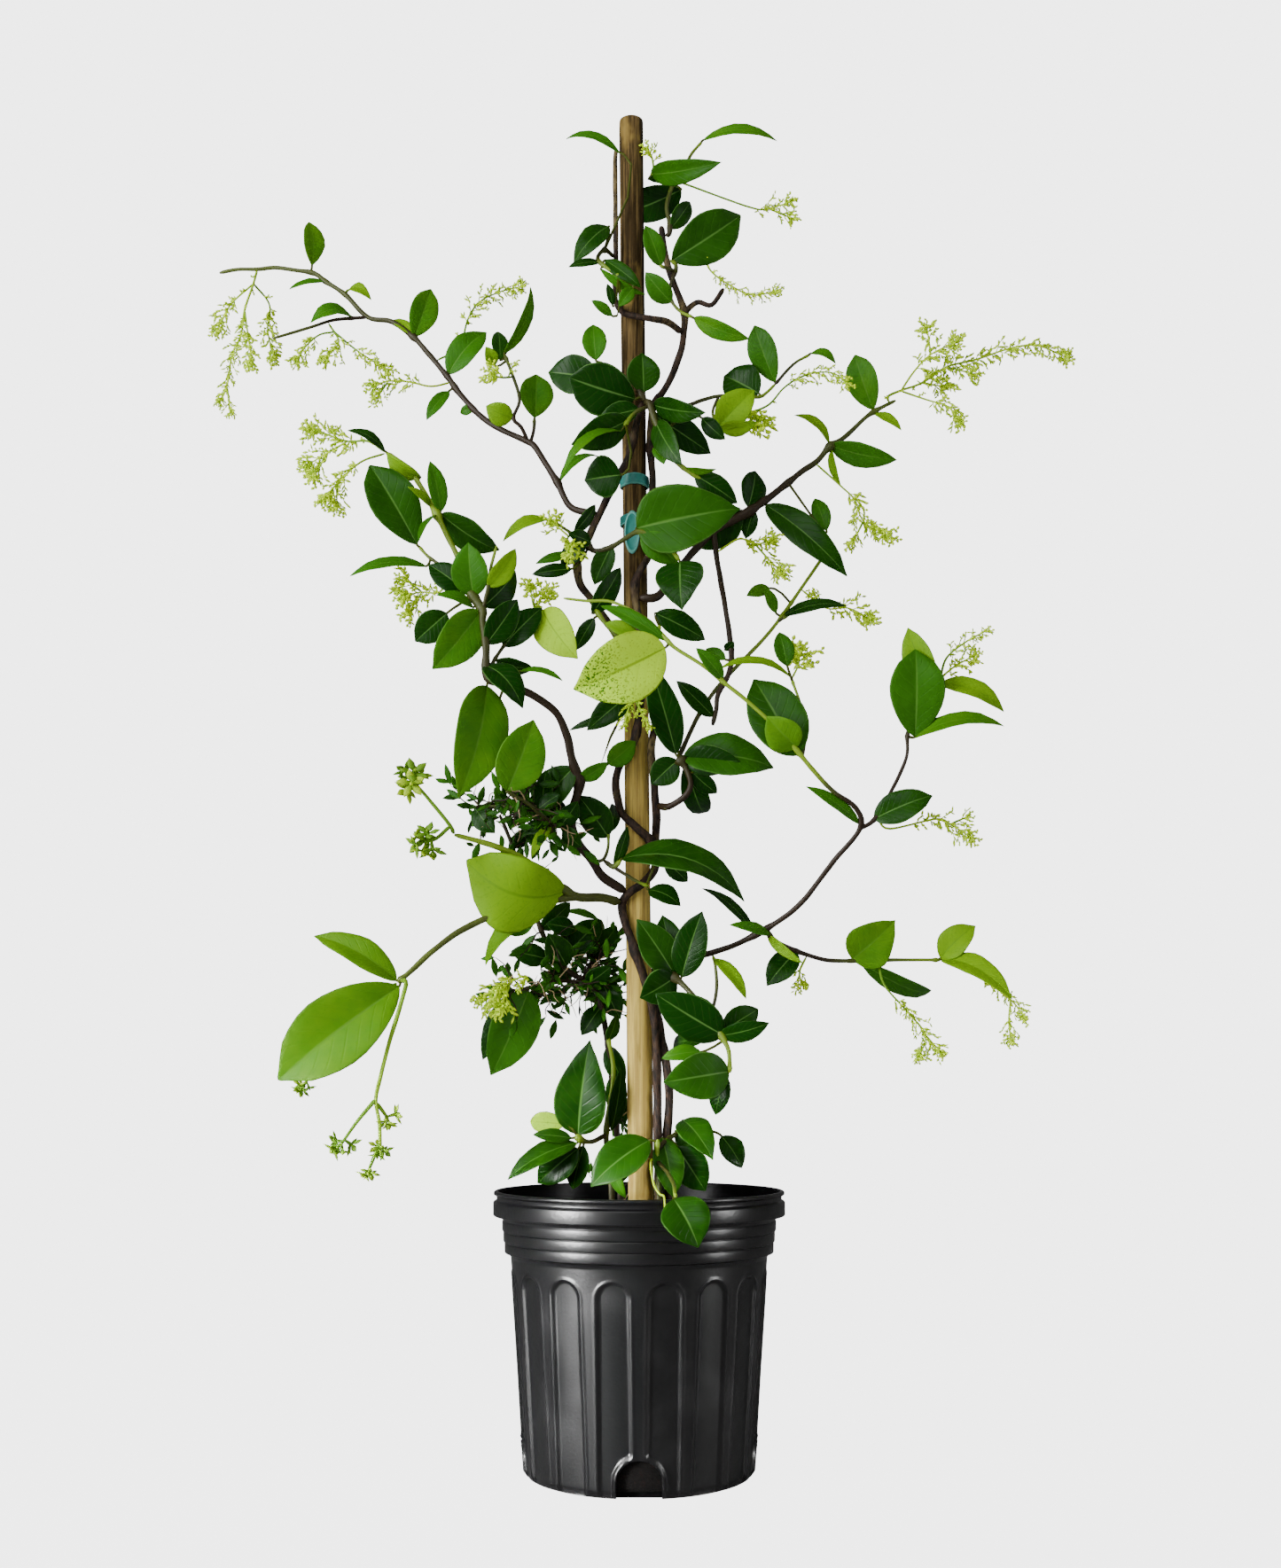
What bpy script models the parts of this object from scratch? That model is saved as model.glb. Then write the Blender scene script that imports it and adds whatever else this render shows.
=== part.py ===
"""Star jasmine trained up a wooden stake in a black nursery pot, with leafy stems and sprays of flowers.

The plant is laid out on a drawing sheet, as it is seen from the front. A place on the sheet is in
millimetres from its left edge and from its top, and the depth behind the pot's axis makes it a point.
"""
import math
import random

import bmesh
import bpy
from mathutils import Matrix, Quaternion, Vector
from mathutils.bvhtree import BVHTree

MM = 0.001

# The drawing sheet and the eye that looks at it, in millimetres
SHEET_AXIS_X = 360.5
SHEET_EYE_Y = 527.35
SHEET_DISTANCE = 950.0
EYE_BACK = 965.0
EYE_HEIGHT = 218.0
EYE_TILT = math.radians(5.0)

# Pot, in millimetres
POT_HEIGHT = 157.0
LIP_RADIUS = 82.2
BAND_RADIUS = 82.5
BAND_TOP = 5.7
BAND_BOTTOM = 13.7
COLLAR_RADIUS = 77.4
COLLAR_BOTTOM = 34.5
COLLAR_STEPS = 2
STEP_DEPTH = 0.7
BAND_TO_COLLAR = 2.5
FLUTE_BELOW_COLLAR = 6.5
BODY_TOP_RADIUS = 72.3
BODY_FOOT_RADIUS = 64.5
FOOT_ROUND = 4.5
POT_WALL = 3.2
POT_FLOOR = 3.5
POT_SIDES = 40
FLUTES = 16
FLUTE_DEPTH = 1.5
FLUTE_WIDTH = 19.0
ARCH_STEPS = 5
NOTCHES = 4
NOTCH_WIDTH = 24.0
NOTCH_HEIGHT = 21.0

# Soil and stake, in millimetres
SOIL_TOP = 145.0
SOIL_CROWN = 4.0
STAKE_RADIUS = 7.25
STAKE_BURIED = 75.0
STAKE_TOP_AT = (356.0, 68.5)
STAKE_FOOT_AT = (361.5, 684.0)
VINE_BURIED = 26.0
SOIL_VINES = ("woody_vine_main", "woody_vine_second")
STEM_HOLE_RISE = 60.0
WORN_EDGE = 0.7
GAP = 0.3

# Ties round the stake: place down the sheet, height, and the hanging loop's width, length and thickness
UPPER_TIE_AT = 272.5
UPPER_TIE_HEIGHT = 7.0
LOWER_TIE_AT = 294.5
LOWER_TIE_HEIGHT = 6.0
LOOP_WIDTH = 9.0
LOOP_LENGTH = 26.0
LOOP_THICKNESS = 1.3
LOOP_ASIDE = -1.5
TIE_THICKNESS = 1.1
TIE_CLEARANCE = 0.35

# Stems, leaves and flowers, in millimetres
MAIN_VINE_RADIUS = 2.5
UPPER_VINE_RADIUS = 2.0
SEAT_GAP = 0.35
LEAF_THICKNESS = 1.0
PETIOLE_RADIUS = 0.85
LEAF_STATIONS = (0.2, 0.48, 0.78)
SMALL_LEAF_STATIONS = (0.3, 0.68)
SMALL_LEAF_WIDTH = 16.0
LONG_PETIOLE = 3.0
ROOT_BACK = 1.5
CLEAR_EXTRA = 1.2
HALF_TURN = math.pi
KEPT_SHARE = 0.54
SHARP_ANGLE = math.radians(35.0)
VINE_SIDES = 6
STEM_SIDES = 4
DRAW_SEED = 7
TURNS_BETWEEN_HEADS = 2.4

# How a leaf of each age is folded along its midrib (degrees) and arched (share of its length)
FOLD = {"dark": 12.0, "mid": 17.0, "lime": 24.0}
ARCH = {"dark": 0.07, "mid": 0.09, "lime": 0.11}

# What is tried, in this order, until a leaf is clear of its neighbours: tip nearer (mm) and roll (degrees)
CLEARING = [(0, 0), (6, 0), (-6, 0), (12, 0), (-12, 0), (0, 22), (0, -22), (18, 0), (-18, 0), (10, 25),
            (-10, -25), (10, -25), (-10, 25), (26, 0), (-26, 0), (20, 30), (-20, -30), (34, 0), (-34, 0),
            (28, 35), (-28, -35), (42, 0), (-42, 0), (0, 50), (0, -50), (50, 20), (-50, -20)]


def leaf(age, base, tip, width, roll=15, toward=0, arch=None):
    """One leaf: its blade's two ends on the sheet, its width, and how its tip and its face are turned."""
    return {"age": age, "base": base, "tip": tip, "width": width, "roll": roll, "toward": toward,
            "arch": ARCH[age] if arch is None else arch}


def stalk(points, radius=0.8, heads=0, size=9.0, kind="bud", along=0, spread=55):
    """One stalk of a spray, with the flowers at its end and those along it."""
    return {"points": points, "radius": radius, "heads": heads, "size": size, "kind": kind,
            "along": along, "spread": spread}


# The two vines that twine up the stake: place down the sheet, turn round the stake from its front
# towards the right (degrees), and reach from the stake's axis
MAIN_VINE_TURNS = [
    (672, 62, 11.5), (640, 66, 10.8), (600, 68, 10.6), (575, 55, 10.6), (555, 20, 10.8), (537, -12, 10.8),
    (521, -44, 10.8), (511, -60, 10.8), (505, -30, 10.8), (499, 18, 10.8), (493, 52, 10.8),
    (486, 72, 10.8),
    (476, 45, 10.8), (468, -5, 10.8), (461, -48, 10.8), (452, -75, 11.6), (443, -82, 12.5),
    (434, -65, 11.6),
    (424, -20, 10.8), (415, 0, 10.8), (404, 8, 10.8), (390, 18, 10.8), (376, 22, 10.8), (362, 16, 10.8),
    (350, 8, 10.8), (341, 0, 10.8), (333, -2, 10.8), (325, 15, 10.8), (318, 40, 10.8), (310, 58, 11.4),
    (300, 62, 11.8), (285, 62, 11.8), (270, 64, 11.8), (255, 62, 10.8), (240, 62, 11.2), (228, 75, 13.0)]
MAIN_VINE_FREE = [(374, 221, -2), (378.5, 213, 0), (384, 198, 2), (386, 185, 3), (386, 176, 3),
                  (384, 170, 3), (380.5, 161, 2), (376.5, 149.5, 1), (374, 136, 0), (373, 128, 0)]
MAIN_VINE_STUB = [(385, 177, 3), (389, 173.5, 0), (394, 170.5, -2), (401.5, 172, -4), (408, 163, -5)]
SECOND_VINE_TURNS = [
    (672, 84, 16.0), (645, 84, 15.2), (634, 83, 15.8), (620, 80, 17.0), (603, 80, 15.8), (592, 86, 13.6),
    (575, 105, 11.2), (555, 150, 10.8), (535, 190, 10.8), (515, 205, 10.8), (500, 195, 10.8),
    (488, 165, 10.8), (475, 120, 10.8), (465, 84, 11.0), (452, 66, 11.4), (439, 58, 11.2), (425, 48, 10.9),
    (416, 62, 10.8), (407, 90, 10.8), (395, 130, 10.8), (380, 172, 10.8), (366, 215, 11.2),
    (356, 250, 13.0)]
SECOND_VINE_FREE = [(342, 350, 2), (333.5, 338, -2), (327.5, 330, -5), (325.5, 320, -8), (326.5, 311, -10),
                    (331.5, 304, -12), (336, 294.5, -13), (342, 282, -13.5), (350, 266.5, -13.5),
                    (354.5, 258, -13.5), (357, 248, -13.5), (359.5, 237, -13), (362.5, 227, -13)]
UPPER_VINE_START = [(382, 182, -3), (376, 181.5, -8), (368, 180, -11.5), (359, 178.5, -12),
                    (351, 176, -10)]
UPPER_VINE_TURNS = [(170, -80, 10.4), (160, -92, 10.0), (145, -95, 9.9), (130, -97, 9.9), (115, -96, 9.9),
                    (102, -92, 9.9), (92, -82, 9.9), (86, -66, 9.9)]

# Leafy stems: what each grows from, its routes (sheet place and depth, with radii at both ends), its leaves
LEAFY_STEMS = {
    "leafy_stem_upper_left": {
        "from": "woody_vine_second",
        "routes": [
            (1.7, 0.9, [(328, 300, -6), (322, 286, -2), (314, 271.5, 2), (308, 262, 5), (302, 252.5, 8),
                        (297.5, 249, 9), (284, 243, 12), (272, 235.5, 15), (260, 223, 18), (252, 212, 21),
                        (242, 200, 24), (233.5, 190.5, 26), (221, 181.5, 29), (207.5, 179, 32),
                        (194.5, 166, 35), (183, 158.5, 38), (178, 154.5, 39), (167, 152.5, 40),
                        (155, 151, 42), (145, 152, 43), (134, 152, 44), (124, 154, 45)]),
            (0.9, 0.7, [(207.5, 179, 32), (189, 180.5, 27), (174, 185, 22), (154, 191, 16)]),
            (1.0, 0.8, [(298.5, 248.5, 9), (294, 241, 4), (289.5, 236, 2), (293, 226.5, 0),
                        (290.5, 215.5, -2),
                        (284.5, 200, -3)]),
            (1.0, 0.8, [(299.5, 250, 9), (301, 243, 12), (301.5, 236, 14)])],
        "leaves": [
            leaf("mid", (176, 149.5), (174.5, 125), 14, roll=25, toward=6, arch=0.16),
            leaf("mid", (183.5, 159), (163, 163), 6, roll=60, toward=4),
            leaf("lime", (195.5, 165), (209.5, 169), 9, roll=-50, toward=8, arch=0.25),
            leaf("mid", (198, 178.5), (175, 182), 13, roll=55, toward=8, arch=0.25),
            leaf("mid", (233.5, 190), (243, 163), 17, roll=10, toward=4),
            leaf("lime", (233, 189), (220.5, 181), 8, roll=40, toward=-8),
            leaf("mid", (253, 211), (274.5, 187.5), 18, roll=-30, toward=-6, arch=0.14),
            leaf("mid", (284.5, 199), (300, 161.5), 9, roll=40, toward=4, arch=0.14),
            leaf("dark", (282, 203), (281, 186.5), 10, roll=15, toward=-8),
            leaf("lime", (279, 206), (274, 195.5), 8, roll=10, toward=2),
            leaf("lime", (289, 236), (274, 229), 14, roll=-15, toward=4),
            leaf("mid", (301.5, 235.5), (302.5, 211), 20, roll=10, toward=4),
            leaf("mid", (253, 221), (240.5, 237), 9, roll=30, toward=6),
            leaf("mid", (267, 230), (259.5, 233), 6, roll=10, toward=-4),
            leaf("mid", (316, 271), (338, 257.5), 8, roll=-55, toward=-10, arch=0.2)]},
    "leafy_stem_left_arch": {
        "from": "woody_vine_main",
        "routes": [
            (2.3, 0.9, [(348, 505.5, -9), (340.5, 495, -14), (333.5, 485, -18), (326, 475.5, -22),
                        (321.5, 462.5, -25), (325, 450, -28), (326.5, 441, -31), (323, 430, -34),
                        (319.5, 414.5, -38), (313.5, 402, -42), (301, 392.5, -46), (286, 386, -49),
                        (275, 382, -51), (274, 364, -52), (272, 350, -51), (272, 344.5, -50),
                        (265, 333.5, -48), (262, 325.5, -47), (258, 314, -45), (252, 302, -43),
                        (246, 289.5, -41), (241, 280.5, -39), (235.5, 271.5, -37), (229.5, 263, -35),
                        (218, 255.5, -32)]),
            (0.9, 0.7, [(264.5, 332, -48), (250, 320, -44), (241.5, 314, -42), (236, 308, -40)]),
            (0.9, 0.7, [(272, 345, -50), (275, 333, -54), (277, 320, -56), (280, 308, -58)]),
            (0.9, 0.7, [(275, 379, -51), (283, 366, -44), (294, 352, -38), (305.5, 343, -34)]),
            (0.9, 0.7, [(334, 486, -18), (340, 485, -19), (343, 478, -17), (343, 469, -15)])],
        "leaves": [
            leaf("mid", (235, 307), (208.5, 262), 27, roll=15, toward=6, arch=0.06),
            leaf("mid", (240, 319.5), (197, 325), 9, roll=50, toward=8, arch=0.14),
            leaf("mid", (248.5, 288.5), (242.5, 260), 11, roll=20, toward=6),
            leaf("lime", (237, 269), (218, 256), 11, roll=-35, toward=4, arch=0.16),
            leaf("dark", (217, 254.5), (196, 242.5), 8, roll=50, toward=-4, arch=0.16),
            leaf("lime", (243, 285.5), (230, 274.5), 5, roll=30, toward=8),
            leaf("dark", (249, 290), (281.5, 311), 20, roll=35, toward=-10),
            leaf("mid", (246, 290.5), (236, 305.5), 6, roll=60, toward=10),
            leaf("dark", (264, 334.5), (241.5, 318.5), 16, roll=20, toward=-8),
            leaf("mid", (267, 336.5), (264, 306), 20, roll=-10, toward=10),
            leaf("lime", (275.5, 331), (291, 309.5), 12, roll=20, toward=6),
            leaf("dark", (273, 342), (291, 322), 16, roll=20, toward=-6),
            leaf("dark", (274.5, 363), (292, 338), 16, roll=10, toward=-4),
            leaf("mid", (271, 345), (244, 377.5), 23, roll=-12, toward=10),
            leaf("dark", (252, 346), (234, 362), 17, roll=0, toward=-6),
            leaf("mid", (266.5, 342.5), (246, 335.5), 8, roll=45, toward=8, arch=0.16),
            leaf("dark", (273.5, 375.5), (295, 399.5), 18, roll=-35, toward=8, arch=0.18),
            leaf("dark", (280, 372.5), (301, 377.5), 12, roll=40, toward=-8),
            leaf("mid", (294, 378.5), (317.5, 384), 6, roll=-55, toward=10, arch=0.12),
            leaf("dark", (284, 364.5), (305.5, 343), 16, roll=-15, toward=-6),
            leaf("lime", (306, 344.5), (325.5, 371.5), 22, roll=15, toward=8),
            leaf("mid", (274.5, 387), (259, 449.5), 30, roll=-20, toward=12, arch=0.12),
            leaf("lime", (279, 402), (272, 422), 9, roll=30, toward=-8),
            leaf("dark", (323.5, 433), (303, 458), 18, roll=20, toward=-8),
            leaf("dark", (326, 442), (306, 436), 14, roll=25, toward=6),
            leaf("dark", (321.5, 463.5), (299, 445.5), 15, roll=-15, toward=-4),
            leaf("mid", (327, 439.5), (343, 430), 9, roll=20, toward=4),
            leaf("dark", (343, 472), (326, 448.5), 18, roll=10, toward=6),
            leaf("dark", (344, 469), (346, 453), 8, roll=30, toward=-4)]},
    "leafy_stem_left_inner": {
        "from": "leafy_stem_left_arch",
        "routes": [
            (1.1, 0.8, [(324, 470, -23), (313.5, 466, -30), (305, 459, -38), (296, 452, -46),
                        (285.5, 446.5, -54)]),
            (0.9, 0.7, [(313.5, 466, -30), (301, 458, -24), (283, 455, -20), (264, 455.5, -16)])],
        "leaves": [
            leaf("mid", (286, 446), (301, 406), 26, roll=12, toward=8),
            leaf("lime", (310.5, 466), (299.5, 484), 7, roll=25, toward=8),
            leaf("dark", (268, 456), (279, 470), 13, roll=10, toward=6),
            leaf("dark", (298, 457), (307, 446), 9, roll=20, toward=-6),
            leaf("dark", (316, 466), (326, 452), 11, roll=15, toward=-8),
            leaf("dark", (310, 464), (294, 470), 9, roll=30, toward=-4),
            leaf("dark", (303, 457), (316, 448), 9, roll=-25, toward=4),
            leaf("dark", (290, 455), (298, 464), 8, roll=20, toward=4),
            leaf("mid", (283, 455), (279, 444), 7, roll=35, toward=-4),
            leaf("dark", (305, 458), (308, 434), 10, roll=25, toward=-14),
            leaf("dark", (318, 467), (328, 478), 10, roll=25, toward=-6)]},
    "leafy_stem_lower_left": {
        "from": "woody_vine_main",
        "routes": [
            (1.9, 0.9, [(349, 507, -10), (340, 506.5, -14), (326, 506, -20), (318, 501.5, -25),
                        (305, 491.5, -34), (291.5, 482.5, -42), (275, 476, -50), (256.5, 471, -56)]),
            (1.5, 0.9, [(326, 506, -20), (312.5, 507.5, -27), (295, 510.5, -36), (278, 516.5, -44),
                        (259, 525.5, -51), (243.5, 537, -57), (231, 548.5, -61), (224.5, 554, -62)])],
        "leaves": [
            leaf("lime", (318.5, 503), (263, 485.5), 42, roll=-8, toward=14, arch=0.1),
            leaf("mid", (305, 511), (273, 544.5), 13, roll=45, toward=4, arch=0.14),
            leaf("mid", (301, 512), (286, 527), 16, roll=10, toward=-10),
            leaf("lime", (223.5, 553), (177, 528), 17, roll=30, toward=-4, arch=0.14),
            leaf("lime", (225, 556.5), (156.5, 609), 38, roll=10, toward=8, arch=0.08)]},
    "leafy_stem_low_left_core": {
        "from": "soil",
        "routes": [
            (1.6, 0.9, [(350, 674, 22), (348, 640, 20), (345, 605, 16), (338.5, 566, 9), (330.5, 554, 8),
                        (318, 546.5, 6), (309, 533, 4), (303, 519, 2), (296, 500, 0), (288.5, 476, -2),
                        (282, 460, -3)]),
            (1.1, 0.8, [(330.5, 554, 8), (316, 553.5, -2), (302, 556, -10), (292.5, 559, -16)]),
            (1.0, 0.8, [(330.5, 554, 8), (334, 545, 16), (337, 538, 22)])],
        "leaves": [
            leaf("dark", (324, 524), (308, 521), 11, roll=10, toward=6),
            leaf("mid", (337, 518.5), (318.5, 514), 6, roll=45, toward=8),
            leaf("dark", (309, 541), (288, 536.5), 13, roll=10, toward=4),
            leaf("dark", (319.5, 545), (309, 526.5), 16, roll=5, toward=10),
            leaf("dark", (321.5, 536.5), (339, 519), 16, roll=-10, toward=-4),
            leaf("dark", (321, 549.5), (305.5, 551.5), 10, roll=15, toward=8),
            leaf("dark", (334, 540), (348, 522), 15, roll=20, toward=-10),
            leaf("dark", (338, 550), (350, 575), 16, roll=10, toward=4),
            leaf("mid", (298, 559), (277, 606.5), 27, roll=-10, toward=10),
            leaf("dark", (291.5, 560), (272, 598), 15, roll=20, toward=-8),
            leaf("dark", (300, 511), (286, 521), 10, roll=30, toward=-6),
            leaf("dark", (305, 524), (322, 509), 12, roll=20, toward=-8),
            leaf("dark", (310, 536), (327, 530), 10, roll=-20, toward=6),
            leaf("dark", (331, 555), (345, 545), 12, roll=15, toward=8),
            leaf("dark", (339, 568), (328, 584), 12, roll=10, toward=6),
            leaf("dark", (343, 590), (352, 612), 12, roll=15, toward=8),
            leaf("dark", (345, 607), (352, 636), 12, roll=10, toward=10),
            leaf("dark", (297, 503), (290, 489), 9, roll=20, toward=-6),
            leaf("dark", (289, 478), (300, 466), 9, roll=25, toward=-6)]},
    "leafy_stem_base_left": {
        "from": "soil",
        "routes": [
            (1.6, 1.0, [(345, 672, 8), (343, 655, 8), (342, 636, 8), (346, 606, 9), (343, 585, 9)]),
            (1.2, 0.9, [(342, 640, 8), (334, 644, 0), (327.5, 643, -6), (325, 640, -8)])],
        "leaves": [
            leaf("dark", (326, 640), (332.5, 586.5), 29, roll=-12, toward=4),
            leaf("lime", (318.5, 634), (298.5, 632.5), 12, roll=0, toward=-12),
            leaf("mid", (322, 642), (300.5, 640), 8, roll=15, toward=4),
            leaf("mid", (325, 645), (286, 665), 14, roll=35, toward=10, arch=0.12),
            leaf("dark", (326, 648), (303, 667.5), 18, roll=10, toward=-10),
            leaf("dark", (329, 646.5), (323, 671), 13, roll=10, toward=2),
            leaf("dark", (345, 637), (350.5, 602), 10, roll=20, toward=-6),
            leaf("dark", (343, 587), (348, 572), 8, roll=30, toward=4),
            leaf("mid", (344, 655), (353, 676), 8, roll=25, toward=2)]},
    "leafy_stem_base_right": {
        "from": "soil",
        "routes": [
            (1.6, 1.0, [(372, 672, -16), (370.5, 655, -17), (371, 643, -18)]),
            (1.2, 0.9, [(371, 648, -17), (379, 641, -6), (390, 637, 4), (402, 638, 10)]),
            (1.0, 0.8, [(370.5, 655, -17), (376, 661, -34), (380, 668, -56), (380.5, 672, -74),
                        (381, 675, -86)])],
        "leaves": [
            leaf("mid", (366, 643.5), (333, 669), 23, roll=20, toward=10, arch=0.12),
            leaf("mid", (373.5, 642), (380, 675.5), 17, roll=10, toward=8),
            leaf("dark", (382, 647), (398, 672), 20, roll=0, toward=4),
            leaf("dark", (381, 638), (399, 650), 14, roll=20, toward=4),
            leaf("mid", (385, 632), (402, 653.5), 18, roll=-20, toward=12, arch=0.12),
            leaf("mid", (407, 641), (418.5, 659), 14, roll=-20, toward=2, arch=0.12),
            leaf("mid", (380, 676.5), (394, 703.5), 25, roll=-15, toward=10, arch=0.14)]},
    "leafy_stem_low_right": {
        "from": "woody_vine_main",
        "routes": [
            (1.5, 0.9, [(372, 548, -8), (379, 551, -16), (391, 562, -22), (400, 576, -27), (406, 583, -30),
                        (411, 593, -33), (411.5, 605, -35)]),
            (0.9, 0.7, [(400, 576, -27), (404, 560, -22), (403.5, 545, -18), (402, 539, -16)])],
        "leaves": [
            leaf("dark", (380, 549), (359.5, 518.5), 20, roll=10, toward=8),
            leaf("dark", (382, 549), (373.5, 516), 17, roll=0, toward=-4),
            leaf("dark", (381, 551), (361, 563), 20, roll=5, toward=6),
            leaf("dark", (384.5, 551), (396, 514), 19, roll=-10, toward=6),
            leaf("dark", (408, 584), (369.5, 560.5), 24, roll=-8, toward=10),
            leaf("dark", (405, 579), (389, 562), 14, roll=-15, toward=-8),
            leaf("dark", (407.5, 581.5), (428, 569), 15, roll=0, toward=2),
            leaf("dark", (406.5, 584), (434, 577), 12, roll=20, toward=8, arch=0.1),
            leaf("dark", (398, 586), (379, 590), 10, roll=20, toward=-6),
            leaf("lime", (395, 593.5), (373, 597), 9, roll=20, toward=2, arch=0.12),
            leaf("mid", (411, 604.5), (374.5, 610.5), 25, roll=0, toward=14),
            leaf("dark", (409.5, 607), (403.5, 629), 12, roll=20, toward=-6),
            leaf("lime", (403, 541), (421, 563.5), 9, roll=-35, toward=6, arch=0.12)]},
    "leafy_stem_right_front": {
        "from": "woody_vine_second",
        "routes": [
            (2.0, 0.8, [(371, 545, 6), (385, 541.5, 5), (404.5, 536.5, 0), (421, 530, -8), (440, 519, -16),
                        (453.5, 507.5, -24), (470, 486, -34), (485, 467.5, -42), (482.5, 455.5, -46),
                        (470, 446.5, -50), (459.5, 435.5, -54), (452.5, 427, -57), (442, 415, -60),
                        (431, 404, -62), (419, 393.5, -64), (407, 384, -66), (396.5, 375.5, -67),
                        (383, 367, -67), (377.5, 362.5, -66), (370, 354, -63), (361, 347, -60),
                        (345, 339.5, -57), (331, 339, -55), (318, 337.5, -53)]),
            (1.3, 0.8, [(485, 467.5, -42), (493, 462.5, -42), (501, 449.5, -41), (511, 428, -39),
                        (512, 413, -38), (517.5, 401, -37), (523, 393, -36), (527, 386, -35)]),
            (1.0, 0.7, [(452.5, 427, -57), (454, 415, -54), (451.5, 398, -50), (446.5, 383, -47)])],
        "leaves": [
            leaf("lime", (375, 365.5), (323.5, 389), 36, roll=-12, toward=8, arch=0.07),
            leaf("mid", (375, 361), (338.5, 341.5), 9, roll=30, toward=-10),
            leaf("lime", (360, 360), (341, 351.5), 9, roll=25, toward=6),
            leaf("mid", (407.5, 383), (392.5, 365.5), 9, roll=25, toward=4),
            leaf("dark", (450, 426), (425, 383), 30, roll=10, toward=-10),
            leaf("lime", (449.5, 421.5), (432.5, 404), 19, roll=-10, toward=8),
            leaf("lime", (445, 381), (405.5, 376.5), 11, roll=45, toward=6, arch=0.14),
            leaf("mid", (444, 375.5), (439.5, 356.5), 11, roll=10, toward=-4),
            leaf("mid", (484.5, 464.5), (454.5, 443.5), 8, roll=35, toward=6),
            leaf("dark", (493, 462), (526, 448.5), 18, roll=5, toward=-6),
            leaf("mid", (516, 415.5), (516.5, 366), 30, roll=10, toward=6),
            leaf("lime", (526, 388), (512, 354), 17, roll=-15, toward=14, arch=0.1),
            leaf("lime", (529.5, 386), (566.5, 401.5), 14, roll=-45, toward=4, arch=0.16),
            leaf("mid", (516, 416), (566.5, 408.5), 12, roll=-50, toward=8, arch=0.16),
            leaf("mid", (434, 527), (411.5, 521.5), 7, roll=30, toward=8),
            leaf("dark", (425, 526), (396, 500.5), 9, roll=50, toward=-8, arch=0.1)]},
    "leafy_stem_lower_right": {
        "from": "leafy_stem_right_front",
        "routes": [
            (1.3, 0.8, [(430, 528, -8), (439, 532, 0), (453.5, 538, 7), (466, 541.5, 13), (480, 542, 18),
                        (507, 541.5, 26), (530, 541.5, 31)])],
        "leaves": [
            leaf("lime", (433, 527.5), (453, 543.5), 6, roll=20, toward=12),
            leaf("dark", (449, 537), (432.5, 556), 16, roll=15, toward=6),
            leaf("mid", (480.5, 541), (505, 519), 27, roll=15, toward=4),
            leaf("dark", (486, 543), (526, 559.5), 12, roll=25, toward=-8, arch=0.12),
            leaf("lime", (530.5, 540.5), (550, 522), 18, roll=-20, toward=6),
            leaf("lime", (531.5, 541.5), (571, 563), 16, roll=-40, toward=10, arch=0.16)]},
    "leafy_stem_mid_right": {
        "from": "woody_vine_second",
        "routes": [
            (1.8, 1.0, [(367, 461, -6), (377, 455, -14), (386, 449.5, -19), (389.5, 443, -21),
                        (387.5, 435, -21), (383, 427, -20)]),
            (0.9, 0.7, [(367, 470, -6), (376, 456.5, -16)])],
        "leaves": [
            leaf("dark", (385.5, 426.5), (436.5, 432.5), 26, roll=-30, toward=4, arch=0.12),
            leaf("dark", (385.5, 428), (417.5, 429.5), 17, roll=5, toward=10),
            leaf("dark", (387, 431), (397.5, 459), 15, roll=30, toward=6, arch=0.16),
            leaf("dark", (391, 436), (404.5, 447.5), 11, roll=20, toward=-8),
            leaf("dark", (382, 429), (367.5, 442.5), 16, roll=5, toward=-4),
            leaf("dark", (381, 425), (366.5, 375), 18, roll=10, toward=6),
            leaf("mid", (371, 391), (372, 398), 6, roll=10, toward=4)]},
    "leafy_stem_long_leaf": {
        "from": "leafy_stem_left_arch",
        "routes": [
            (1.2, 0.9, [(341, 494, -16), (346, 489, -23), (350, 485.5, -25)]),
            (0.9, 0.7, [(346, 489, -23), (358, 496.5, -24), (366, 500, -23)])],
        "leaves": [
            leaf("dark", (351, 484.5), (420.5, 507), 26, roll=-50, toward=6, arch=0.2),
            leaf("dark", (375, 485), (388, 497.5), 10, roll=0, toward=-8),
            leaf("dark", (366, 502), (384, 511), 13, roll=-35, toward=4, arch=0.16),
            leaf("dark", (346.5, 489), (354, 466), 7, roll=20, toward=4)]},
    "leafy_stem_right_thin": {
        "from": "leafy_stem_mid_right",
        "routes": [
            (1.1, 0.8, [(386.5, 428, -22), (387, 418, -10), (394, 403.5, 4), (403, 390, 12),
                        (413, 378.5, 18),
                        (423.5, 368, 22), (438, 351.5, 27), (464, 314.5, 34)]),
            (0.8, 0.7, [(438, 351.5, 27), (441, 349, 27), (448, 345, 28)])],
        "leaves": [
            leaf("dark", (442, 347.5), (477.5, 341.5), 9, roll=-40, toward=4, arch=0.14),
            leaf("mid", (437.5, 345.5), (431, 331), 7, roll=20, toward=4),
            leaf("mid", (434, 332), (421, 336), 8, roll=20, toward=4),
            leaf("dark", (402, 404), (381.5, 384), 11, roll=10, toward=8)]},
    "leafy_stem_upper_right": {
        "from": "woody_vine_main",
        "routes": [
            (2.2, 0.9, [(363, 344, -13), (370, 337, -10), (377, 329, 2), (387, 316, 17), (402.5, 300, 24),
                        (423.5, 288, 29), (438, 277.5, 33), (451, 267, 36), (461, 260, 38),
                        (467.5, 252.5, 39),
                        (476, 247, 41), (485.5, 238, 43), (492.5, 232.5, 45), (505, 226, 48)]),
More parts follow.
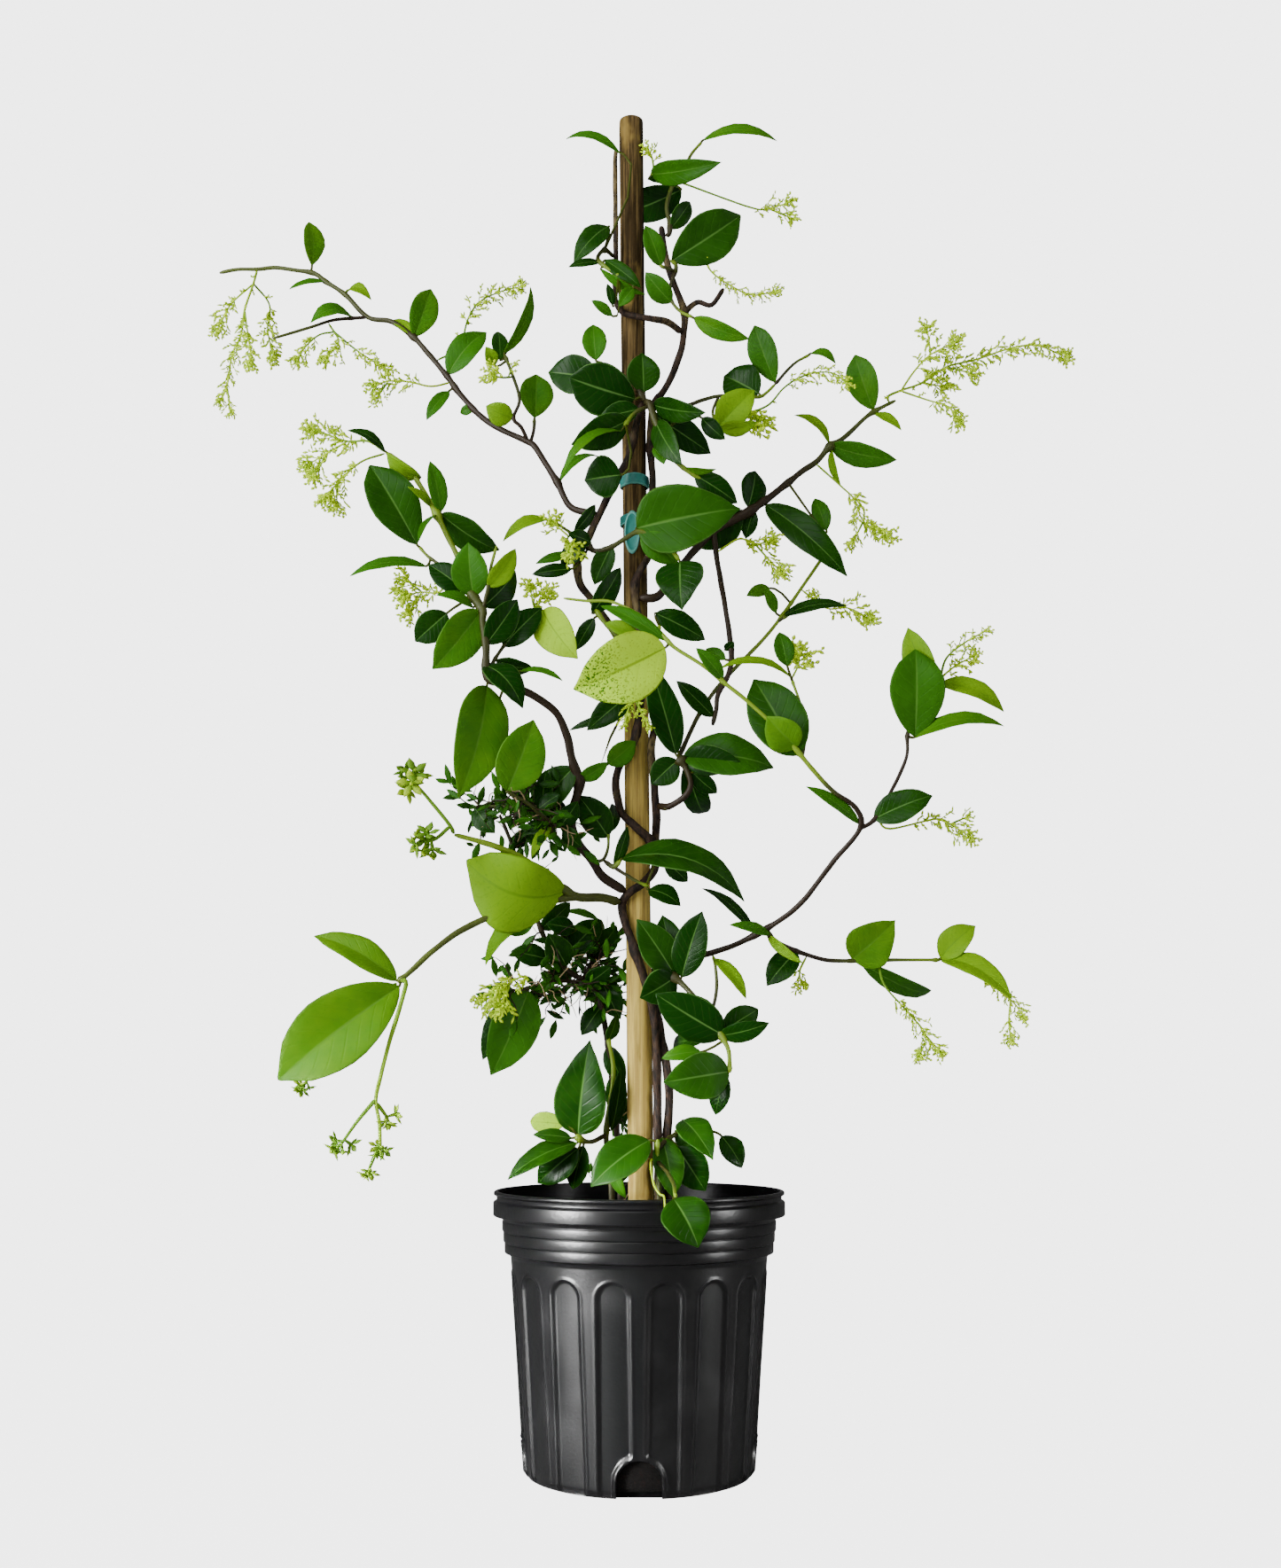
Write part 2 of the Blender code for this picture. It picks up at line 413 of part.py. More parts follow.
            (1.5, 1.2, [(402.5, 300, 24), (404.5, 316, 20), (406.5, 328, 16), (409, 342, 10),
                        (412.5, 368, 2),
                        (411, 380, -2), (405, 392, -6), (404, 400, -8), (402, 409, -10)])],
        "leaves": [
            leaf("mid", (492.5, 231), (482, 200), 19, roll=-10, toward=6),
            leaf("mid", (468.5, 251.5), (506, 259.5), 15, roll=20, toward=4),
            leaf("lime", (467.5, 250), (448, 234), 8, roll=50, toward=4, arch=0.2),
            leaf("lime", (469, 254), (474, 273.5), 6, roll=15, toward=2),
            leaf("lime", (493.5, 233.5), (508.5, 242.5), 7, roll=-40, toward=6),
            leaf("dark", (432, 285), (478, 324.5), 19, roll=-20, toward=10, arch=0.1),
            leaf("mid", (466, 299), (459.5, 281), 11, roll=10, toward=-6),
            leaf("dark", (418, 288), (389.5, 308), 24, roll=-10, toward=-8),
            leaf("dark", (425, 288), (420.5, 304), 10, roll=10, toward=-6),
            leaf("dark", (422, 286), (426, 265.5), 17, roll=25, toward=-6),
            leaf("mid", (412, 292), (403.5, 279), 9, roll=20, toward=-4),
            leaf("mid", (409, 372), (398, 366), 7, roll=20, toward=-4),
            leaf("dark", (409, 366.5), (414, 362), 6, roll=20, toward=4)]},
    "leafy_stem_upper_core": {
        "from": "woody_vine_second",
        "routes": [
            (1.6, 0.8, [(363, 222, -15), (366, 227, -18), (369, 236, -20), (373, 247, -21),
                        (378, 257, -22),
                        (385.5, 264, -22), (393, 269, -21), (402, 274, -18)]),
            (1.1, 0.8, [(365, 225, -17), (356, 215, -19), (344, 208, -18), (337, 204, -17)]),
            (1.0, 0.8, [(366.5, 229, -18), (358, 233, -22), (352, 240, -24)])],
        "leaves": [
            leaf("mid", (336, 203), (334.5, 183), 14, roll=0, toward=-4),
            leaf("dark", (337, 214), (309, 210), 22, roll=15, toward=-8),
            leaf("dark", (358, 225), (321, 213), 29, roll=-10, toward=8),
            leaf("dark", (363, 221), (362, 199), 19, roll=10, toward=4),
            leaf("dark", (369, 228.5), (397.5, 233), 14, roll=20, toward=8),
            leaf("dark", (396, 236), (409, 248), 10, roll=15, toward=0),
            leaf("dark", (368.5, 234), (401, 256), 17, roll=-5, toward=2),
            leaf("dark", (354, 237), (322.5, 251), 19, roll=-15, toward=6),
            leaf("mid", (350, 243), (316.5, 268.5), 8, roll=50, toward=8, arch=0.22),
            leaf("dark", (350, 268), (329.5, 271), 23, roll=10, toward=-2),
            leaf("mid", (372.5, 250), (374.5, 262), 10, roll=10, toward=6),
            leaf("mid", (385.5, 264), (404, 265), 5, roll=40, toward=4),
            leaf("dark", (370, 238), (384, 262), 15, roll=20, toward=-10),
            leaf("dark", (360, 231), (338, 236), 13, roll=30, toward=-12),
            leaf("dark", (392, 268), (416, 284), 14, roll=-15, toward=-6)]},
    "leafy_stem_right_small": {
        "from": "leafy_stem_upper_core",
        "routes": [
            (1.0, 0.8, [(378, 232, -16), (386, 229, -12), (397, 225.5, -4), (405.5, 223.5, 2),
                        (418, 223.5, 8),
                        (428, 224, 12), (433, 221, 14), (437, 217, 15)]),
            (0.8, 0.7, [(437, 217, 15), (447.5, 205.5, 18), (457, 200, 20)]),
            (0.8, 0.7, [(405.5, 223.5, 2), (402, 232, -4), (404, 240, -8)])],
        "leaves": [
            leaf("mid", (437, 215.5), (425.5, 183.5), 17, roll=-10, toward=4),
            leaf("dark", (428, 222), (408, 212), 24, roll=15, toward=-8),
            leaf("lime", (405, 241), (425.5, 220), 19, roll=-12, toward=6),
            leaf("lime", (406, 241.5), (427, 238.5), 10, roll=25, toward=8),
            leaf("mid", (457.5, 199.5), (471.5, 205), 7, roll=-45, toward=4, arch=0.25)]},
    "leafy_stem_centre": {
        "from": "woody_vine_second",
        "routes": [
            (1.3, 0.9, [(328, 312, -13), (336, 311, -17), (345, 308.5, -19), (354, 303, -20),
                        (360.5, 300, -20),
                        (371, 304, -21), (380, 312, -22), (383, 316, -22)]),
            (0.9, 0.7, [(336, 311, -17), (324, 302, -20), (312, 294, -22)])],
        "leaves": [
            leaf("mid", (359, 298), (418, 286.5), 38, roll=-15, toward=-6, arch=0.05),
            leaf("mid", (362, 302), (382.5, 318), 16, roll=-10, toward=-4),
            leaf("dark", (383.5, 317), (384.5, 344), 27, roll=10, toward=8),
            leaf("lime", (309, 293), (283.5, 305), 9, roll=45, toward=6, arch=0.16),
            leaf("dark", (324, 300), (336, 284.5), 8, roll=25, toward=-6),
            leaf("dark", (333, 306), (320.5, 301), 9, roll=20, toward=4),
            leaf("mid", (322, 313), (302, 318), 6, roll=25, toward=4),
            leaf("dark", (322, 321), (300, 324), 8, roll=15, toward=2),
            leaf("dark", (330, 307), (316, 318), 12, roll=20, toward=-8),
            leaf("dark", (345, 308), (335, 330), 13, roll=15, toward=-8)]},
    "leafy_stem_centre_low": {
        "from": "woody_vine_main",
        "routes": [
            (1.5, 0.9, [(359, 388, -12), (358, 382, -20), (354, 372, -24), (348, 360, -24),
                        (340, 350, -22),
                        (336, 344, -20)]),
            (1.0, 0.8, [(358, 382, -20), (366, 372, -22), (371, 360, -20), (372, 352, -16)])],
        "leaves": [
            leaf("dark", (356.5, 391), (331, 412), 15, roll=10, toward=4),
            leaf("dark", (350, 404), (321, 412), 6, roll=35, toward=-8),
            leaf("dark", (335, 349), (324.5, 367), 9, roll=10, toward=-4),
            leaf("dark", (334, 346), (350, 320), 13, roll=20, toward=-6),
            leaf("dark", (370, 346), (398, 361), 15, roll=-15, toward=-8),
            leaf("mid", (343, 431), (358.5, 418), 13, roll=10, toward=-4),
            leaf("dark", (366, 378), (370.5, 394), 10, roll=20, toward=2)]},
    "leafy_stem_top": {
        "from": "woody_vine_main",
        "routes": [
            (1.3, 0.8, [(373, 134, 0), (377.5, 132, -1), (377.5, 125, 0), (376, 117, 2), (378, 108, 4),
                        (380, 101, 4), (374, 98, 2), (367, 98.5, 0)]),
            (0.9, 0.7, [(378, 108, 4), (385, 97, 10), (390, 87, 14), (396, 80, 17)])],
        "leaves": [
            leaf("lime", (367.5, 98), (407, 91.5), 14, roll=-25, toward=8, arch=0.12),
            leaf("dark", (366, 101), (385, 96), 7, roll=25, toward=-6),
            leaf("mid", (397, 79), (438.5, 79), 8, roll=-45, toward=4, arch=0.18),
            leaf("dark", (384, 107), (350, 120), 22, roll=-5, toward=16),
            leaf("dark", (378.5, 129), (389.5, 113.5), 11, roll=10, toward=-8)]},
    "leafy_stem_top_left": {
        "from": "woody_vine_upper",
        "routes": [
            (1.1, 0.8, [(345.5, 145, -3), (341, 141, -9), (337, 146, -12), (342, 151, -15),
                        (350, 157, -17)])],
        "leaves": [
            leaf("mid", (349, 86), (319, 78.5), 7, roll=50, toward=-6, arch=0.2),
            leaf("dark", (343, 128), (323.5, 148), 14, roll=25, toward=6, arch=0.14),
            leaf("dark", (338, 148), (320.5, 150.5), 6, roll=40, toward=4),
            leaf("dark", (341.5, 147), (361.5, 162), 9, roll=-20, toward=4),
            leaf("mid", (339, 152), (364, 166.5), 6, roll=35, toward=-2),
            leaf("dark", (345.5, 172), (342.5, 160), 5, roll=20, toward=2),
            leaf("mid", (345, 178), (333.5, 169.5), 6, roll=20, toward=4),
            leaf("lime", (357, 163), (349, 173), 8, roll=10, toward=0)]},
    "leafy_stem_top_right": {
        "from": "woody_vine_main",
        "routes": [
            (1.3, 0.8, [(379, 159, -2), (381, 153, -8), (381, 149, -10), (378, 147, -11)]),
            (0.9, 0.7, [(381, 153, -8), (375, 151, -12), (372, 150, -13)]),
            (0.9, 0.7, [(381, 153, -8), (378, 162, -9), (379, 170, -9), (384, 176, -9), (391, 179, -10)]),
            (0.9, 0.7, [(381, 149, -10), (385, 144, -12), (389, 140, -13)])],
        "leaves": [
            leaf("mid", (379, 147), (418, 121.5), 27, roll=5, toward=8),
            leaf("mid", (372.5, 150), (364, 127), 12, roll=15, toward=6),
            leaf("lime", (378.5, 170.5), (364, 153.5), 13, roll=-10, toward=8),
            leaf("mid", (391.5, 179.5), (422.5, 191.5), 11, roll=20, toward=4)]},
}

# Flower sprays: what each grows from, and its stalks
SPRAYS = {
    "spray_upper_left_tip": {
        "from": "leafy_stem_upper_left",
        "stalks": [
            stalk([(150, 152.5, 38), (143, 160, 34), (138, 175, 30), (136, 189, 28), (131, 200, 27),
                   (128, 218, 26), (124, 226, 25)], 0.9, heads=3, size=7, along=8),
            stalk([(143, 160, 34), (130, 172, 36), (123, 185, 38)], heads=5, size=9, along=4),
            stalk([(138, 175, 30), (140, 190, 22), (142, 203, 20)], heads=4, size=9, along=3),
            stalk([(128, 218, 26), (130, 232, 26)], heads=3, size=6),
            stalk([(143, 160, 34), (152, 172, 44), (151, 186, 46),
                   (154, 200, 46)], heads=4, size=9, along=3)]},
    "spray_upper_left_under": {
        "from": "leafy_stem_upper_left",
        "stalks": [
            stalk([(190, 184, 28), (191, 193, 24), (184, 202, 20)], heads=4, size=9, along=2),
            stalk([(191, 186, 27), (203, 199, 24), (218, 208, 22)], heads=3, size=8, along=2),
            stalk([(190, 187, 27), (180, 189, 22), (172, 196, 20), (168, 203, 18)], heads=5, size=8)]},
    "spray_upper_left_low": {
        "from": "leafy_stem_upper_left",
        "stalks": [
            stalk([(250, 219, 17), (243, 218, 12), (231, 215.5, 8), (219, 215, 6),
                   (211, 218, 4)], heads=4, size=8),
            stalk([(219, 215, 6), (213, 224, 2)], heads=3, size=7)]},
    "spray_upper_left_top": {
        "from": "leafy_stem_upper_left",
        "stalks": [
            stalk([(255, 210, 22), (259, 196, 26), (264, 180, 28), (271, 170, 29), (284, 164, 30),
                   (293, 162, 30)], heads=4, size=8, along=6)]},
    "spray_left_fan": {
        "from": "leafy_stem_upper_left",
        "stalks": [
            stalk([(287.5, 216.5, -7), (282, 213, -9), (278, 211, -10)], heads=6, size=10, spread=70),
            stalk([(289, 213, -7), (289.5, 206, -9)], heads=1, size=5)]},
    "spray_left_arch_tip": {
        "from": "leafy_stem_left_arch",
        "stalks": [
            stalk([(216.5, 252, -30), (208, 249, -28), (196, 249, -26), (184, 245, -24), (177, 243, -23)],
                  0.9, heads=5, size=10, along=5),
            stalk([(196, 249, -26), (184, 256, -22), (174, 262, -20)], heads=5, size=9, along=3),
            stalk([(184, 256, -22), (178, 268, -22)], heads=4, size=9)]},
    "spray_left_arch_low": {
        "from": "leafy_stem_left_arch",
        "stalks": [
            stalk([(213, 256, -34), (203, 261, -36), (190, 273, -38), (184, 280, -39)], heads=5, size=9),
            stalk([(190, 273, -38), (190, 284, -36)], heads=4, size=9)]},
    "spray_left_mid": {
        "from": "leafy_stem_left_arch",
        "stalks": [
            stalk([(262, 337.5, -45), (248, 334, -38), (238, 334, -36),
                   (229, 336, -36)], heads=6, size=10, along=4),
            stalk([(238, 334, -36), (229, 327, -34)], heads=4, size=9),
            stalk([(238, 334, -36), (231, 345, -36)], heads=4, size=9)]},
    "spray_left_inner": {
        "from": "leafy_stem_left_arch",
        "stalks": [
            stalk([(294, 347, -34), (301, 342, -28), (309, 335, -26)], heads=6, size=9, along=2),
            stalk([(301, 342, -28), (299, 332, -24)], heads=5, size=9)]},
    "spray_centre_left": {
        "from": "leafy_stem_centre",
        "stalks": [
            stalk([(322, 299, -24), (320, 304, -28), (322, 309, -30)], heads=7, size=10, spread=75),
            stalk([(318, 300, -26), (312, 295, -28)], heads=5, size=9)]},
    "spray_lower_left_upper": {
        "from": "leafy_stem_lower_left",
        "stalks": [
            stalk([(257, 468, -56), (254, 466, -60), (247, 457, -62), (236, 444, -64),
                   (231, 438, -65)], 0.9,
                  heads=7, size=9, kind="star", spread=85),
            stalk([(254, 466, -60), (246, 473, -63), (239, 475, -64)], 0.8, heads=6, size=9, kind="star",
                  spread=85)]},
    "spray_lower_left_hanging": {
        "from": "leafy_stem_lower_left",
        "stalks": [
            stalk([(231, 549, -64), (229, 555, -70), (225, 570, -71), (219, 590, -71), (215, 606, -71),
                   (212, 620, -71), (214, 634, -70), (214.5, 648, -69)], 1.0, heads=4, size=7, kind="star",
                  spread=70),
            stalk([(212, 620, -71), (202, 632, -74),
                   (192, 646, -76)], heads=5, size=7, kind="star", spread=70),
            stalk([(213, 622, -71), (219, 631, -66)], heads=3, size=7, kind="star", spread=60),
            stalk([(214, 644, -69), (208, 660, -68)], heads=3, size=6, kind="bud", spread=60)]},
    "spray_lower_left_small": {
        "from": "leafy_stem_lower_left",
        "stalks": [
            stalk([(219, 553, -56), (198, 575, -50), (182, 595, -47), (171, 613, -46)], heads=5, size=6)]},
    "spray_low_leaf": {
        "from": "leafy_stem_low_left_core",
        "stalks": [
            stalk([(301, 553, -14), (296, 551, -22), (288, 554, -30), (281, 560, -34)], heads=6, size=10,
                  along=4),
            stalk([(288, 554, -30), (283, 568, -34)], heads=5, size=10),
            stalk([(288, 554, -30), (273, 565, -30)], heads=4, size=9)]},
    "spray_centre_catkins": {
        "from": "leafy_stem_centre_low",
        "stalks": [
            stalk([(358, 386, -24), (357, 392, -30), (354.5, 400, -32),
                   (352.5, 408, -32)], 0.9, heads=2, size=6,
                  along=9),
            stalk([(357, 392, -30), (361, 400, -33), (365, 408, -33)], 0.9, heads=2, size=6, along=8)]},
    "spray_upper_right_panicle": {
        "from": "leafy_stem_upper_right",
        "stalks": [
            stalk([(500, 228, 44), (501, 223.5, 43), (509, 220, 48), (520, 216, 52), (534, 207, 55),
                   (550, 203, 57), (570, 196.5, 60), (585, 195, 62), (600, 201, 64)], 1.0, heads=4, size=9,
                  along=8),
            stalk([(508, 223, 50), (516, 209, 47), (525, 200, 45), (537, 194, 44)], heads=5, size=10),
            stalk([(525, 200, 45), (523, 186, 43)], heads=4, size=9),
            stalk([(534, 207, 55), (549, 211, 50)], heads=4, size=9),
            stalk([(509, 226, 50), (524, 226, 46), (534, 229, 44),
                   (541, 237, 43)], heads=6, size=9, along=3),
            stalk([(520, 217, 52), (532, 218, 60)], heads=5, size=10)]},
    "spray_right_small": {
        "from": "leafy_stem_right_small",
        "stalks": [
            stalk([(427, 228, 10), (424, 233, 2), (428, 237, -4)], heads=7, size=12, spread=80),
            stalk([(424, 233, 2), (434, 228, 2), (442, 219, 5), (451, 213, 5), (462, 210, 4),
                   (471, 211, 3),
                   (477, 216, 2)], heads=4, size=7, along=3)]},
    "spray_upper_right_hanging": {
        "from": "leafy_stem_upper_right",
        "stalks": [
            stalk([(462, 263, 36), (474, 274, 30), (482, 282, 28), (487, 294, 26),
                   (500, 302, 25)], heads=5, size=10),
            stalk([(487, 294, 26), (481, 306, 24)], heads=4, size=8)]},
    "spray_upper_right_inner": {
        "from": "leafy_stem_upper_right",
        "stalks": [
            stalk([(408, 305, 16), (417, 304, 8), (426, 307, 4), (434, 305, 3)], heads=5, size=9),
            stalk([(426, 307, 4), (433, 315, 0), (440, 322, -2)], heads=5, size=9)]},
    "spray_top": {
        "from": "leafy_stem_top",
        "stalks": [
            stalk([(416, 121, 0), (423, 117, 2), (433, 117.5, 3), (445, 114.5, 4)], heads=4, size=7),
            stalk([(433, 117.5, 3), (446, 123, 5)], heads=4, size=7)]},
    "spray_top_chain": {
        "from": "leafy_stem_top_right",
        "stalks": [
            stalk([(393, 139, -12), (397, 146, -12), (401, 153, -11), (410, 160, -10), (422, 166, -9),
                   (430, 166, -8), (438, 164, -8)], heads=4, size=6, along=10)]},
    "spray_top_buds": {
        "from": "leafy_stem_top",
        "stalks": [
            stalk([(370, 95.5, 0), (368, 90, -2), (366, 85, -4)], heads=5, size=7)]},
    "spray_right_node": {
        "from": "leafy_stem_right_thin",
        "stalks": [
            stalk([(452, 345, 31), (466, 343, 33), (478, 343, 34), (489, 348, 35)], heads=5, size=10),
            stalk([(466, 343, 33), (459, 336, 30)], heads=4, size=6)]},
    "spray_right_mass": {
        "from": "leafy_stem_right_front",
        "stalks": [
            stalk([(449, 383, -44), (450, 376, -42), (451, 371, -41)], heads=7, size=12, spread=75)]},
    "spray_right_tip": {
        "from": "leafy_stem_right_front",
        "stalks": [
            stalk([(529, 382, -34), (537, 377, -32), (549, 370, -30)], heads=5, size=8),
            stalk([(529, 382, -34), (534, 371, -36), (545, 362, -36), (556, 356, -36)], heads=2, size=6)]},
    "spray_right_front": {
        "from": "leafy_stem_right_front",
        "stalks": [
            stalk([(489, 468, -40), (502, 467.5, -38), (528, 462, -34), (536, 465, -33), (547, 472, -32)],
                  heads=5, size=8),
            stalk([(536, 465, -33), (545, 461, -32)], heads=3, size=6)]},
    "spray_lower_right_first": {
        "from": "leafy_stem_lower_right",
        "stalks": [
            stalk([(480, 545, 17), (499, 556, 14), (513, 572, 12), (522, 584, 11),
                   (519, 595, 11)], heads=5, size=8),
            stalk([(522, 584, 11), (529, 592, 12)], heads=4, size=8)]},
    "spray_lower_right_second": {
        "from": "leafy_stem_lower_right",
        "stalks": [
            stalk([(533, 544, 28), (553, 552, 24), (570, 564, 22), (577, 573, 21)], heads=5, size=7),
            stalk([(570, 564, 22), (569, 576, 20), (570, 586, 20)], heads=5, size=7)]},
    "spray_lower_right_inner": {
        "from": "leafy_stem_lower_right",
        "stalks": [
            stalk([(451, 541, 8), (451, 548, 12), (452, 555, 14)], heads=4, size=8)]},
    "hanging_thread": {
        "from": "woody_vine_main",
        "stalks": [
            stalk([(369, 645, -14), (367, 655, -24), (368.5, 667, -50), (372, 673.5, -72),
                   (374.5, 675, -85),
                   (375.5, 683, -88), (381, 694, -90)], 0.8, heads=2, size=6, spread=15)]},
}


def add_to(collection, obj):
    """Puts an object in one collection only."""
    for other in list(obj.users_collection):
        other.objects.unlink(obj)
    collection.objects.link(obj)
    return obj


def new_collection(name, hidden=False):
    """A collection in the scene; one for cutters is left out of the render."""
    collection = bpy.data.collections.new(name)
    bpy.context.scene.collection.children.link(collection)
    collection.hide_render = hidden
    return collection


def object_from(bm, name, collection):
    """A mesh object from a bmesh, which is freed."""
    mesh = bpy.data.meshes.new(name)
    bm.to_mesh(mesh)
    bm.free()
    obj = bpy.data.objects.new(name, mesh)
    collection.objects.link(obj)
    return obj


def make_material(name, colour, roughness, metallic=0.0):
    """A Principled material with one colour."""
    material = bpy.data.materials.new(name)
    material.use_nodes = True
    shader = material.node_tree.nodes["Principled BSDF"]
    shader.inputs["Base Color"].default_value = (*colour, 1.0)
    shader.inputs["Roughness"].default_value = roughness
    shader.inputs["Metallic"].default_value = metallic
    return material


def satin_black_plastic():
    """The pot's plastic."""
    return make_material("satin_black_plastic", (0.012, 0.012, 0.013), 0.38)


def dark_soil():
    """Moist potting soil."""
    return make_material("dark_soil", (0.02, 0.014, 0.01), 0.95)


def weathered_wood():
    """The stake's wood."""
    return make_material("weathered_wood", (0.35, 0.24, 0.1), 0.75)


def teal_tape():
    """The ties' soft tape."""
    return make_material("teal_tape", (0.0, 0.32, 0.27), 0.45)


def dark_bark():
    """The old vines' bark."""
    return make_material("dark_bark", (0.06, 0.035, 0.02), 0.8)


def leaf_green():
    """Leaves and their young stems."""
    return make_material("leaf_green", (0.04, 0.17, 0.02), 0.4)


def pale_lime_flower():
    """Buds and flowers with their stalks."""
    return make_material("pale_lime_flower", (0.6, 0.72, 0.25), 0.6)


def set_material(obj, material):
    """Gives an object its one material."""
    obj.data.materials.clear()
    obj.data.materials.append(material)


def shade_round(obj):
    """Shades a round piece smooth, and keeps its sharp edges."""
    obj.data.shade_smooth()
    obj.data.set_sharp_from_angle(angle=SHARP_ANGLE)


def from_sheet(x, y, depth):
    """The point, in millimetres, seen at a place on the sheet and lying at a depth behind the axis."""
    up = Vector((0, -math.sin(EYE_TILT), math.cos(EYE_TILT)))
    ahead = Vector((0, math.cos(EYE_TILT), math.sin(EYE_TILT)))
    ray = Vector((x - SHEET_AXIS_X, 0, 0)) + up * (SHEET_EYE_Y - y) + ahead * SHEET_DISTANCE
    eye = Vector((0, -EYE_BACK, EYE_HEIGHT))
    return eye + ray * ((depth + EYE_BACK) / ray.y)


def stake_axis(y):
    """The stake's axis at a place down the sheet, and beyond its visible ends."""
    share = (y - STAKE_TOP_AT[1]) / (STAKE_FOOT_AT[1] - STAKE_TOP_AT[1])
    x = STAKE_TOP_AT[0] + share * (STAKE_FOOT_AT[0] - STAKE_TOP_AT[0])
    return from_sheet(x, y, 0)


def round_stake(turns):
    """Points that twine round the stake."""
    points = []
    for y, turn, reach in turns:
        angle = math.radians(turn)
        points.append(stake_axis(y) + Vector((math.sin(angle), -math.cos(angle), 0)) * reach)
    return points


def nearest_on(route, target):
    """The point of a route's line nearest to a target, and the route's radius there."""
    start_radius, end_radius, points = route[:3]
    best = None
    for number, (start, end) in enumerate(zip(points, points[1:])):
        step = end - start
        share = max(0.0, min(1.0, (target - start).dot(step) / step.length_squared))
        place = start + step * share
        if best is None or (place - target).length < (best[0] - target).length:
            along = (number + share) / (len(points) - 1)
            best = (place, start_radius + (end_radius - start_radius) * along)
    return best


def nearest_of(routes, target):
    """The nearest point to a target on any of several routes, and the radius there."""
    return min((nearest_on(route, target) for route in routes), key=lambda best: (best[0] - target).length)


def seat_on(routes, points):
    """Starts a line beside the surface of what it grows from, with a small gap."""
    root, radius = nearest_of(routes, points[1])
    away = (points[1] - root).normalized()
    return [root + away * (radius + SEAT_GAP)] + points[1:]


def join_to(routes, points):
    """Starts a side line on the axis of a line it is one piece with."""
    return [nearest_of(routes, points[0])[0]] + points[1:]


def tube(name, points, start_radius, end_radius, sides, collection):
    """A tube along points, with closed ends, as a mesh object; sides is 4, 6 or 8."""
    curve = bpy.data.curves.new(name, "CURVE")
    curve.dimensions = "3D"
    curve.bevel_depth = start_radius * MM
    curve.bevel_resolution = (sides - 4) // 2
    curve.use_fill_caps = True
    spline = curve.splines.new("POLY")
    spline.points.add(len(points) - 1)
    for number, point in enumerate(points):
        share = number / (len(points) - 1)
        spline.points[number].co = (*(point * MM), 1.0)
        spline.points[number].radius = 1.0 + (end_radius / start_radius - 1.0) * share
    source = bpy.data.objects.new(name + "_curve", curve)
    collection.objects.link(source)
    evaluated = source.evaluated_get(bpy.context.evaluated_depsgraph_get())
    mesh = bpy.data.meshes.new_from_object(evaluated)
    bpy.data.objects.remove(source)
    bpy.data.curves.remove(curve)
    bm = bmesh.new()
    bm.from_mesh(mesh)
    bpy.data.meshes.remove(mesh)
    bmesh.ops.remove_doubles(bm, verts=bm.verts, dist=0.00001)
    bmesh.ops.recalc_face_normals(bm, faces=bm.faces)
    return object_from(bm, name, collection)


def leaf_frame(base, tip, roll):
    """Directions along a leaf, out of its face and across it; at no roll its face looks at the eye."""
    along = (tip - base).normalized()
    to_eye = (Vector((0, -EYE_BACK, EYE_HEIGHT)) - base).normalized()
    face = (to_eye - along * to_eye.dot(along)).normalized()
    face = Quaternion(along, math.radians(roll)) @ face
    return along, face, along.cross(face)


def blade_width(share):
    """Half the width of a leaf along its length, as a share of its full width; the tip is drawn out."""
    return 0.5 * math.sin(HALF_TURN * share ** 0.8) ** 0.85 * (1.0 - 0.25 * share ** 3)


def square_to(way, face, across):
    """A leaf's face and across directions, turned to be square to a way along its petiole."""
    if abs(across.dot(way)) < abs(face.dot(way)):
        across = (across - way * across.dot(way)).normalized()
        return across.cross(way), across
    face = (face - way * face.dot(way)).normalized()
    return face, way.cross(face)


def leaf_sections(root, base, tip, spec, roll, extra=0.0):
    """Four-cornered sections from the petiole's root towards the tip, and last the tip.

    Each section is: left edge, top, right edge, underside.
    """
    along, face, across = leaf_frame(base, tip, roll)
    length = (tip - base).length
    fold = math.tan(math.radians(FOLD[spec["age"]]))
    stations = SMALL_LEAF_STATIONS if spec["width"] < SMALL_LEAF_WIDTH else LEAF_STATIONS
    slim = PETIOLE_RADIUS * 0.8 + extra * 0.4
    if (base - root).length > LONG_PETIOLE:
        way = (base - root).normalized()
        sections = [(root, slim, slim * 1.6, 0.0, way),
                    (base, slim, slim * 1.8, 0.0, (way + along).normalized())]
    else:
        way = (base + along * (length * stations[0]) - root).normalized()
        sections = [(root, slim, slim * 1.6, 0.0, way)]
    for share in stations:
        bow = 4.0 * share * (1.0 - share) * spec["arch"] * length
        centre = base + along * (length * share) + face * bow
        half = blade_width(share) * spec["width"] + extra * 0.5
        sections.append((centre, half, LEAF_THICKNESS + extra, fold * half, along))
    corners = []
    for centre, half, thick, lift, way in sections:
        out, side = square_to(way, face, across)
        corners.append([centre - side * half + out * lift, centre + out * (thick / 2),
                        centre + side * half + out * lift, centre - out * (thick / 2)])
    return corners + [tip]


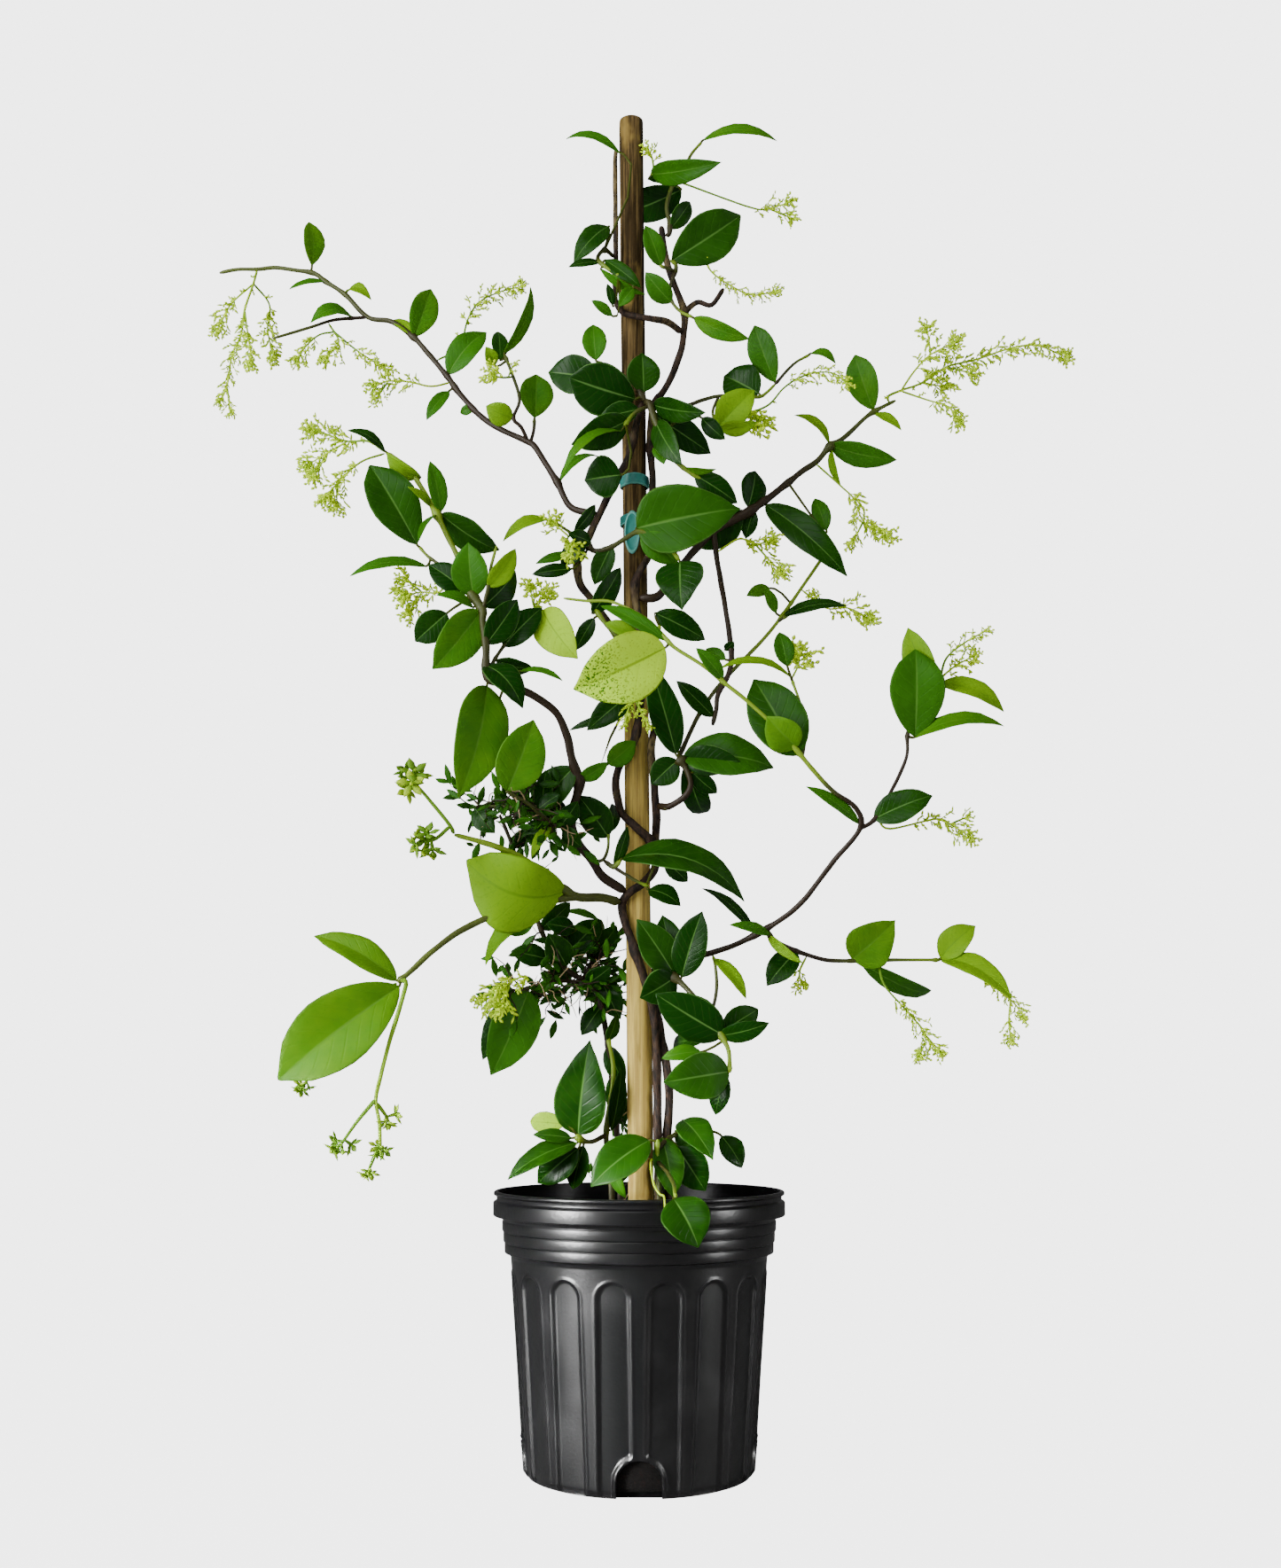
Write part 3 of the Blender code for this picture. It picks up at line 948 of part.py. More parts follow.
def loft_sections(bm, sections):
    """Joins rings of corners by triangles, split alike on both faces; a one-point section ends it."""
    rings = []
    for section in sections:
        corners = [section] if isinstance(section, Vector) else section
        rings.append([bm.verts.new(corner * MM) for corner in corners])
    count = max(len(ring) for ring in rings)
    for lower, upper in zip(rings, rings[1:]):
        for k in range(count):
            after = (k + 1) % count
            if len(lower) == 1:
                bm.faces.new((lower[0], upper[after], upper[k]))
            elif len(upper) == 1:
                bm.faces.new((lower[k], lower[after], upper[0]))
            elif k % 2:
                bm.faces.new((lower[k], upper[after], upper[k]))
                bm.faces.new((lower[k], lower[after], upper[after]))
            else:
                bm.faces.new((lower[k], lower[after], upper[k]))
                bm.faces.new((lower[after], upper[after], upper[k]))
    for ring in (rings[0][::-1], rings[-1]):
        for k in range(1, len(ring) - 1):
            bm.faces.new((ring[0], ring[k], ring[k + 1]))
    if bm.calc_volume(signed=True) < 0:
        bmesh.ops.reverse_faces(bm, faces=bm.faces)


def bud_sections(root, tip, size):
    """A slim three-sided bud that narrows to its own stalk."""
    along = (tip - root).normalized()
    side = along.orthogonal().normalized()
    centre = root.lerp(tip, 0.6)
    ring = [centre + Quaternion(along, k * 2 * HALF_TURN / 3) @ side * (0.13 * size) for k in range(3)]
    return [root, ring, tip]


def star_sections(root, tip, size):
    """A five-pointed flower that opens from a slim stalk."""
    along = (tip - root).normalized()
    side = along.orthogonal().normalized()
    rim = []
    for k in range(10):
        reach = 0.16 * size if k % 2 else 0.5 * size
        rim.append(root.lerp(tip, 0.75) + Quaternion(along, k * HALF_TURN / 5) @ side * reach)
    return [root, rim, tip]


def tree_of(sections):
    """A search tree of a lofted shape, in millimetres."""
    bm = bmesh.new()
    loft_sections(bm, sections)
    tree = BVHTree.FromBMesh(bm)
    bm.free()
    return tree


def tube_tree(points, radius):
    """A search tree of a four-sided sleeve round a line."""
    bm = bmesh.new()
    for start, end in zip(points, points[1:]):
        along = (end - start).normalized()
        side = along.orthogonal().normalized() * radius
        square = [Quaternion(along, k * HALF_TURN / 2) @ side for k in range(4)]
        loft_sections(bm, [[place + corner for corner in square] for place in (start, end)])
    tree = BVHTree.FromBMesh(bm)
    bm.free()
    return tree


def pot_tree():
    """A search tree of the pot's rim and the soil inside it, a little larger than they are."""
    rings = []
    for radius, height in ((BAND_RADIUS + 1, POT_HEIGHT - 50), (BAND_RADIUS + 1, POT_HEIGHT + 1),
                           (LIP_RADIUS - 4.5, POT_HEIGHT + 1), (LIP_RADIUS - 4.5, SOIL_TOP + 1)):
        turns = [k * 2 * HALF_TURN / 24 for k in range(24)]
        rings.append([Vector((math.cos(turn) * radius, math.sin(turn) * radius, height)) for turn in turns])
    bm = bmesh.new()
    loft_sections(bm, rings)
    tree = BVHTree.FromBMesh(bm)
    bm.free()
    return tree


class Neighbours:
    """What has been placed so far, so that the next piece can keep clear of it."""

    def __init__(self):
        self.items = []

    def add(self, node, tree):
        """Remembers a placed shape."""
        self.items.append((node, tree))

    def touched(self, node, tree):
        """How many shapes of other nodes, and of the same node's leaves, a shape touches."""
        others = 0
        own = 0
        for name, item in self.items:
            if name != node + "_stem" and item.overlap(tree):
                if name == node:
                    own += 1
                else:
                    others += 1
        return others, own


def leaf_root(base, routes):
    """Where a leaf grows on its stem, a little in from a free end, and the depth there."""
    best = None
    for number, (_, _, points, sheet) in enumerate(routes):
        for step_number in range(len(points) - 1):
            start, end = sheet[step_number], sheet[step_number + 1]
            flat = Vector(start[:2])
            step = Vector(end[:2]) - flat
            share = (Vector(base) - flat).dot(step) / max(step.length_squared, 0.01)
            inset = ROOT_BACK / (points[step_number + 1] - points[step_number]).length
            lowest = inset if step_number == 0 else 0.0
            highest = 1.0 - inset if step_number == len(points) - 2 else 1.0
            share = max(lowest, min(highest, share))
            away = (flat + step * share - Vector(base)).length
            if best is None or away < best[0]:
                place = points[step_number].lerp(points[step_number + 1], share)
                best = (away, place, start[2] + (end[2] - start[2]) * share)
    return best[1:]


def place_leaf(node, spec, routes, neighbours):
    """Finds a leaf's sections: the first of the tried turns that touches nothing, or what touches least."""
    root, depth = leaf_root(spec["base"], routes)
    base = from_sheet(*spec["base"], depth)
    best = None
    for nearer, turn in CLEARING:
        tip = from_sheet(*spec["tip"], depth - spec["toward"] - nearer)
        roll = spec["roll"] + turn
        touches = neighbours.touched(node, tree_of(leaf_sections(root, base, tip, spec, roll, CLEAR_EXTRA)))
        if best is None or touches < best[0]:
            best = (touches, tip, roll)
        if touches == (0, 0):
            break
    _, tip, roll = best
    neighbours.add(node, tree_of(leaf_sections(root, base, tip, spec, roll, CLEAR_EXTRA * 0.5)))
    return leaf_sections(root, base, tip, spec, roll)


def head_ways(spec, points, draw):
    """Where each flower of a stalk is rooted and points: a whorl near its end, and some along it."""
    end_way = (points[-1] - points[-2]).normalized()
    room = (points[-1] - points[-2]).length - 1.0
    ways = []
    for number in range(spec["heads"]):
        lean = math.radians(spec["spread"]) * math.sqrt((number + 0.3) / spec["heads"])
        turn = number * TURNS_BETWEEN_HEADS + draw.uniform(0, 0.8)
        side = Quaternion(end_way, turn) @ end_way.orthogonal().normalized()
        root = points[-1] - end_way * min(room, 0.7 + 0.7 * number)
        ways.append((root, (end_way * math.cos(lean) + side * math.sin(lean)).normalized(), 1.0))
    for number in range(spec["along"]):
        share = (number + 0.8) / (spec["along"] + 1) * (len(points) - 1)
        low = min(int(share), len(points) - 2)
        way = (points[low + 1] - points[low]).normalized()
        turn = number * TURNS_BETWEEN_HEADS + draw.uniform(0, 1)
        side = Quaternion(way, turn) @ way.orthogonal().normalized()
        ways.append((points[low].lerp(points[low + 1], share - low),
        (way * 0.7 + side).normalized(), 0.65))
    return ways


def place_heads(node, spec, points, neighbours, draw):
    """Sections of the flowers of one stalk; one that would touch another node is swung, then left out."""
    placed = []
    shape = star_sections if spec["kind"] == "star" else bud_sections
    for root, way, scale in head_ways(spec, points, draw):
        for swing in range(8):
            turned_way = way
            if swing:
                turned_way = (way + Vector([draw.uniform(-0.6, 0.6) for _ in range(3)])).normalized()
            size = spec["size"] * scale * draw.uniform(0.85, 1.15)
            sections = shape(root, root + turned_way * size, size)
            tree = tree_of(sections)
            others, own = neighbours.touched(node, tree)
            if not others and (not own or swing > 5):
                neighbours.add(node, tree)
                placed.append(sections)
                break
    return placed


def join_node(name, pieces, parts, material):
    """Fuses a node's pieces into its first by one union on a collection, and leaves that one object."""
    body = pieces[0]
    others = bpy.data.collections.new(name + "_repeats")
    bpy.context.scene.collection.children.link(others)
    for piece in pieces[1:]:
        add_to(others, piece)
    if pieces[1:]:
        union = body.modifiers.new("Join", "BOOLEAN")
        union.operation = "UNION"
        union.operand_type = "COLLECTION"
        union.collection = others
        union.solver = "MANIFOLD"
        evaluated = body.evaluated_get(bpy.context.evaluated_depsgraph_get())
        mesh = bpy.data.meshes.new_from_object(evaluated)
        body.modifiers.clear()
        body.data = mesh
    for piece in list(others.objects):
        bpy.data.objects.remove(piece)
    bpy.data.collections.remove(others)
    keep_largest(body)
    simplify(body, KEPT_SHARE)
    keep_largest(body)
    body.name = name
    add_to(parts, body)
    set_material(body, material)
    return body


def keep_largest(obj):
    """Closes pinched edges and drops loose scraps: only the largest body joined face to face stays."""
    bm = bmesh.new()
    bm.from_mesh(obj.data)
    bmesh.ops.triangulate(bm, faces=bm.faces, ngon_method="EAR_CLIP")
    pinched = [edge for edge in bm.edges if not edge.is_manifold]
    while pinched:
        bmesh.ops.collapse(bm, edges=pinched)
        pinched = [edge for edge in bm.edges if not edge.is_manifold]
    left = set(bm.faces)
    bodies = []
    while left:
        stack = [left.pop()]
        body = set(stack)
        while stack:
            for edge in stack.pop().edges:
                for face in edge.link_faces:
                    if face in left:
                        left.discard(face)
                        body.add(face)
                        stack.append(face)
        bodies.append(body)
    bodies.sort(key=len, reverse=True)
    scraps = [face for body in bodies[1:] for face in body]
    bmesh.ops.delete(bm, geom=scraps, context="FACES")
    bm.to_mesh(obj.data)
    bm.free()


def simplify(obj, share):
    """Merges the smallest triangles that fusing leaves, down to a share of them all."""
    collapse = obj.modifiers.new("Simplify", "DECIMATE")
    collapse.ratio = share
    mesh = bpy.data.meshes.new_from_object(obj.evaluated_get(bpy.context.evaluated_depsgraph_get()))
    obj.modifiers.clear()
    obj.data = mesh


def turned(name, profile, steps, collection, axis=Vector((0, 0, 0))):
    """A body turned about a vertical axis from a profile that runs down its outer side."""
    bm = bmesh.new()
    closed = profile[0] == profile[-1]
    verts = [bm.verts.new((radius * MM, 0, height * MM)) for radius, height in profile[closed:]]
    for start, end in zip(verts, verts[1:] + verts[:closed]):
        bm.edges.new((start, end))
    obj = object_from(bm, name, collection)
    screw = obj.modifiers.new("Turn", "SCREW")
    screw.steps = steps
    screw.render_steps = steps
    screw.use_merge_vertices = True
    screw.merge_threshold = 0.00001
    mesh = bpy.data.meshes.new_from_object(obj.evaluated_get(bpy.context.evaluated_depsgraph_get()))
    mesh.transform(Matrix.Translation(axis * MM))
    obj.modifiers.clear()
    obj.data = mesh
    return obj


def cut(body, cutters_collection):
    """Takes a collection of cutters out of a body, and applies it."""
    for cutter in cutters_collection.objects:
        cutter.hide_render = True
        cutter.display_type = "WIRE"
    difference = body.modifiers.new("Cut", "BOOLEAN")
    difference.operation = "DIFFERENCE"
    difference.operand_type = "COLLECTION"
    difference.collection = cutters_collection
    difference.solver = "EXACT"
    mesh = bpy.data.meshes.new_from_object(body.evaluated_get(bpy.context.evaluated_depsgraph_get()))
    body.modifiers.clear()
    body.data = mesh
    for cutter in list(cutters_collection.objects):
        bpy.data.objects.remove(cutter)


def pot_outer():
    """The pot's outer profile, from the lip's inner edge over it and down to the middle of its underside."""
    height = POT_HEIGHT
    points = [(LIP_RADIUS - 0.8, height), (LIP_RADIUS, height - 0.8), (LIP_RADIUS, height - 1.8),
              (LIP_RADIUS - 1.6, height - 2.6), (LIP_RADIUS - 1.6, height - 4.9),
              (BAND_RADIUS, height - BAND_TOP), (BAND_RADIUS, height - BAND_BOTTOM)]
    step_height = (COLLAR_BOTTOM - BAND_BOTTOM - BAND_TO_COLLAR) / COLLAR_STEPS
    for step in range(COLLAR_STEPS):
        radius = COLLAR_RADIUS - step * STEP_DEPTH
        top = height - BAND_BOTTOM - BAND_TO_COLLAR - step * step_height
        points += [(radius, top - 0.5), (radius, top - step_height + 0.5)]
    return points + [(BODY_TOP_RADIUS, height - COLLAR_BOTTOM - BAND_TO_COLLAR),
                     (BODY_FOOT_RADIUS, FOOT_ROUND),
                     (BODY_FOOT_RADIUS - FOOT_ROUND * 0.4, 1.0), (BODY_FOOT_RADIUS - FOOT_ROUND, 0.0),
                     (0.0, 0.0)]


def pot_inner():
    """The pot's inner profile, from the middle of its floor up to the lip; the wall has one thickness."""
    height = POT_HEIGHT
    return [(0.0, POT_FLOOR), (BODY_FOOT_RADIUS - POT_WALL - 1.5, POT_FLOOR),
            (BODY_FOOT_RADIUS - POT_WALL, POT_FLOOR + 2.5),
            (BODY_TOP_RADIUS - POT_WALL, height - COLLAR_BOTTOM - BAND_TO_COLLAR),
            (COLLAR_RADIUS - POT_WALL, height - COLLAR_BOTTOM + 1.5),
            (COLLAR_RADIUS - POT_WALL + 0.6, height - BAND_BOTTOM - 3.0),
            (LIP_RADIUS - 3.6, height - BAND_BOTTOM), (LIP_RADIUS - 3.6, height)]


def wall_radius(z):
    """The outer radius of the pot's body at a height."""
    share = (z - FOOT_ROUND) / (POT_HEIGHT - COLLAR_BOTTOM - BAND_TO_COLLAR - FOOT_ROUND)
    return BODY_FOOT_RADIUS + (BODY_TOP_RADIUS - BODY_FOOT_RADIUS) * share


def arched_outline(width, foot, top):
    """Points of an upright opening with a round head: across and up."""
    rise = width / 2
    points = [(-width / 2, foot), (width / 2, foot)]
    for step in range(ARCH_STEPS + 1):
        angle = HALF_TURN * step / ARCH_STEPS
        points.append((math.cos(angle) * width / 2, top - rise + math.sin(angle) * rise))
    return points


def panel_cutter(name, angle, outline, inner_at, outer, collection):
    """A cutter through the wall with an arched outline, at an angle round the pot."""
    bm = bmesh.new()
    rings = []
    for near in (True, False):
        ring = []
        for across, up in outline:
            reach = inner_at(up) if near else outer
            ring.append(bm.verts.new(Vector((reach, across, up)) * MM))
        rings.append(ring)
    count = len(outline)
    for k in range(count):
        bm.faces.new((rings[0][k], rings[0][(k + 1) % count], rings[1][(k + 1) % count], rings[1][k]))
    bm.faces.new(rings[0])
    bm.faces.new(rings[1])
    bmesh.ops.triangulate(bm, faces=bm.faces)
    bmesh.ops.recalc_face_normals(bm, faces=bm.faces)
    bm.transform(Matrix.Rotation(angle, 4, "Z"))
    return object_from(bm, name, collection)


def make_pot(parts, cutters, material):
    """The nursery pot: a turned body with sixteen shallow flutes and four drain notches."""
    pot = turned("pot", pot_inner() + pot_outer(), POT_SIDES, parts)
    flute_top = POT_HEIGHT - COLLAR_BOTTOM - BAND_TO_COLLAR - FLUTE_BELOW_COLLAR
    outline = arched_outline(FLUTE_WIDTH, -2.0, flute_top)
    for number in range(FLUTES):
        angle = (number + 0.5) * 2 * HALF_TURN / FLUTES - HALF_TURN / 2
        panel_cutter("flute", angle, outline, lambda up: wall_radius(up) - FLUTE_DEPTH, 90.0, cutters)
    notch = arched_outline(NOTCH_WIDTH, -2.0, NOTCH_HEIGHT)
    for number in range(NOTCHES):
        angle = number * 2 * HALF_TURN / NOTCHES - HALF_TURN / 2
        panel_cutter("notch", angle, notch, lambda up: BODY_FOOT_RADIUS - 9.0, 92.0, cutters)
    cut(pot, cutters)
    keep_largest(pot)
    set_material(pot, material)
    shade_round(pot)


def hole_cutters(line, stems, cutters):
    """Cutters for the plain holes in the soil: one for the stake, and an upright one for each stem."""
    rod("stake_hole", line, STAKE_RADIUS + GAP, cutters)
    for start, radius in stems:
        wide = (radius + GAP) / math.cos(HALF_TURN / 8)
        ends = [start - Vector((0, 0, GAP)), start + Vector((0, 0, STEM_HOLE_RISE))]
        tube("stem_hole", ends, wide, wide, 8, cutters)


def make_soil(parts, cutters, material):
    """The soil: a plug that fills the pot, with a low crown and a plain hole for the stake and each stem."""
    inner = pot_inner()
    crown = COLLAR_RADIUS - POT_WALL
    profile = [(0.0, SOIL_TOP), (crown - 12.0, SOIL_TOP - SOIL_CROWN * 0.4),
               (crown - GAP, SOIL_TOP - SOIL_CROWN)]
    profile += [(radius - GAP, height) for radius, height in reversed(inner[2:5])]
    profile += [(inner[1][0] - GAP, POT_FLOOR + GAP), (0.0, POT_FLOOR + GAP)]
    soil = turned("soil", profile, POT_SIDES, parts)
    cut(soil, cutters)
    keep_largest(soil)
    set_material(soil, material)
    shade_round(soil)


def rod(name, line, radius, collection):
    """A straight round rod between two points."""
    top, deep = line
    bpy.ops.mesh.primitive_cylinder_add(vertices=20, radius=radius * MM, depth=(deep - top).length * MM)
    made = bpy.context.object
    made.name = name
    turn = Vector((0, 0, 1)).rotation_difference(top - deep)
    made.data.transform(Matrix.Translation((top + deep) / 2 * MM) @ turn.to_matrix().to_4x4())
    return add_to(collection, made)


def stake_line():
    """The two ends of the stake, which leans slightly and stands in the soil."""
    top = stake_axis(STAKE_TOP_AT[1])
    foot = stake_axis(STAKE_FOOT_AT[1])
    lean = (foot - top).normalized()
    return top, foot + lean * ((foot.z - STAKE_BURIED) / -lean.z)


def make_stake(parts, material):
    """The round wooden stake, with worn edges."""
    stake = rod("stake", stake_line(), STAKE_RADIUS, parts)
    bevel = stake.modifiers.new("Worn edge", "BEVEL")
    bevel.width = WORN_EDGE * MM
    bevel.segments = 1
    bevel.limit_method = "ANGLE"
    set_material(stake, material)
    shade_round(stake)


def make_tie_band(name, y, height, parts, material):
    """A band of soft tape round the stake."""
    inner = STAKE_RADIUS + TIE_CLEARANCE
    outer = inner + TIE_THICKNESS
    half = height / 2
    profile = [(inner, half), (outer, half - 0.3), (outer, 0.3 - half), (inner, -half), (inner, half)]
    band = turned(name, profile, 20, parts, stake_axis(y))
    set_material(band, material)
    return band


def make_tie_loop(name, y, height, parts):
    """The flat loop of tape that hangs in front of a band."""
    bm = bmesh.new()
    bmesh.ops.create_cone(bm, cap_ends=True, segments=12, radius1=0.5, radius2=0.5, depth=1.0)
    bmesh.ops.triangulate(bm, faces=bm.faces)
    bm.transform(Matrix.Diagonal((LOOP_WIDTH * MM, LOOP_LENGTH * MM, LOOP_THICKNESS * MM, 1)))
    bm.transform(Matrix.Rotation(HALF_TURN / 2, 4, "X"))
    reach = STAKE_RADIUS + TIE_CLEARANCE + TIE_THICKNESS + 0.1
    place = stake_axis(y) + Vector((LOOP_ASIDE, -reach, (height - LOOP_LENGTH) / 2 + 1.0))
    bm.transform(Matrix.Translation(place * MM))
    return object_from(bm, name + "_loop", parts)


def make_ties(parts, material):
    """The two ties: a plain band, and below it a band with a loop that hangs in front."""
    make_tie_band("tie_upper", UPPER_TIE_AT, UPPER_TIE_HEIGHT, parts, material)
    band = make_tie_band("tie_lower", LOWER_TIE_AT, LOWER_TIE_HEIGHT, parts, material)
    loop = make_tie_loop("tie_lower", LOWER_TIE_AT, LOWER_TIE_HEIGHT, parts)
    join_node("tie_lower", [band, loop], parts, material)


def lay_out_vines():
    """Each vine's routes: the radius at both ends, and the points."""
    main = round_stake(MAIN_VINE_TURNS)
    main = [Vector((main[0].x, main[0].y, SOIL_TOP - VINE_BURIED))] + main
    main += [from_sheet(*point) for point in MAIN_VINE_FREE]
    stub = [from_sheet(*point) for point in MAIN_VINE_STUB]
    second = round_stake(SECOND_VINE_TURNS)
    second = [Vector((second[0].x, second[0].y, SOIL_TOP - VINE_BURIED))] + second
    second += [from_sheet(*point) for point in SECOND_VINE_FREE]
    upper = [from_sheet(*point) for point in UPPER_VINE_START] + round_stake(UPPER_VINE_TURNS)
    main_route = (MAIN_VINE_RADIUS, 1.9, main)
    return {
        "woody_vine_main": [main_route, (1.7, 1.4, join_to([main_route], stub))],
        "woody_vine_second": [(MAIN_VINE_RADIUS, 2.1, second)],
        "woody_vine_upper": [(UPPER_VINE_RADIUS, 1.3, seat_on([main_route], upper))]}


def buried(point):
    """The point at the bottom of the hole in the soil, straight below another."""
    return Vector((point.x, point.y, SOIL_TOP - VINE_BURIED))


def lay_out_stems(vines):
    """Every leafy stem's routes in space: the first starts beside its carrier, the rest are fused to it."""
    laid = dict(vines)
    for name, spec in LEAFY_STEMS.items():
        routes = []
        for start, end, sheet in spec["routes"]:
            points = [from_sheet(*place) for place in sheet]
            if routes:
                points = join_to(routes, points)
            elif spec["from"] == "soil":
                points = [buried(points[0])] + points
                sheet = sheet[:1] + sheet
            else:
                points = seat_on(laid[spec["from"]], points)
            routes.append((start, end, points, sheet))
        laid[name] = routes
    return laid


def lay_out_sprays(laid):
    """Every spray's stalks in space: the first starts beside its carrier, the rest are fused to it."""
    sprays = {}
    for name, spec in SPRAYS.items():
        stalks = []
        for stalk_spec in spec["stalks"]:
            points = [from_sheet(*place) for place in stalk_spec["points"]]
            if stalks:
                points = join_to([(1, 1, earlier) for _, earlier in stalks], points)
            else:
                points = seat_on(laid[spec["from"]], points)
            stalks.append((stalk_spec, points))
        sprays[name] = stalks
    return sprays


def placed_first(laid, sprays):
    """The stake, tie, pot, stems and stalks, which leaves and flowers then keep clear of."""
    neighbours = Neighbours()
    neighbours.add("stake", tube_tree(stake_line(), STAKE_RADIUS + 0.5))
    tie = stake_axis(LOWER_TIE_AT) + Vector((LOOP_ASIDE, -9.3, 0))
    hanging = [tie + Vector((0, 0, 4)), tie - Vector((0, 0, LOOP_LENGTH - 3))]
    neighbours.add("tie_lower", tube_tree(hanging, LOOP_WIDTH * 0.61))
    neighbours.add("pot", pot_tree())
    for node, routes in laid.items():
        for route in routes:
            neighbours.add(node + "_stem", tube_tree(route[2], route[0] + 0.5))
    for node, stalks in sprays.items():
        for stalk_spec, points in stalks:
            neighbours.add(node + "_stem", tube_tree(points, stalk_spec["radius"] + 0.3))
    return neighbours


def place_leaves(laid, neighbours):
    """The sections of every stem's leaves."""
    leaves = {}
    for node, spec in LEAFY_STEMS.items():
        leaves[node] = [place_leaf(node, leaf_spec, laid[node], neighbours) for leaf_spec in spec["leaves"]]
    return leaves


def place_flowers(sprays, neighbours):
    """The sections of every spray's flowers."""
    draw = random.Random(DRAW_SEED)
    flowers = {}
    for node, stalks in sprays.items():
        flowers[node] = []
        for stalk_spec, points in stalks:
            flowers[node] += place_heads(node, stalk_spec, points, neighbours, draw)
    return flowers


def make_repeat(name, sections, collection):
    """One leaf or flower as a solid."""
    bm = bmesh.new()
    loft_sections(bm, sections)
    return object_from(bm, name, collection)


def make_vines(vines, loose, parts, material):
    """The old woody vines."""
    for node, routes in vines.items():
        pieces = [tube(node, points, start, end, VINE_SIDES, loose) for start, end, points in routes]
        shade_round(join_node(node, pieces, parts, material))


def make_leafy_stems(laid, leaves, loose, parts, material):
    """The leafy stems, each with its leaves fused to it."""
    for node in LEAFY_STEMS:
        pieces = [tube(node, points, start, end, STEM_SIDES, loose) for start, end, points, _ in laid[node]]
        pieces += [make_repeat(node + "_leaf", sections, loose) for sections in leaves[node]]
        join_node(node, pieces, parts, material)


def make_sprays(sprays, flowers, loose, parts, material):
    """The flower sprays, each with its flowers fused to its stalks."""
    for node, stalks in sprays.items():
        pieces = []
        for stalk_spec, points in stalks:
            radius = stalk_spec["radius"]
            pieces.append(tube(node, points, radius, radius * 0.8, STEM_SIDES, loose))
        pieces += [make_repeat(node + "_flower", sections, loose) for sections in flowers[node]]
        join_node(node, pieces, parts, material)


def soil_holes(laid):
    """Where a stem goes into the soil, and its radius there."""
    holes = []
    for name, routes in laid.items():
        if name in SOIL_VINES or LEAFY_STEMS.get(name, {}).get("from") == "soil":
            radius, _, points = routes[0][:3]
            holes.append((points[0], radius))
    return holes


def build():
    """Makes every sub-part of the plant and its pot."""
    for obj in list(bpy.data.objects):
        bpy.data.objects.remove(obj)
    parts = new_collection("star_jasmine")
    cutters = new_collection("cutters", hidden=True)
    loose = new_collection("loose", hidden=True)

    vines = lay_out_vines()
    laid = lay_out_stems(vines)
    sprays = lay_out_sprays(laid)
    neighbours = placed_first(laid, sprays)
    leaves = place_leaves(laid, neighbours)
    flowers = place_flowers(sprays, neighbours)

    make_stake(parts, weathered_wood())
    make_ties(parts, teal_tape())
    make_vines(vines, loose, parts, dark_bark())
    make_leafy_stems(laid, leaves, loose, parts, leaf_green())
    make_sprays(sprays, flowers, loose, parts, pale_lime_flower())
    make_pot(parts, cutters, satin_black_plastic())
    hole_cutters(stake_line(), soil_holes(laid), cutters)
    make_soil(parts, cutters, dark_soil())


if __name__ == "__main__":
    build()
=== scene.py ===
"""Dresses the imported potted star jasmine: fine leaves, stems, bark, flowers, pot, soil, stake and ties.

Every stem, leaf and spray is laid out as in the part: a place on a drawing sheet, in millimetres from
its left edge and from its top, and a depth behind the pot's axis. The tables hold each leaf and flower as
it was turned clear of its neighbours in the part, so each fine piece stands where the plain one does.
"""
import math
import random
from functools import cache

import bmesh
import bpy
import numpy as np
from bpy.props import FloatProperty, FloatVectorProperty, IntProperty, PointerProperty
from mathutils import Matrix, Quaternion, Vector


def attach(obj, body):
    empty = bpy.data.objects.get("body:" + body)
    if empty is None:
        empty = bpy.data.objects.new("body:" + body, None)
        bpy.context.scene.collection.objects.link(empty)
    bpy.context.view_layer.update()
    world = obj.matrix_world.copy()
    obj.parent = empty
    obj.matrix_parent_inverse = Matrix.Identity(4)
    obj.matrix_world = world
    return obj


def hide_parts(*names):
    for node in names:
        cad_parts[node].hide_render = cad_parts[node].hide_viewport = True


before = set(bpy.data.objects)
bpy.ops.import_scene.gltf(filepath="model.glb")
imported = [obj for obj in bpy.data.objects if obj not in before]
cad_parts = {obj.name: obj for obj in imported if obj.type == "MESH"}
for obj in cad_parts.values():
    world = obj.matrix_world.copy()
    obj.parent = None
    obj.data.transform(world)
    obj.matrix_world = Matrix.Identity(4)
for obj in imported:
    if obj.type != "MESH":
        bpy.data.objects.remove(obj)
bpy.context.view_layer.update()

bl_info = {
    "name": "Star jasmine dresser",
    "version": (1, 0, 0),
    "blender": (4, 5, 0),
    "location": "View3D > Sidebar > Jasmine",
    "description": "Builds the fine pieces of a potted star jasmine around its packed solids",
    "category": "Object"}

MM = 0.001

# The drawing sheet and the eye that looks at it, in millimetres
SHEET_AXIS_X = 360.5
SHEET_EYE_Y = 527.35
SHEET_DISTANCE = 950.0
EYE_BACK = 965.0
EYE_HEIGHT = 218.0
EYE_TILT = math.radians(5.0)

# The camera that took the photograph
SENSOR_LONG_SIDE = 36.0
CAMERA_FOCAL_SHARE = 38.67 / 36.0
SHIFT_X = 0.00085
SHIFT_Y = 0.0962

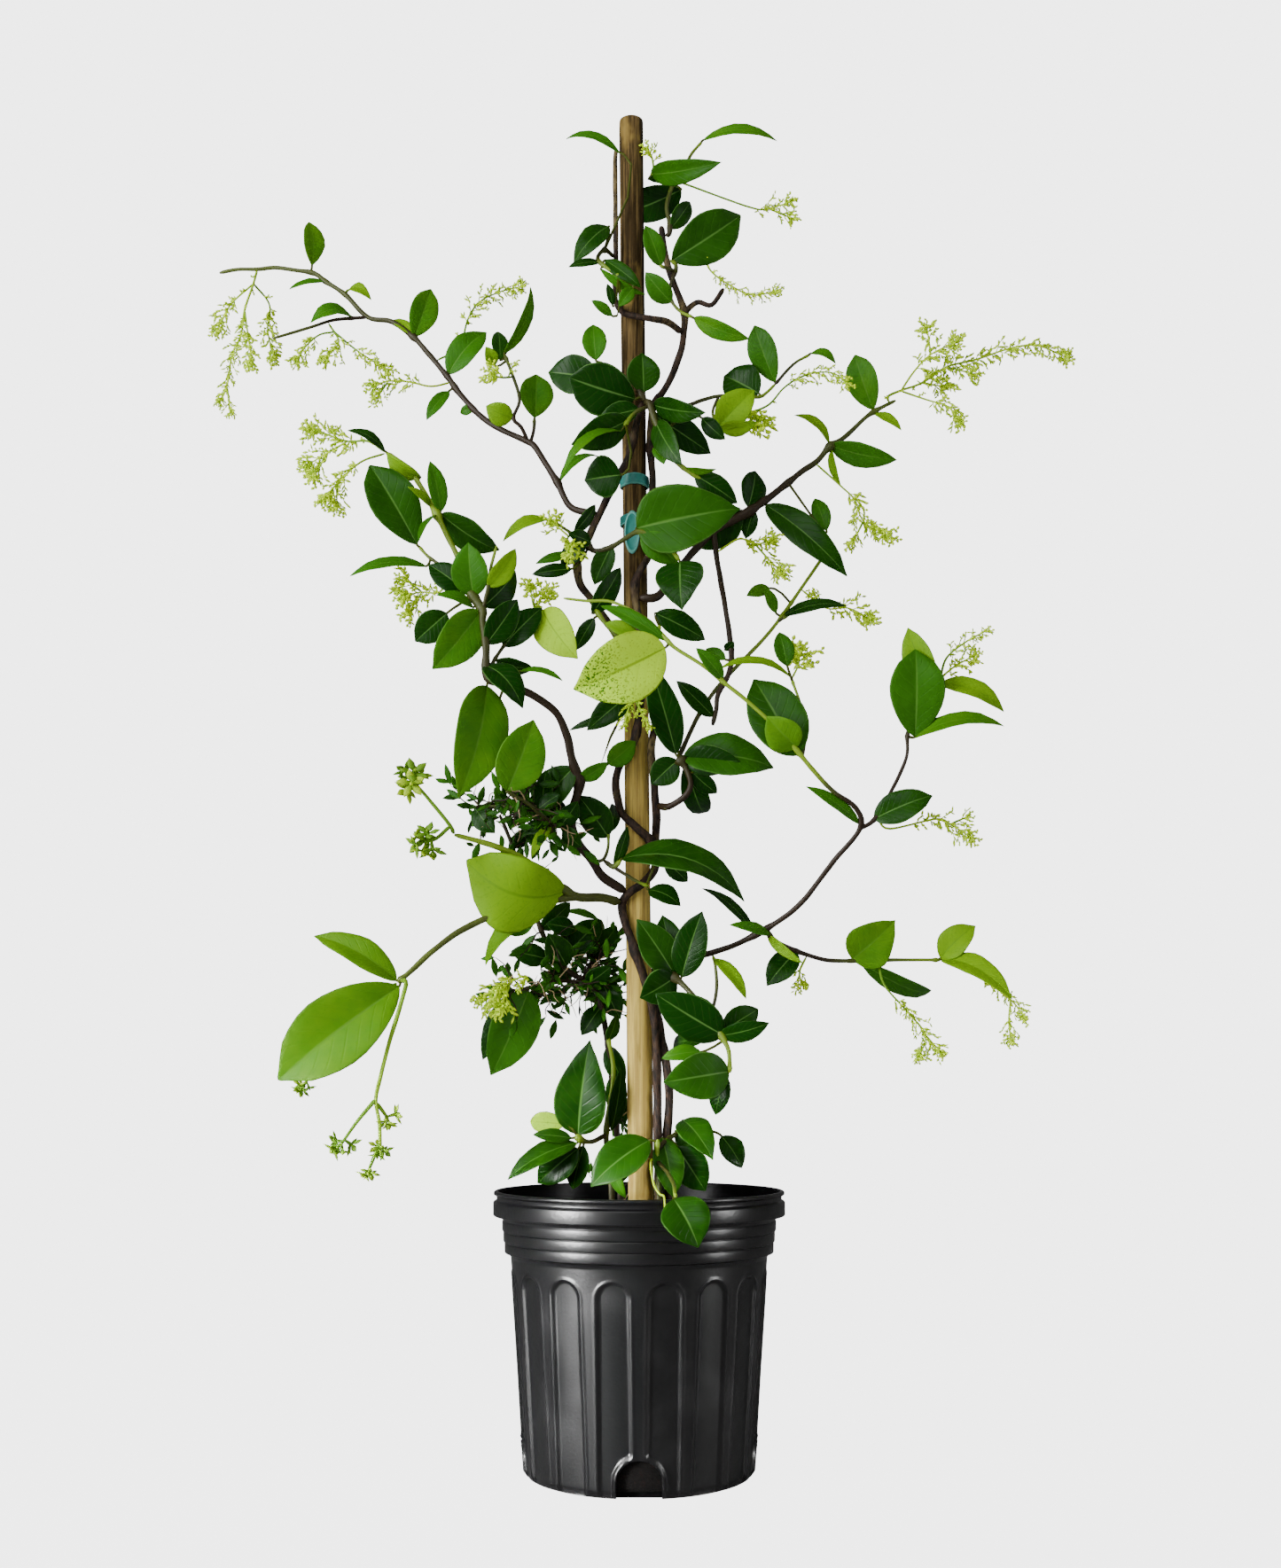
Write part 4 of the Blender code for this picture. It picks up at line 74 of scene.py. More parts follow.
# Pot, in millimetres
POT_HEIGHT = 157.0
LIP_RADIUS = 82.2
BAND_RADIUS = 82.5
BAND_TOP = 5.7
BAND_BOTTOM = 13.7
COLLAR_RADIUS = 77.4
COLLAR_BOTTOM = 34.5
BAND_TO_COLLAR = 2.5
FLUTE_BELOW_COLLAR = 6.5
BODY_TOP_RADIUS = 72.3
BODY_FOOT_RADIUS = 64.5
FOOT_ROUND = 4.5
POT_WALL = 3.2
POT_FLOOR = 3.5
FLUTES = 16
FLUTE_WIDTH = 19.0
NOTCHES = 4
NOTCH_WIDTH = 24.0
NOTCH_HEIGHT = 21.0

# Soil, stake and ties, in millimetres
SOIL_TOP = 145.0
SOIL_CROWN = 4.0
STAKE_RADIUS = 7.25
STAKE_BURIED = 75.0
STAKE_TOP_AT = (356.0, 68.5)
STAKE_FOOT_AT = (361.5, 684.0)
VINE_BURIED = 26.0
GAP = 0.3
UPPER_TIE_AT = 272.5
UPPER_TIE_HEIGHT = 7.0
LOWER_TIE_AT = 294.5
LOWER_TIE_HEIGHT = 6.0
LOOP_WIDTH = 9.0
LOOP_LENGTH = 26.0
LOOP_THICKNESS = 1.3
LOOP_ASIDE = -1.5
TIE_THICKNESS = 1.1
TIE_CLEARANCE = 0.35

# Stems, leaves and flowers, in millimetres
MAIN_VINE_RADIUS = 2.5
UPPER_VINE_RADIUS = 2.0
SEAT_GAP = 0.35
PETIOLE_RADIUS = 0.85
SMALL_LEAF_WIDTH = 16.0
ROOT_BACK = 1.5
DRAW_SEED = 7
TURNS_BETWEEN_HEADS = 2.4

# How a leaf of each age is folded along its midrib (degrees) and arched (share of its length)
FOLD = {"dark": 12.0, "mid": 17.0, "lime": 24.0}
ARCH = {"dark": 0.07, "mid": 0.09, "lime": 0.11}
AGE = {"dark": 0.0, "mid": 0.5, "lime": 1.0}

# Relief of the fine pot and soil, in millimetres and counts
COLLAR_STEPS = 3
COLLAR_STEP = 0.7
FLUTE_DEPTH = 1.5
FLUTE_COLUMNS = 30
CLOD_WAVES = 9
# How much of the pot's inner wall turns matt near-black: painted shade inside the pot
SHADE_INSIDE_SHARE = 0.85

# Where the random draws of each kind of piece start
SOIL_SEED = 11
STEM_SEED = 100
SPRAY_SEED = 300

# Shares that the fine leaves, flowers and lights follow
LEAF_FULLNESS = 1.06
PLUME_FROM = 0.36
STAR_THROAT = 0.62
PETALS = 5
LOW_RIGHT_SHARE = 0.12
LOW_LIGHT_SPREAD = math.radians(24)
WOODY_VINES = ("woody_vine_main", "woody_vine_second", "woody_vine_upper")

# How green each route of a leafy stem is at its root and its tip, and over which share of it that changes
STEM_GREEN = {
    "leafy_stem_lower_left": [(0.4, 0.85, 0.2, 0.7), (0.5, 0.6, 0.0, 1.0)],
    "leafy_stem_right_front": [(0.05, 0.95, 0.34, 0.46), (0.1, 0.6, 0.3, 1.0), (0.5, 0.95, 0.0, 1.0)],
    "leafy_stem_lower_right": [(0.1, 0.8, 0.3, 1.0)],
    "leafy_stem_low_left_core": [(0.05, 0.3, 0.0, 1.0)],
    "leafy_stem_left_inner": [(0.2, 0.5, 0.0, 1.0)],
    "leafy_stem_left_arch": [(0.05, 0.85, 0.3, 0.9), (0.3, 0.8, 0.0, 1.0)],
    "leafy_stem_mid_right": [(0.05, 0.3, 0.0, 1.0)],
    "leafy_stem_upper_right": [(0.1, 0.6, 0.3, 1.0), (0.05, 0.2, 0.0, 1.0)],
    "leafy_stem_upper_left": [(0.1, 0.6, 0.2, 1.0)]}

USUAL_GREEN = [(0.25, 0.85, 0.0, 1.0)]

# How full a leafy stem is and the power it tapers by, where they differ from the others
USUAL_FORM = (1.15, 1.3)
STEM_FORM = {"leafy_stem_right_front": (1.0, 0.6), "leafy_stem_lower_left": (1.45, 1.3),
             "leafy_stem_right_thin": (1.3, 1.3)}

# Stems with fine twigs and rootlets among their leaves: how many, and how far they reach (mm)
TWIGGY = {"leafy_stem_low_left_core": (130, 28.0), "leafy_stem_left_inner": (80, 24.0)}


def split_row(words):
    """The plain numbers of a row, and its named values."""
    named = dict(word.split("=") for word in words if "=" in word)
    return [float(word) for word in words if "=" not in word], named


def leaf(age, words):
    """One leaf: its blade's two ends on the sheet, its width, its roll (degrees) and how near its tip is.

    look is its colour where that isn't its age's: from 0, dark, over 1, lime, to 1.5, the palest. swell and
    sweep are how much further the fine leaf bows out, and how far its midrib bows aside, as shares of its
    length.
    """
    (*ends, width, roll, toward), named = split_row(words)
    shape = named.pop("shape", "oval")
    plan = {"arch": ARCH[age], "look": AGE[age], "swell": 0, "sweep": 0}
    plan.update({name: float(value) for name, value in named.items()})
    return {"age": age, "base": ends[:2], "tip": ends[2:], "width": width, "roll": roll, "toward": toward,
            "shape": shape} | plan


def stalk(words):
    """One stalk of a spray, from its radius, the flowers at its end, their size and those along it.

    swung has a digit for each flower: how often it is turned aside to stand clear, where 8 leaves it out.
    """
    (radius, heads, size, along, *places), named = split_row(words)
    return {"points": in_threes(places), "radius": radius, "heads": int(heads), "size": size,
            "along": int(along), "spread": float(named.get("spread", 55)),
            "swung": named.get("swung", "0" * int(heads + along))}


def in_threes(numbers):
    """Numbers as places: across the sheet, down it and behind the pot's axis."""
    return list(zip(*[iter(numbers)] * 3))


def read_places(table):
    """Places written as plain numbers, three to each."""
    return in_threes(map(float, table.split()))


def read_plans(table):
    """Plans of stems or sprays: a row names one and its carrier, the next hold its routes, leaves or stalks.

    A route's numbers are its radius at both ends and then its places. A line that starts with a number goes
    on with the row before it.
    """
    rows, plans = [], {}
    for line in table.strip().splitlines():
        words = line.split()
        if words[0][0].isalpha():
            rows.append(words)
        else:
            rows[-1] += words
    for kind, *words in rows:
        if kind == "route":
            start, end, *places = map(float, words)
            plan["routes"].append((start, end, in_threes(places)))
        elif kind == "stalk":
            plan["stalks"].append(stalk(words))
        elif kind in AGE:
            plan["leaves"].append(leaf(kind, words))
        else:
            plan = plans[kind] = {"from": words[0], "routes": [], "leaves": [], "stalks": []}
    return plans


# The two vines that twine up the stake: place down the sheet, turn round the stake from its front
# towards the right (degrees), and reach from the stake's axis
MAIN_VINE_TURNS = read_places("""
672 62 11.5  640 66 10.8  600 68 10.6  575 55 10.6  555 20 10.8  537 -12 10.8  521 -44 10.8  511 -60 10.8
505 -30 10.8  499 18 10.8  493 52 10.8  486 72 10.8  476 45 10.8  468 -5 10.8  461 -48 10.8  452 -75 11.6
443 -82 12.5  434 -65 11.6  424 -20 10.8  415 0 10.8  404 8 10.8  390 18 10.8  376 22 10.8  362 16 10.8
350 8 10.8  341 0 10.8  333 -2 10.8  325 15 10.8  318 40 10.8  310 58 11.4  300 62 11.8  285 62 11.8
270 64 11.8  255 62 10.8  240 62 11.2  228 75 13
""")
MAIN_VINE_FREE = read_places("""
374 221 -2  378.5 213 0  384 198 2  386 185 3  386 176 3  384 170 3  380.5 161 2  376.5 149.5 1  374 136 0
373 128 0
""")
MAIN_VINE_STUB = read_places("""
385 177 3  389 173.5 0  394 170.5 -2  401.5 172 -4  408 163 -5
""")
SECOND_VINE_TURNS = read_places("""
672 84 16  645 84 15.2  634 83 15.8  620 80 17  603 80 15.8  592 86 13.6  575 105 11.2  555 150 10.8
535 190 10.8  515 205 10.8  500 195 10.8  488 165 10.8  475 120 10.8  465 84 11  452 66 11.4  439 58 11.2
425 48 10.9  416 62 10.8  407 90 10.8  395 130 10.8  380 172 10.8  366 215 11.2  356 250 13
""")
SECOND_VINE_FREE = read_places("""
342 350 2  333.5 338 -2  327.5 330 -5  325.5 320 -8  326.5 311 -10  331.5 304 -12  336 294.5 -13
342 282 -13.5  350 266.5 -13.5  354.5 258 -13.5  357 248 -13.5  359.5 237 -13  362.5 227 -13
""")
UPPER_VINE_START = read_places("""
382 182 -3  376 181.5 -8  368 180 -11.5  359 178.5 -12  351 176 -10
""")
UPPER_VINE_TURNS = read_places("""
170 -80 10.4  160 -92 10  145 -95 9.9  130 -97 9.9  115 -96 9.9  102 -92 9.9  92 -82 9.9  86 -66 9.9
""")

# Leafy stems: what each grows from, its routes (sheet place and depth, with radii at both ends), its leaves
LEAFY_STEMS = read_plans("""
leafy_stem_upper_left woody_vine_second
route 1.7 .9 328 300 -6 322 286 -2 314 271.5 2 308 262 5 302 252.5 8 297.5 249 9 284 243 12 272 235.5 15 260
223 18 252 212 21 242 200 24 233.5 190.5 26 221 181.5 29 207.5 179 32 194.5 166 35 183 158.5 38 178 154.5 39
167 152.5 40 155 151 42 145 152 43 134 152 44 124 154 45
route .9 .7 207.5 179 32 189 180.5 27 174 185 22 154 191 16
route 1 .8 298.5 248.5 9 294 241 4 289.5 236 2 293 226.5 0 290.5 215.5 -2 284.5 200 -3
route 1 .8 299.5 250 9 301 243 12 301.5 236 14
mid 176 149.5 174.5 125 14 25 6 arch=.16 shape=spoon look=.6
mid 183.5 159 163 163 6 60 4
lime 195.5 165 209.5 169 9 -50 8 arch=.25
mid 198 178.5 175 182 13 55 8 arch=.25
mid 233.5 190 243 163 17 10 4 shape=spoon look=.65
lime 233 189 220.5 181 8 40 -8
mid 253 211 274.5 187.5 18 -30 -6 arch=.14 look=.55
mid 284.5 199 300 161.5 9 40 4 arch=.14
dark 282 203 281 186.5 10 15 -8
lime 279 206 274 195.5 8 10 8
lime 289 236 274 229 14 -15 4
mid 301.5 235.5 302.5 211 20 10 4 shape=spoon
mid 253 221 240.5 237 9 30 6
mid 267 230 259.5 233 6 10 -4
mid 316 271 338 257.5 8 -55 -10 arch=.2
leafy_stem_left_arch woody_vine_main
route 2.3 .9 348 505.5 -9 340.5 495 -14 333.5 485 -18 326 475.5 -22 321.5 462.5 -25 325 450 -28 326.5 441 -31
323 430 -34 319.5 414.5 -38 313.5 402 -42 301 392.5 -46 286 386 -49 275 382 -51 274 364 -52 272 350 -51 272
344.5 -50 265 333.5 -48 262 325.5 -47 258 314 -45 252 302 -43 246 289.5 -41 241 280.5 -39 235.5 271.5 -37
229.5 263 -35 218 255.5 -32
route .9 .7 264.5 332 -48 250 320 -44 241.5 314 -42 236 308 -40
route .9 .7 272 345 -50 275 333 -54 277 320 -56 280 308 -58
route .9 .7 275 379 -51 283 366 -44 294 352 -38 305.5 343 -34
route .9 .7 334 486 -18 340 485 -19 343 478 -17 343 469 -15
mid 235 307 208.5 262 27 15 6 arch=.06 shape=spoon look=.12
mid 240 319.5 197 325 9 50 8 arch=.14
mid 248.5 288.5 242.5 260 11 20 6
lime 237 269 218 256 11 -35 4 arch=.16
dark 217 254.5 196 242.5 8 50 8 arch=.16
lime 243 285.5 230 274.5 5 30 14
dark 249 290 281.5 311 20 35 -10
mid 246 290.5 236 305.5 6 60 16
dark 264 334.5 241.5 318.5 16 20 -2
mid 267 336.5 264 306 20 -10 10
lime 275.5 331 291 309.5 12 20 6
dark 273 342 291 322 16 20 -18
dark 274.5 363 292 338 16 10 -4
mid 271 345 244 377.5 23 -12 4 look=.6
dark 252 346 234 362 17 0 -6
mid 266.5 342.5 246 335.5 8 45 8 arch=.16
dark 273.5 375.5 295 399.5 18 -35 8 arch=.18
dark 280 372.5 301 377.5 12 40 -8
mid 294 378.5 317.5 384 6 -55 10 arch=.12
dark 284 364.5 305.5 343 16 -15 -6
lime 306 344.5 325.5 371.5 22 15 8 look=1.3
mid 274.5 387 259 449.5 30 -20 12 arch=.12 look=.55
lime 279 402 272 422 9 30 -8
dark 323.5 433 303 458 18 20 -8
dark 326 442 306 436 14 25 -12
dark 321.5 463.5 299 445.5 15 -15 -10
mid 327 439.5 343 430 9 20 4
dark 343 472 326 448.5 18 10 6
dark 344 469 346 453 8 30 -30
leafy_stem_left_inner leafy_stem_left_arch
route 1.1 .8 324 470 -23 313.5 466 -30 305 459 -38 296 452 -46 285.5 446.5 -54
route .9 .7 313.5 466 -30 301 458 -24 283 455 -20 264 455.5 -16
mid 286 446 301 406 26 12 8 look=.66
lime 310.5 466 299.5 484 7 25 8
dark 268 456 279 470 13 10 6
dark 298 457 307 446 9 20 0
dark 316 466 326 452 11 15 4
dark 310 464 294 470 9 30 -4
dark 303 457 316 448 9 -25 4
dark 290 455 298 464 8 20 4
mid 283 455 279 444 7 35 -4
dark 305 458 308 434 10 0 -4
dark 318 467 328 478 10 25 0
leafy_stem_lower_left woody_vine_main
route 1.9 .9 349 507 -10 340 506.5 -14 326 506 -20 318 501.5 -25 305 491.5 -34 291.5 482.5 -42 275 476 -50
256.5 471 -56
route 1.5 .9 326 506 -20 312.5 507.5 -27 295 510.5 -36 278 516.5 -44 259 525.5 -51 243.5 537 -57 231 548.5
-61 224.5 554 -62
lime 318.5 503 263 485.5 42 -8 14 arch=.1 shape=spoon swell=.17 sweep=-.13
mid 305 511 273 544.5 13 45 -14 arch=.14 look=.75
mid 301 512 286 527 16 10 -10
lime 223.5 553 177 528 17 30 -4 arch=.14 look=.8
lime 225 556.5 156.5 609 38 10 14 arch=.08 shape=spoon look=.66
leafy_stem_low_left_core soil
route 1.6 .9 350 674 22 348 640 20 345 605 16 338.5 566 9 330.5 554 8 318 546.5 6 309 533 4 303 519 2 296 500
0 288.5 476 -2 282 460 -3
route 1.1 .8 330.5 554 8 316 553.5 -2 302 556 -10 292.5 559 -16
route 1 .8 330.5 554 8 334 545 16 337 538 22
dark 324 524 308 521 11 10 6
mid 337 518.5 318.5 514 6 45 8
dark 309 541 288 536.5 13 10 4
dark 319.5 545 309 526.5 16 5 10
dark 321.5 536.5 339 519 16 -10 -10
dark 321 549.5 305.5 551.5 10 15 14
dark 334 540 348 522 15 20 2
dark 338 550 350 575 16 10 4
mid 298 559 277 606.5 27 -10 10 look=.35
dark 291.5 560 272 598 15 20 -8
dark 300 511 286 521 10 30 -6
dark 305 524 322 509 12 20 -8
dark 310 536 327 530 10 -20 -12
dark 331 555 345 545 12 15 8
dark 339 568 328 584 12 10 6
dark 343 590 352 612 12 15 -4
dark 345 607 352 636 12 10 -16
dark 297 503 290 489 9 20 -6
dark 289 478 300 466 9 25 -6
leafy_stem_base_left soil
route 1.6 1 345 672 8 343 655 8 342 636 8 346 606 9 343 585 9
route 1.2 .9 342 640 8 334 644 0 327.5 643 -6 325 640 -8
dark 326 640 332.5 586.5 29 -12 4 shape=egg
lime 318.5 634 298.5 632.5 12 0 -12 look=1.3
mid 322 642 300.5 640 8 15 4 look=.2
mid 325 645 286 665 14 35 10 arch=.12 look=.12
dark 326 648 303 667.5 18 10 -10
dark 329 646.5 323 671 13 10 -10
dark 345 637 350.5 602 10 20 0
dark 343 587 348 572 8 30 4
mid 344 655 353 676 8 25 2
leafy_stem_base_right soil
route 1.6 1 372 672 -16 370.5 655 -17 371 643 -18
route 1.2 .9 371 648 -17 379 641 -6 390 637 4 402 638 10
route 1 .8 370.5 655 -17 376 661 -34 380 668 -56 380.5 672 -74 381 675 -86
mid 366 643.5 333 669 23 20 10 arch=.12 look=.08
mid 373.5 642 380 675.5 17 -12 8 look=.1
dark 382 647 398 672 20 0 4
dark 381 638 399 650 14 20 4
mid 385 632 402 653.5 18 -20 30 arch=.12 look=.08
mid 407 641 418.5 659 14 -20 2 arch=.12 look=.1
mid 380 676.5 394 703.5 25 -15 10 arch=.14 look=0
leafy_stem_low_right woody_vine_main
route 1.5 .9 372 548 -8 379 551 -16 391 562 -22 400 576 -27 406 583 -30 411 593 -33 411.5 605 -35
route .9 .7 400 576 -27 404 560 -22 403.5 545 -18 402 539 -16
dark 380 549 359.5 518.5 20 10 8
dark 382 549 373.5 516 17 0 -4
dark 381 551 361 563 20 -17 6
dark 384.5 551 396 514 19 -10 6
dark 408 584 369.5 560.5 24 -8 10
dark 405 579 389 562 14 -15 -8
dark 407.5 581.5 428 569 15 0 -10
dark 406.5 584 434 577 12 20 8 arch=.1
dark 398 586 379 590 10 20 -48
lime 395 593.5 373 597 9 20 2 arch=.12 look=.5
mid 411 604.5 374.5 610.5 25 0 14 look=.1
dark 409.5 607 403.5 629 12 20 -6
lime 403 541 421 563.5 9 -35 6 arch=.12
leafy_stem_right_front woody_vine_second
route 2 .8 371 545 6 385 541.5 5 404.5 536.5 0 421 530 -8 440 519 -16 453.5 507.5 -24 470 486 -34 485 467.5
-42 482.5 455.5 -46 470 446.5 -50 459.5 435.5 -54 452.5 427 -57 442 415 -60 431 404 -62 419 393.5 -64 407 384
-66 396.5 375.5 -67 383 367 -67 377.5 362.5 -66 370 354 -63 361 347 -60 345 339.5 -57 331 339 -55 318 337.5
-53
route 1.3 .8 485 467.5 -42 493 462.5 -42 501 449.5 -41 511 428 -39 512 413 -38 517.5 401 -37 523 393 -36 527
386 -35
route 1 .7 452.5 427 -57 454 415 -54 451.5 398 -50 446.5 383 -47
lime 375 365.5 323.5 389 36 -12 8 arch=.07 look=1.5
mid 375 361 338.5 341.5 9 30 -10
lime 360 360 341 351.5 9 25 0
mid 407.5 383 392.5 365.5 9 25 4
dark 450 426 425 383 30 10 -10 look=.22
lime 449.5 421.5 432.5 404 19 -10 8 look=.75
lime 445 381 405.5 376.5 11 67 6 arch=.14
mid 444 375.5 439.5 356.5 11 10 -4 look=.3
mid 484.5 464.5 454.5 443.5 8 35 6
dark 493 462 526 448.5 18 -20 4
mid 516 415.5 516.5 366 30 10 6 shape=spoon look=.3
lime 526 388 512 354 17 -15 2 arch=.1
lime 529.5 386 566.5 401.5 14 -45 4 arch=.16
mid 516 416 566.5 408.5 12 -50 8 arch=.16
mid 434 527 411.5 521.5 7 30 14
dark 425 526 396 500.5 9 50 -8 arch=.1
leafy_stem_lower_right leafy_stem_right_front
route 1.3 .8 430 528 -8 439 532 0 453.5 538 7 466 541.5 13 480 542 18 507 541.5 26 530 541.5 31
lime 433 527.5 453 543.5 6 20 12
dark 449 537 432.5 556 16 15 6
mid 480.5 541 505 519 27 15 4 shape=egg look=.75
dark 486 543 526 559.5 12 25 -50 arch=.12 look=.35
lime 530.5 540.5 550 522 18 -20 6
lime 531.5 541.5 571 563 16 -40 28 arch=.16
leafy_stem_mid_right woody_vine_second
route 1.8 1 367 461 -6 377 455 -14 386 449.5 -19 389.5 443 -21 387.5 435 -21 383 427 -20
route .9 .7 367 470 -6 376 456.5 -16
dark 385.5 426.5 436.5 432.5 26 -30 4 arch=.12 look=.18
dark 385.5 428 417.5 429.5 17 5 10
dark 387 431 397.5 459 15 10 -44 arch=.16
dark 391 436 404.5 447.5 11 20 -8
dark 382 429 367.5 442.5 16 5 -4
dark 381 425 366.5 375 18 10 6
mid 371 391 372 398 6 10 4
leafy_stem_long_leaf leafy_stem_left_arch
route 1.2 .9 341 494 -16 346 489 -23 350 485.5 -25
route .9 .7 346 489 -23 358 496.5 -24 366 500 -23
dark 351 484.5 420.5 507 26 -50 6 arch=.2
dark 375 485 388 497.5 10 0 -8
dark 366 502 384 511 13 -35 4 arch=.16
dark 346.5 489 354 466 7 20 -8
leafy_stem_right_thin leafy_stem_mid_right
route 1.1 .8 386.5 428 -22 387 418 -10 394 403.5 4 403 390 12 413 378.5 18 423.5 368 22 438 351.5 27 464
314.5 34
route .8 .7 438 351.5 27 441 349 27 448 345 28
dark 442 347.5 477.5 341.5 9 -40 4 arch=.14
mid 437.5 345.5 431 331 7 20 4
mid 434 332 421 336 8 20 4
dark 402 404 381.5 384 11 10 8
leafy_stem_upper_right woody_vine_main
route 2.2 .9 363 344 -13 370 337 -10 377 329 2 387 316 17 402.5 300 24 423.5 288 29 438 277.5 33 451 267 36
461 260 38 467.5 252.5 39 476 247 41 485.5 238 43 492.5 232.5 45 505 226 48
route 1.5 1.2 402.5 300 24 404.5 316 20 406.5 328 16 409 342 10 412.5 368 2 411 380 -2 405 392 -6 404 400 -8
402 409 -10
mid 492.5 231 482 200 19 -10 6 shape=spoon
mid 468.5 251.5 506 259.5 15 20 4
lime 467.5 250 448 234 8 50 4 arch=.2
lime 469 254 474 273.5 6 37 2
lime 493.5 233.5 508.5 242.5 7 -40 6
dark 432 285 478 324.5 19 -20 10 arch=.1
mid 466 299 459.5 281 11 10 -6
dark 418 288 389.5 308 24 -10 -8
dark 425 288 420.5 304 10 10 -6
dark 422 286 426 265.5 17 25 -6
mid 412 292 403.5 279 9 20 8
mid 409 372 398 366 7 20 -4
dark 409 366.5 414 362 6 20 4
leafy_stem_upper_core woody_vine_second
route 1.6 .8 363 222 -15 366 227 -18 369 236 -20 373 247 -21 378 257 -22 385.5 264 -22 393 269 -21 402 274
-18
route 1.1 .8 365 225 -17 356 215 -19 344 208 -18 337 204 -17
route 1 .8 366.5 229 -18 358 233 -22 352 240 -24
mid 336 203 334.5 183 14 0 -4
dark 337 214 309 210 22 15 -8
dark 358 225 321 213 29 -10 8 shape=spoon
dark 363 221 362 199 19 10 4
dark 369 228.5 397.5 233 14 20 26
dark 396 236 409 248 10 15 0
dark 368.5 234 401 256 17 -5 -16
dark 354 237 322.5 251 19 -15 6
mid 350 243 316.5 268.5 8 50 8 arch=.22
dark 350 268 329.5 271 23 10 -2
mid 372.5 250 374.5 262 10 10 6
mid 385.5 264 404 265 5 40 4
dark 370 238 384 262 15 20 16
dark 360 231 338 236 13 5 -2
dark 392 268 416 284 14 -15 -6
leafy_stem_right_small leafy_stem_upper_core
route 1 .8 378 232 -16 386 229 -12 397 225.5 -4 405.5 223.5 2 418 223.5 8 428 224 12 433 221 14 437 217 15
route .8 .7 437 217 15 447.5 205.5 18 457 200 20
route .8 .7 405.5 223.5 2 402 232 -4 404 240 -8
mid 437 215.5 425.5 183.5 17 -10 4 shape=spoon
dark 428 222 408 212 24 15 -8
lime 405 241 425.5 220 19 -12 6
lime 406 241.5 427 238.5 10 25 8
mid 457.5 199.5 471.5 205 7 -45 4 arch=.25
leafy_stem_centre woody_vine_second
route 1.3 .9 328 312 -13 336 311 -17 345 308.5 -19 354 303 -20 360.5 300 -20 371 304 -21 380 312 -22 383 316
-22
route .9 .7 336 311 -17 324 302 -20 312 294 -22
mid 359 298 418 286.5 38 -15 0 arch=.05 shape=egg look=.2
mid 362 302 382.5 318 16 -10 -4
dark 383.5 317 384.5 344 27 10 8 shape=egg
lime 309 293 283.5 305 9 45 6 arch=.16
dark 324 300 336 284.5 8 25 -6
dark 333 306 320.5 301 9 20 10
mid 322 313 302 318 6 25 4
dark 322 321 300 324 8 15 2
dark 330 307 316 318 12 20 -8
dark 345 308 335 330 13 15 -8
leafy_stem_centre_low woody_vine_main
route 1.5 .9 359 388 -12 358 382 -20 354 372 -24 348 360 -24 340 350 -22 336 344 -20
route 1 .8 358 382 -20 366 372 -22 371 360 -20 372 352 -16
dark 356.5 391 331 412 15 10 4
dark 350 404 321 412 6 35 -8
dark 335 349 324.5 367 9 10 -4
dark 334 346 350 320 13 20 -6
dark 370 346 398 361 15 -15 -8
mid 343 431 358.5 418 13 10 2
dark 366 378 370.5 394 10 20 -10
leafy_stem_top woody_vine_main
route 1.3 .8 373 134 0 377.5 132 -1 377.5 125 0 376 117 2 378 108 4 380 101 4 374 98 2 367 98.5 0
route .9 .7 378 108 4 385 97 10 390 87 14 396 80 17
lime 367.5 98 407 91.5 14 10 36 arch=.12 look=.4
dark 366 101 385 96 7 25 -6
mid 397 79 438.5 79 8 -45 4 arch=.18
dark 384 107 350 120 22 -25 -34
dark 378.5 129 389.5 113.5 11 10 -8
leafy_stem_top_left woody_vine_upper
route 1.1 .8 345.5 145 -3 341 141 -9 337 146 -12 342 151 -15 350 157 -17
mid 349 86 319 78.5 7 50 -6 arch=.2
dark 343 128 323.5 148 14 25 6 arch=.14
dark 338 148 320.5 150.5 6 40 4
dark 341.5 147 361.5 162 9 -20 4
mid 339 152 364 166.5 6 35 -2
dark 345.5 172 342.5 160 5 20 2
mid 345 178 333.5 169.5 6 20 4
lime 357 163 349 173 8 10 0 look=.45
leafy_stem_top_right woody_vine_main
route 1.3 .8 379 159 -2 381 153 -8 381 149 -10 378 147 -11
route .9 .7 381 153 -8 375 151 -12 372 150 -13
route .9 .7 381 153 -8 378 162 -9 379 170 -9 384 176 -9 391 179 -10
route .9 .7 381 149 -10 385 144 -12 389 140 -13
mid 379 147 418 121.5 27 5 8 shape=spoon look=.12
mid 372.5 150 364 127 12 15 6 look=.25
lime 378.5 170.5 364 153.5 13 -10 8 look=.45
mid 391.5 179.5 422.5 191.5 11 20 4
""")

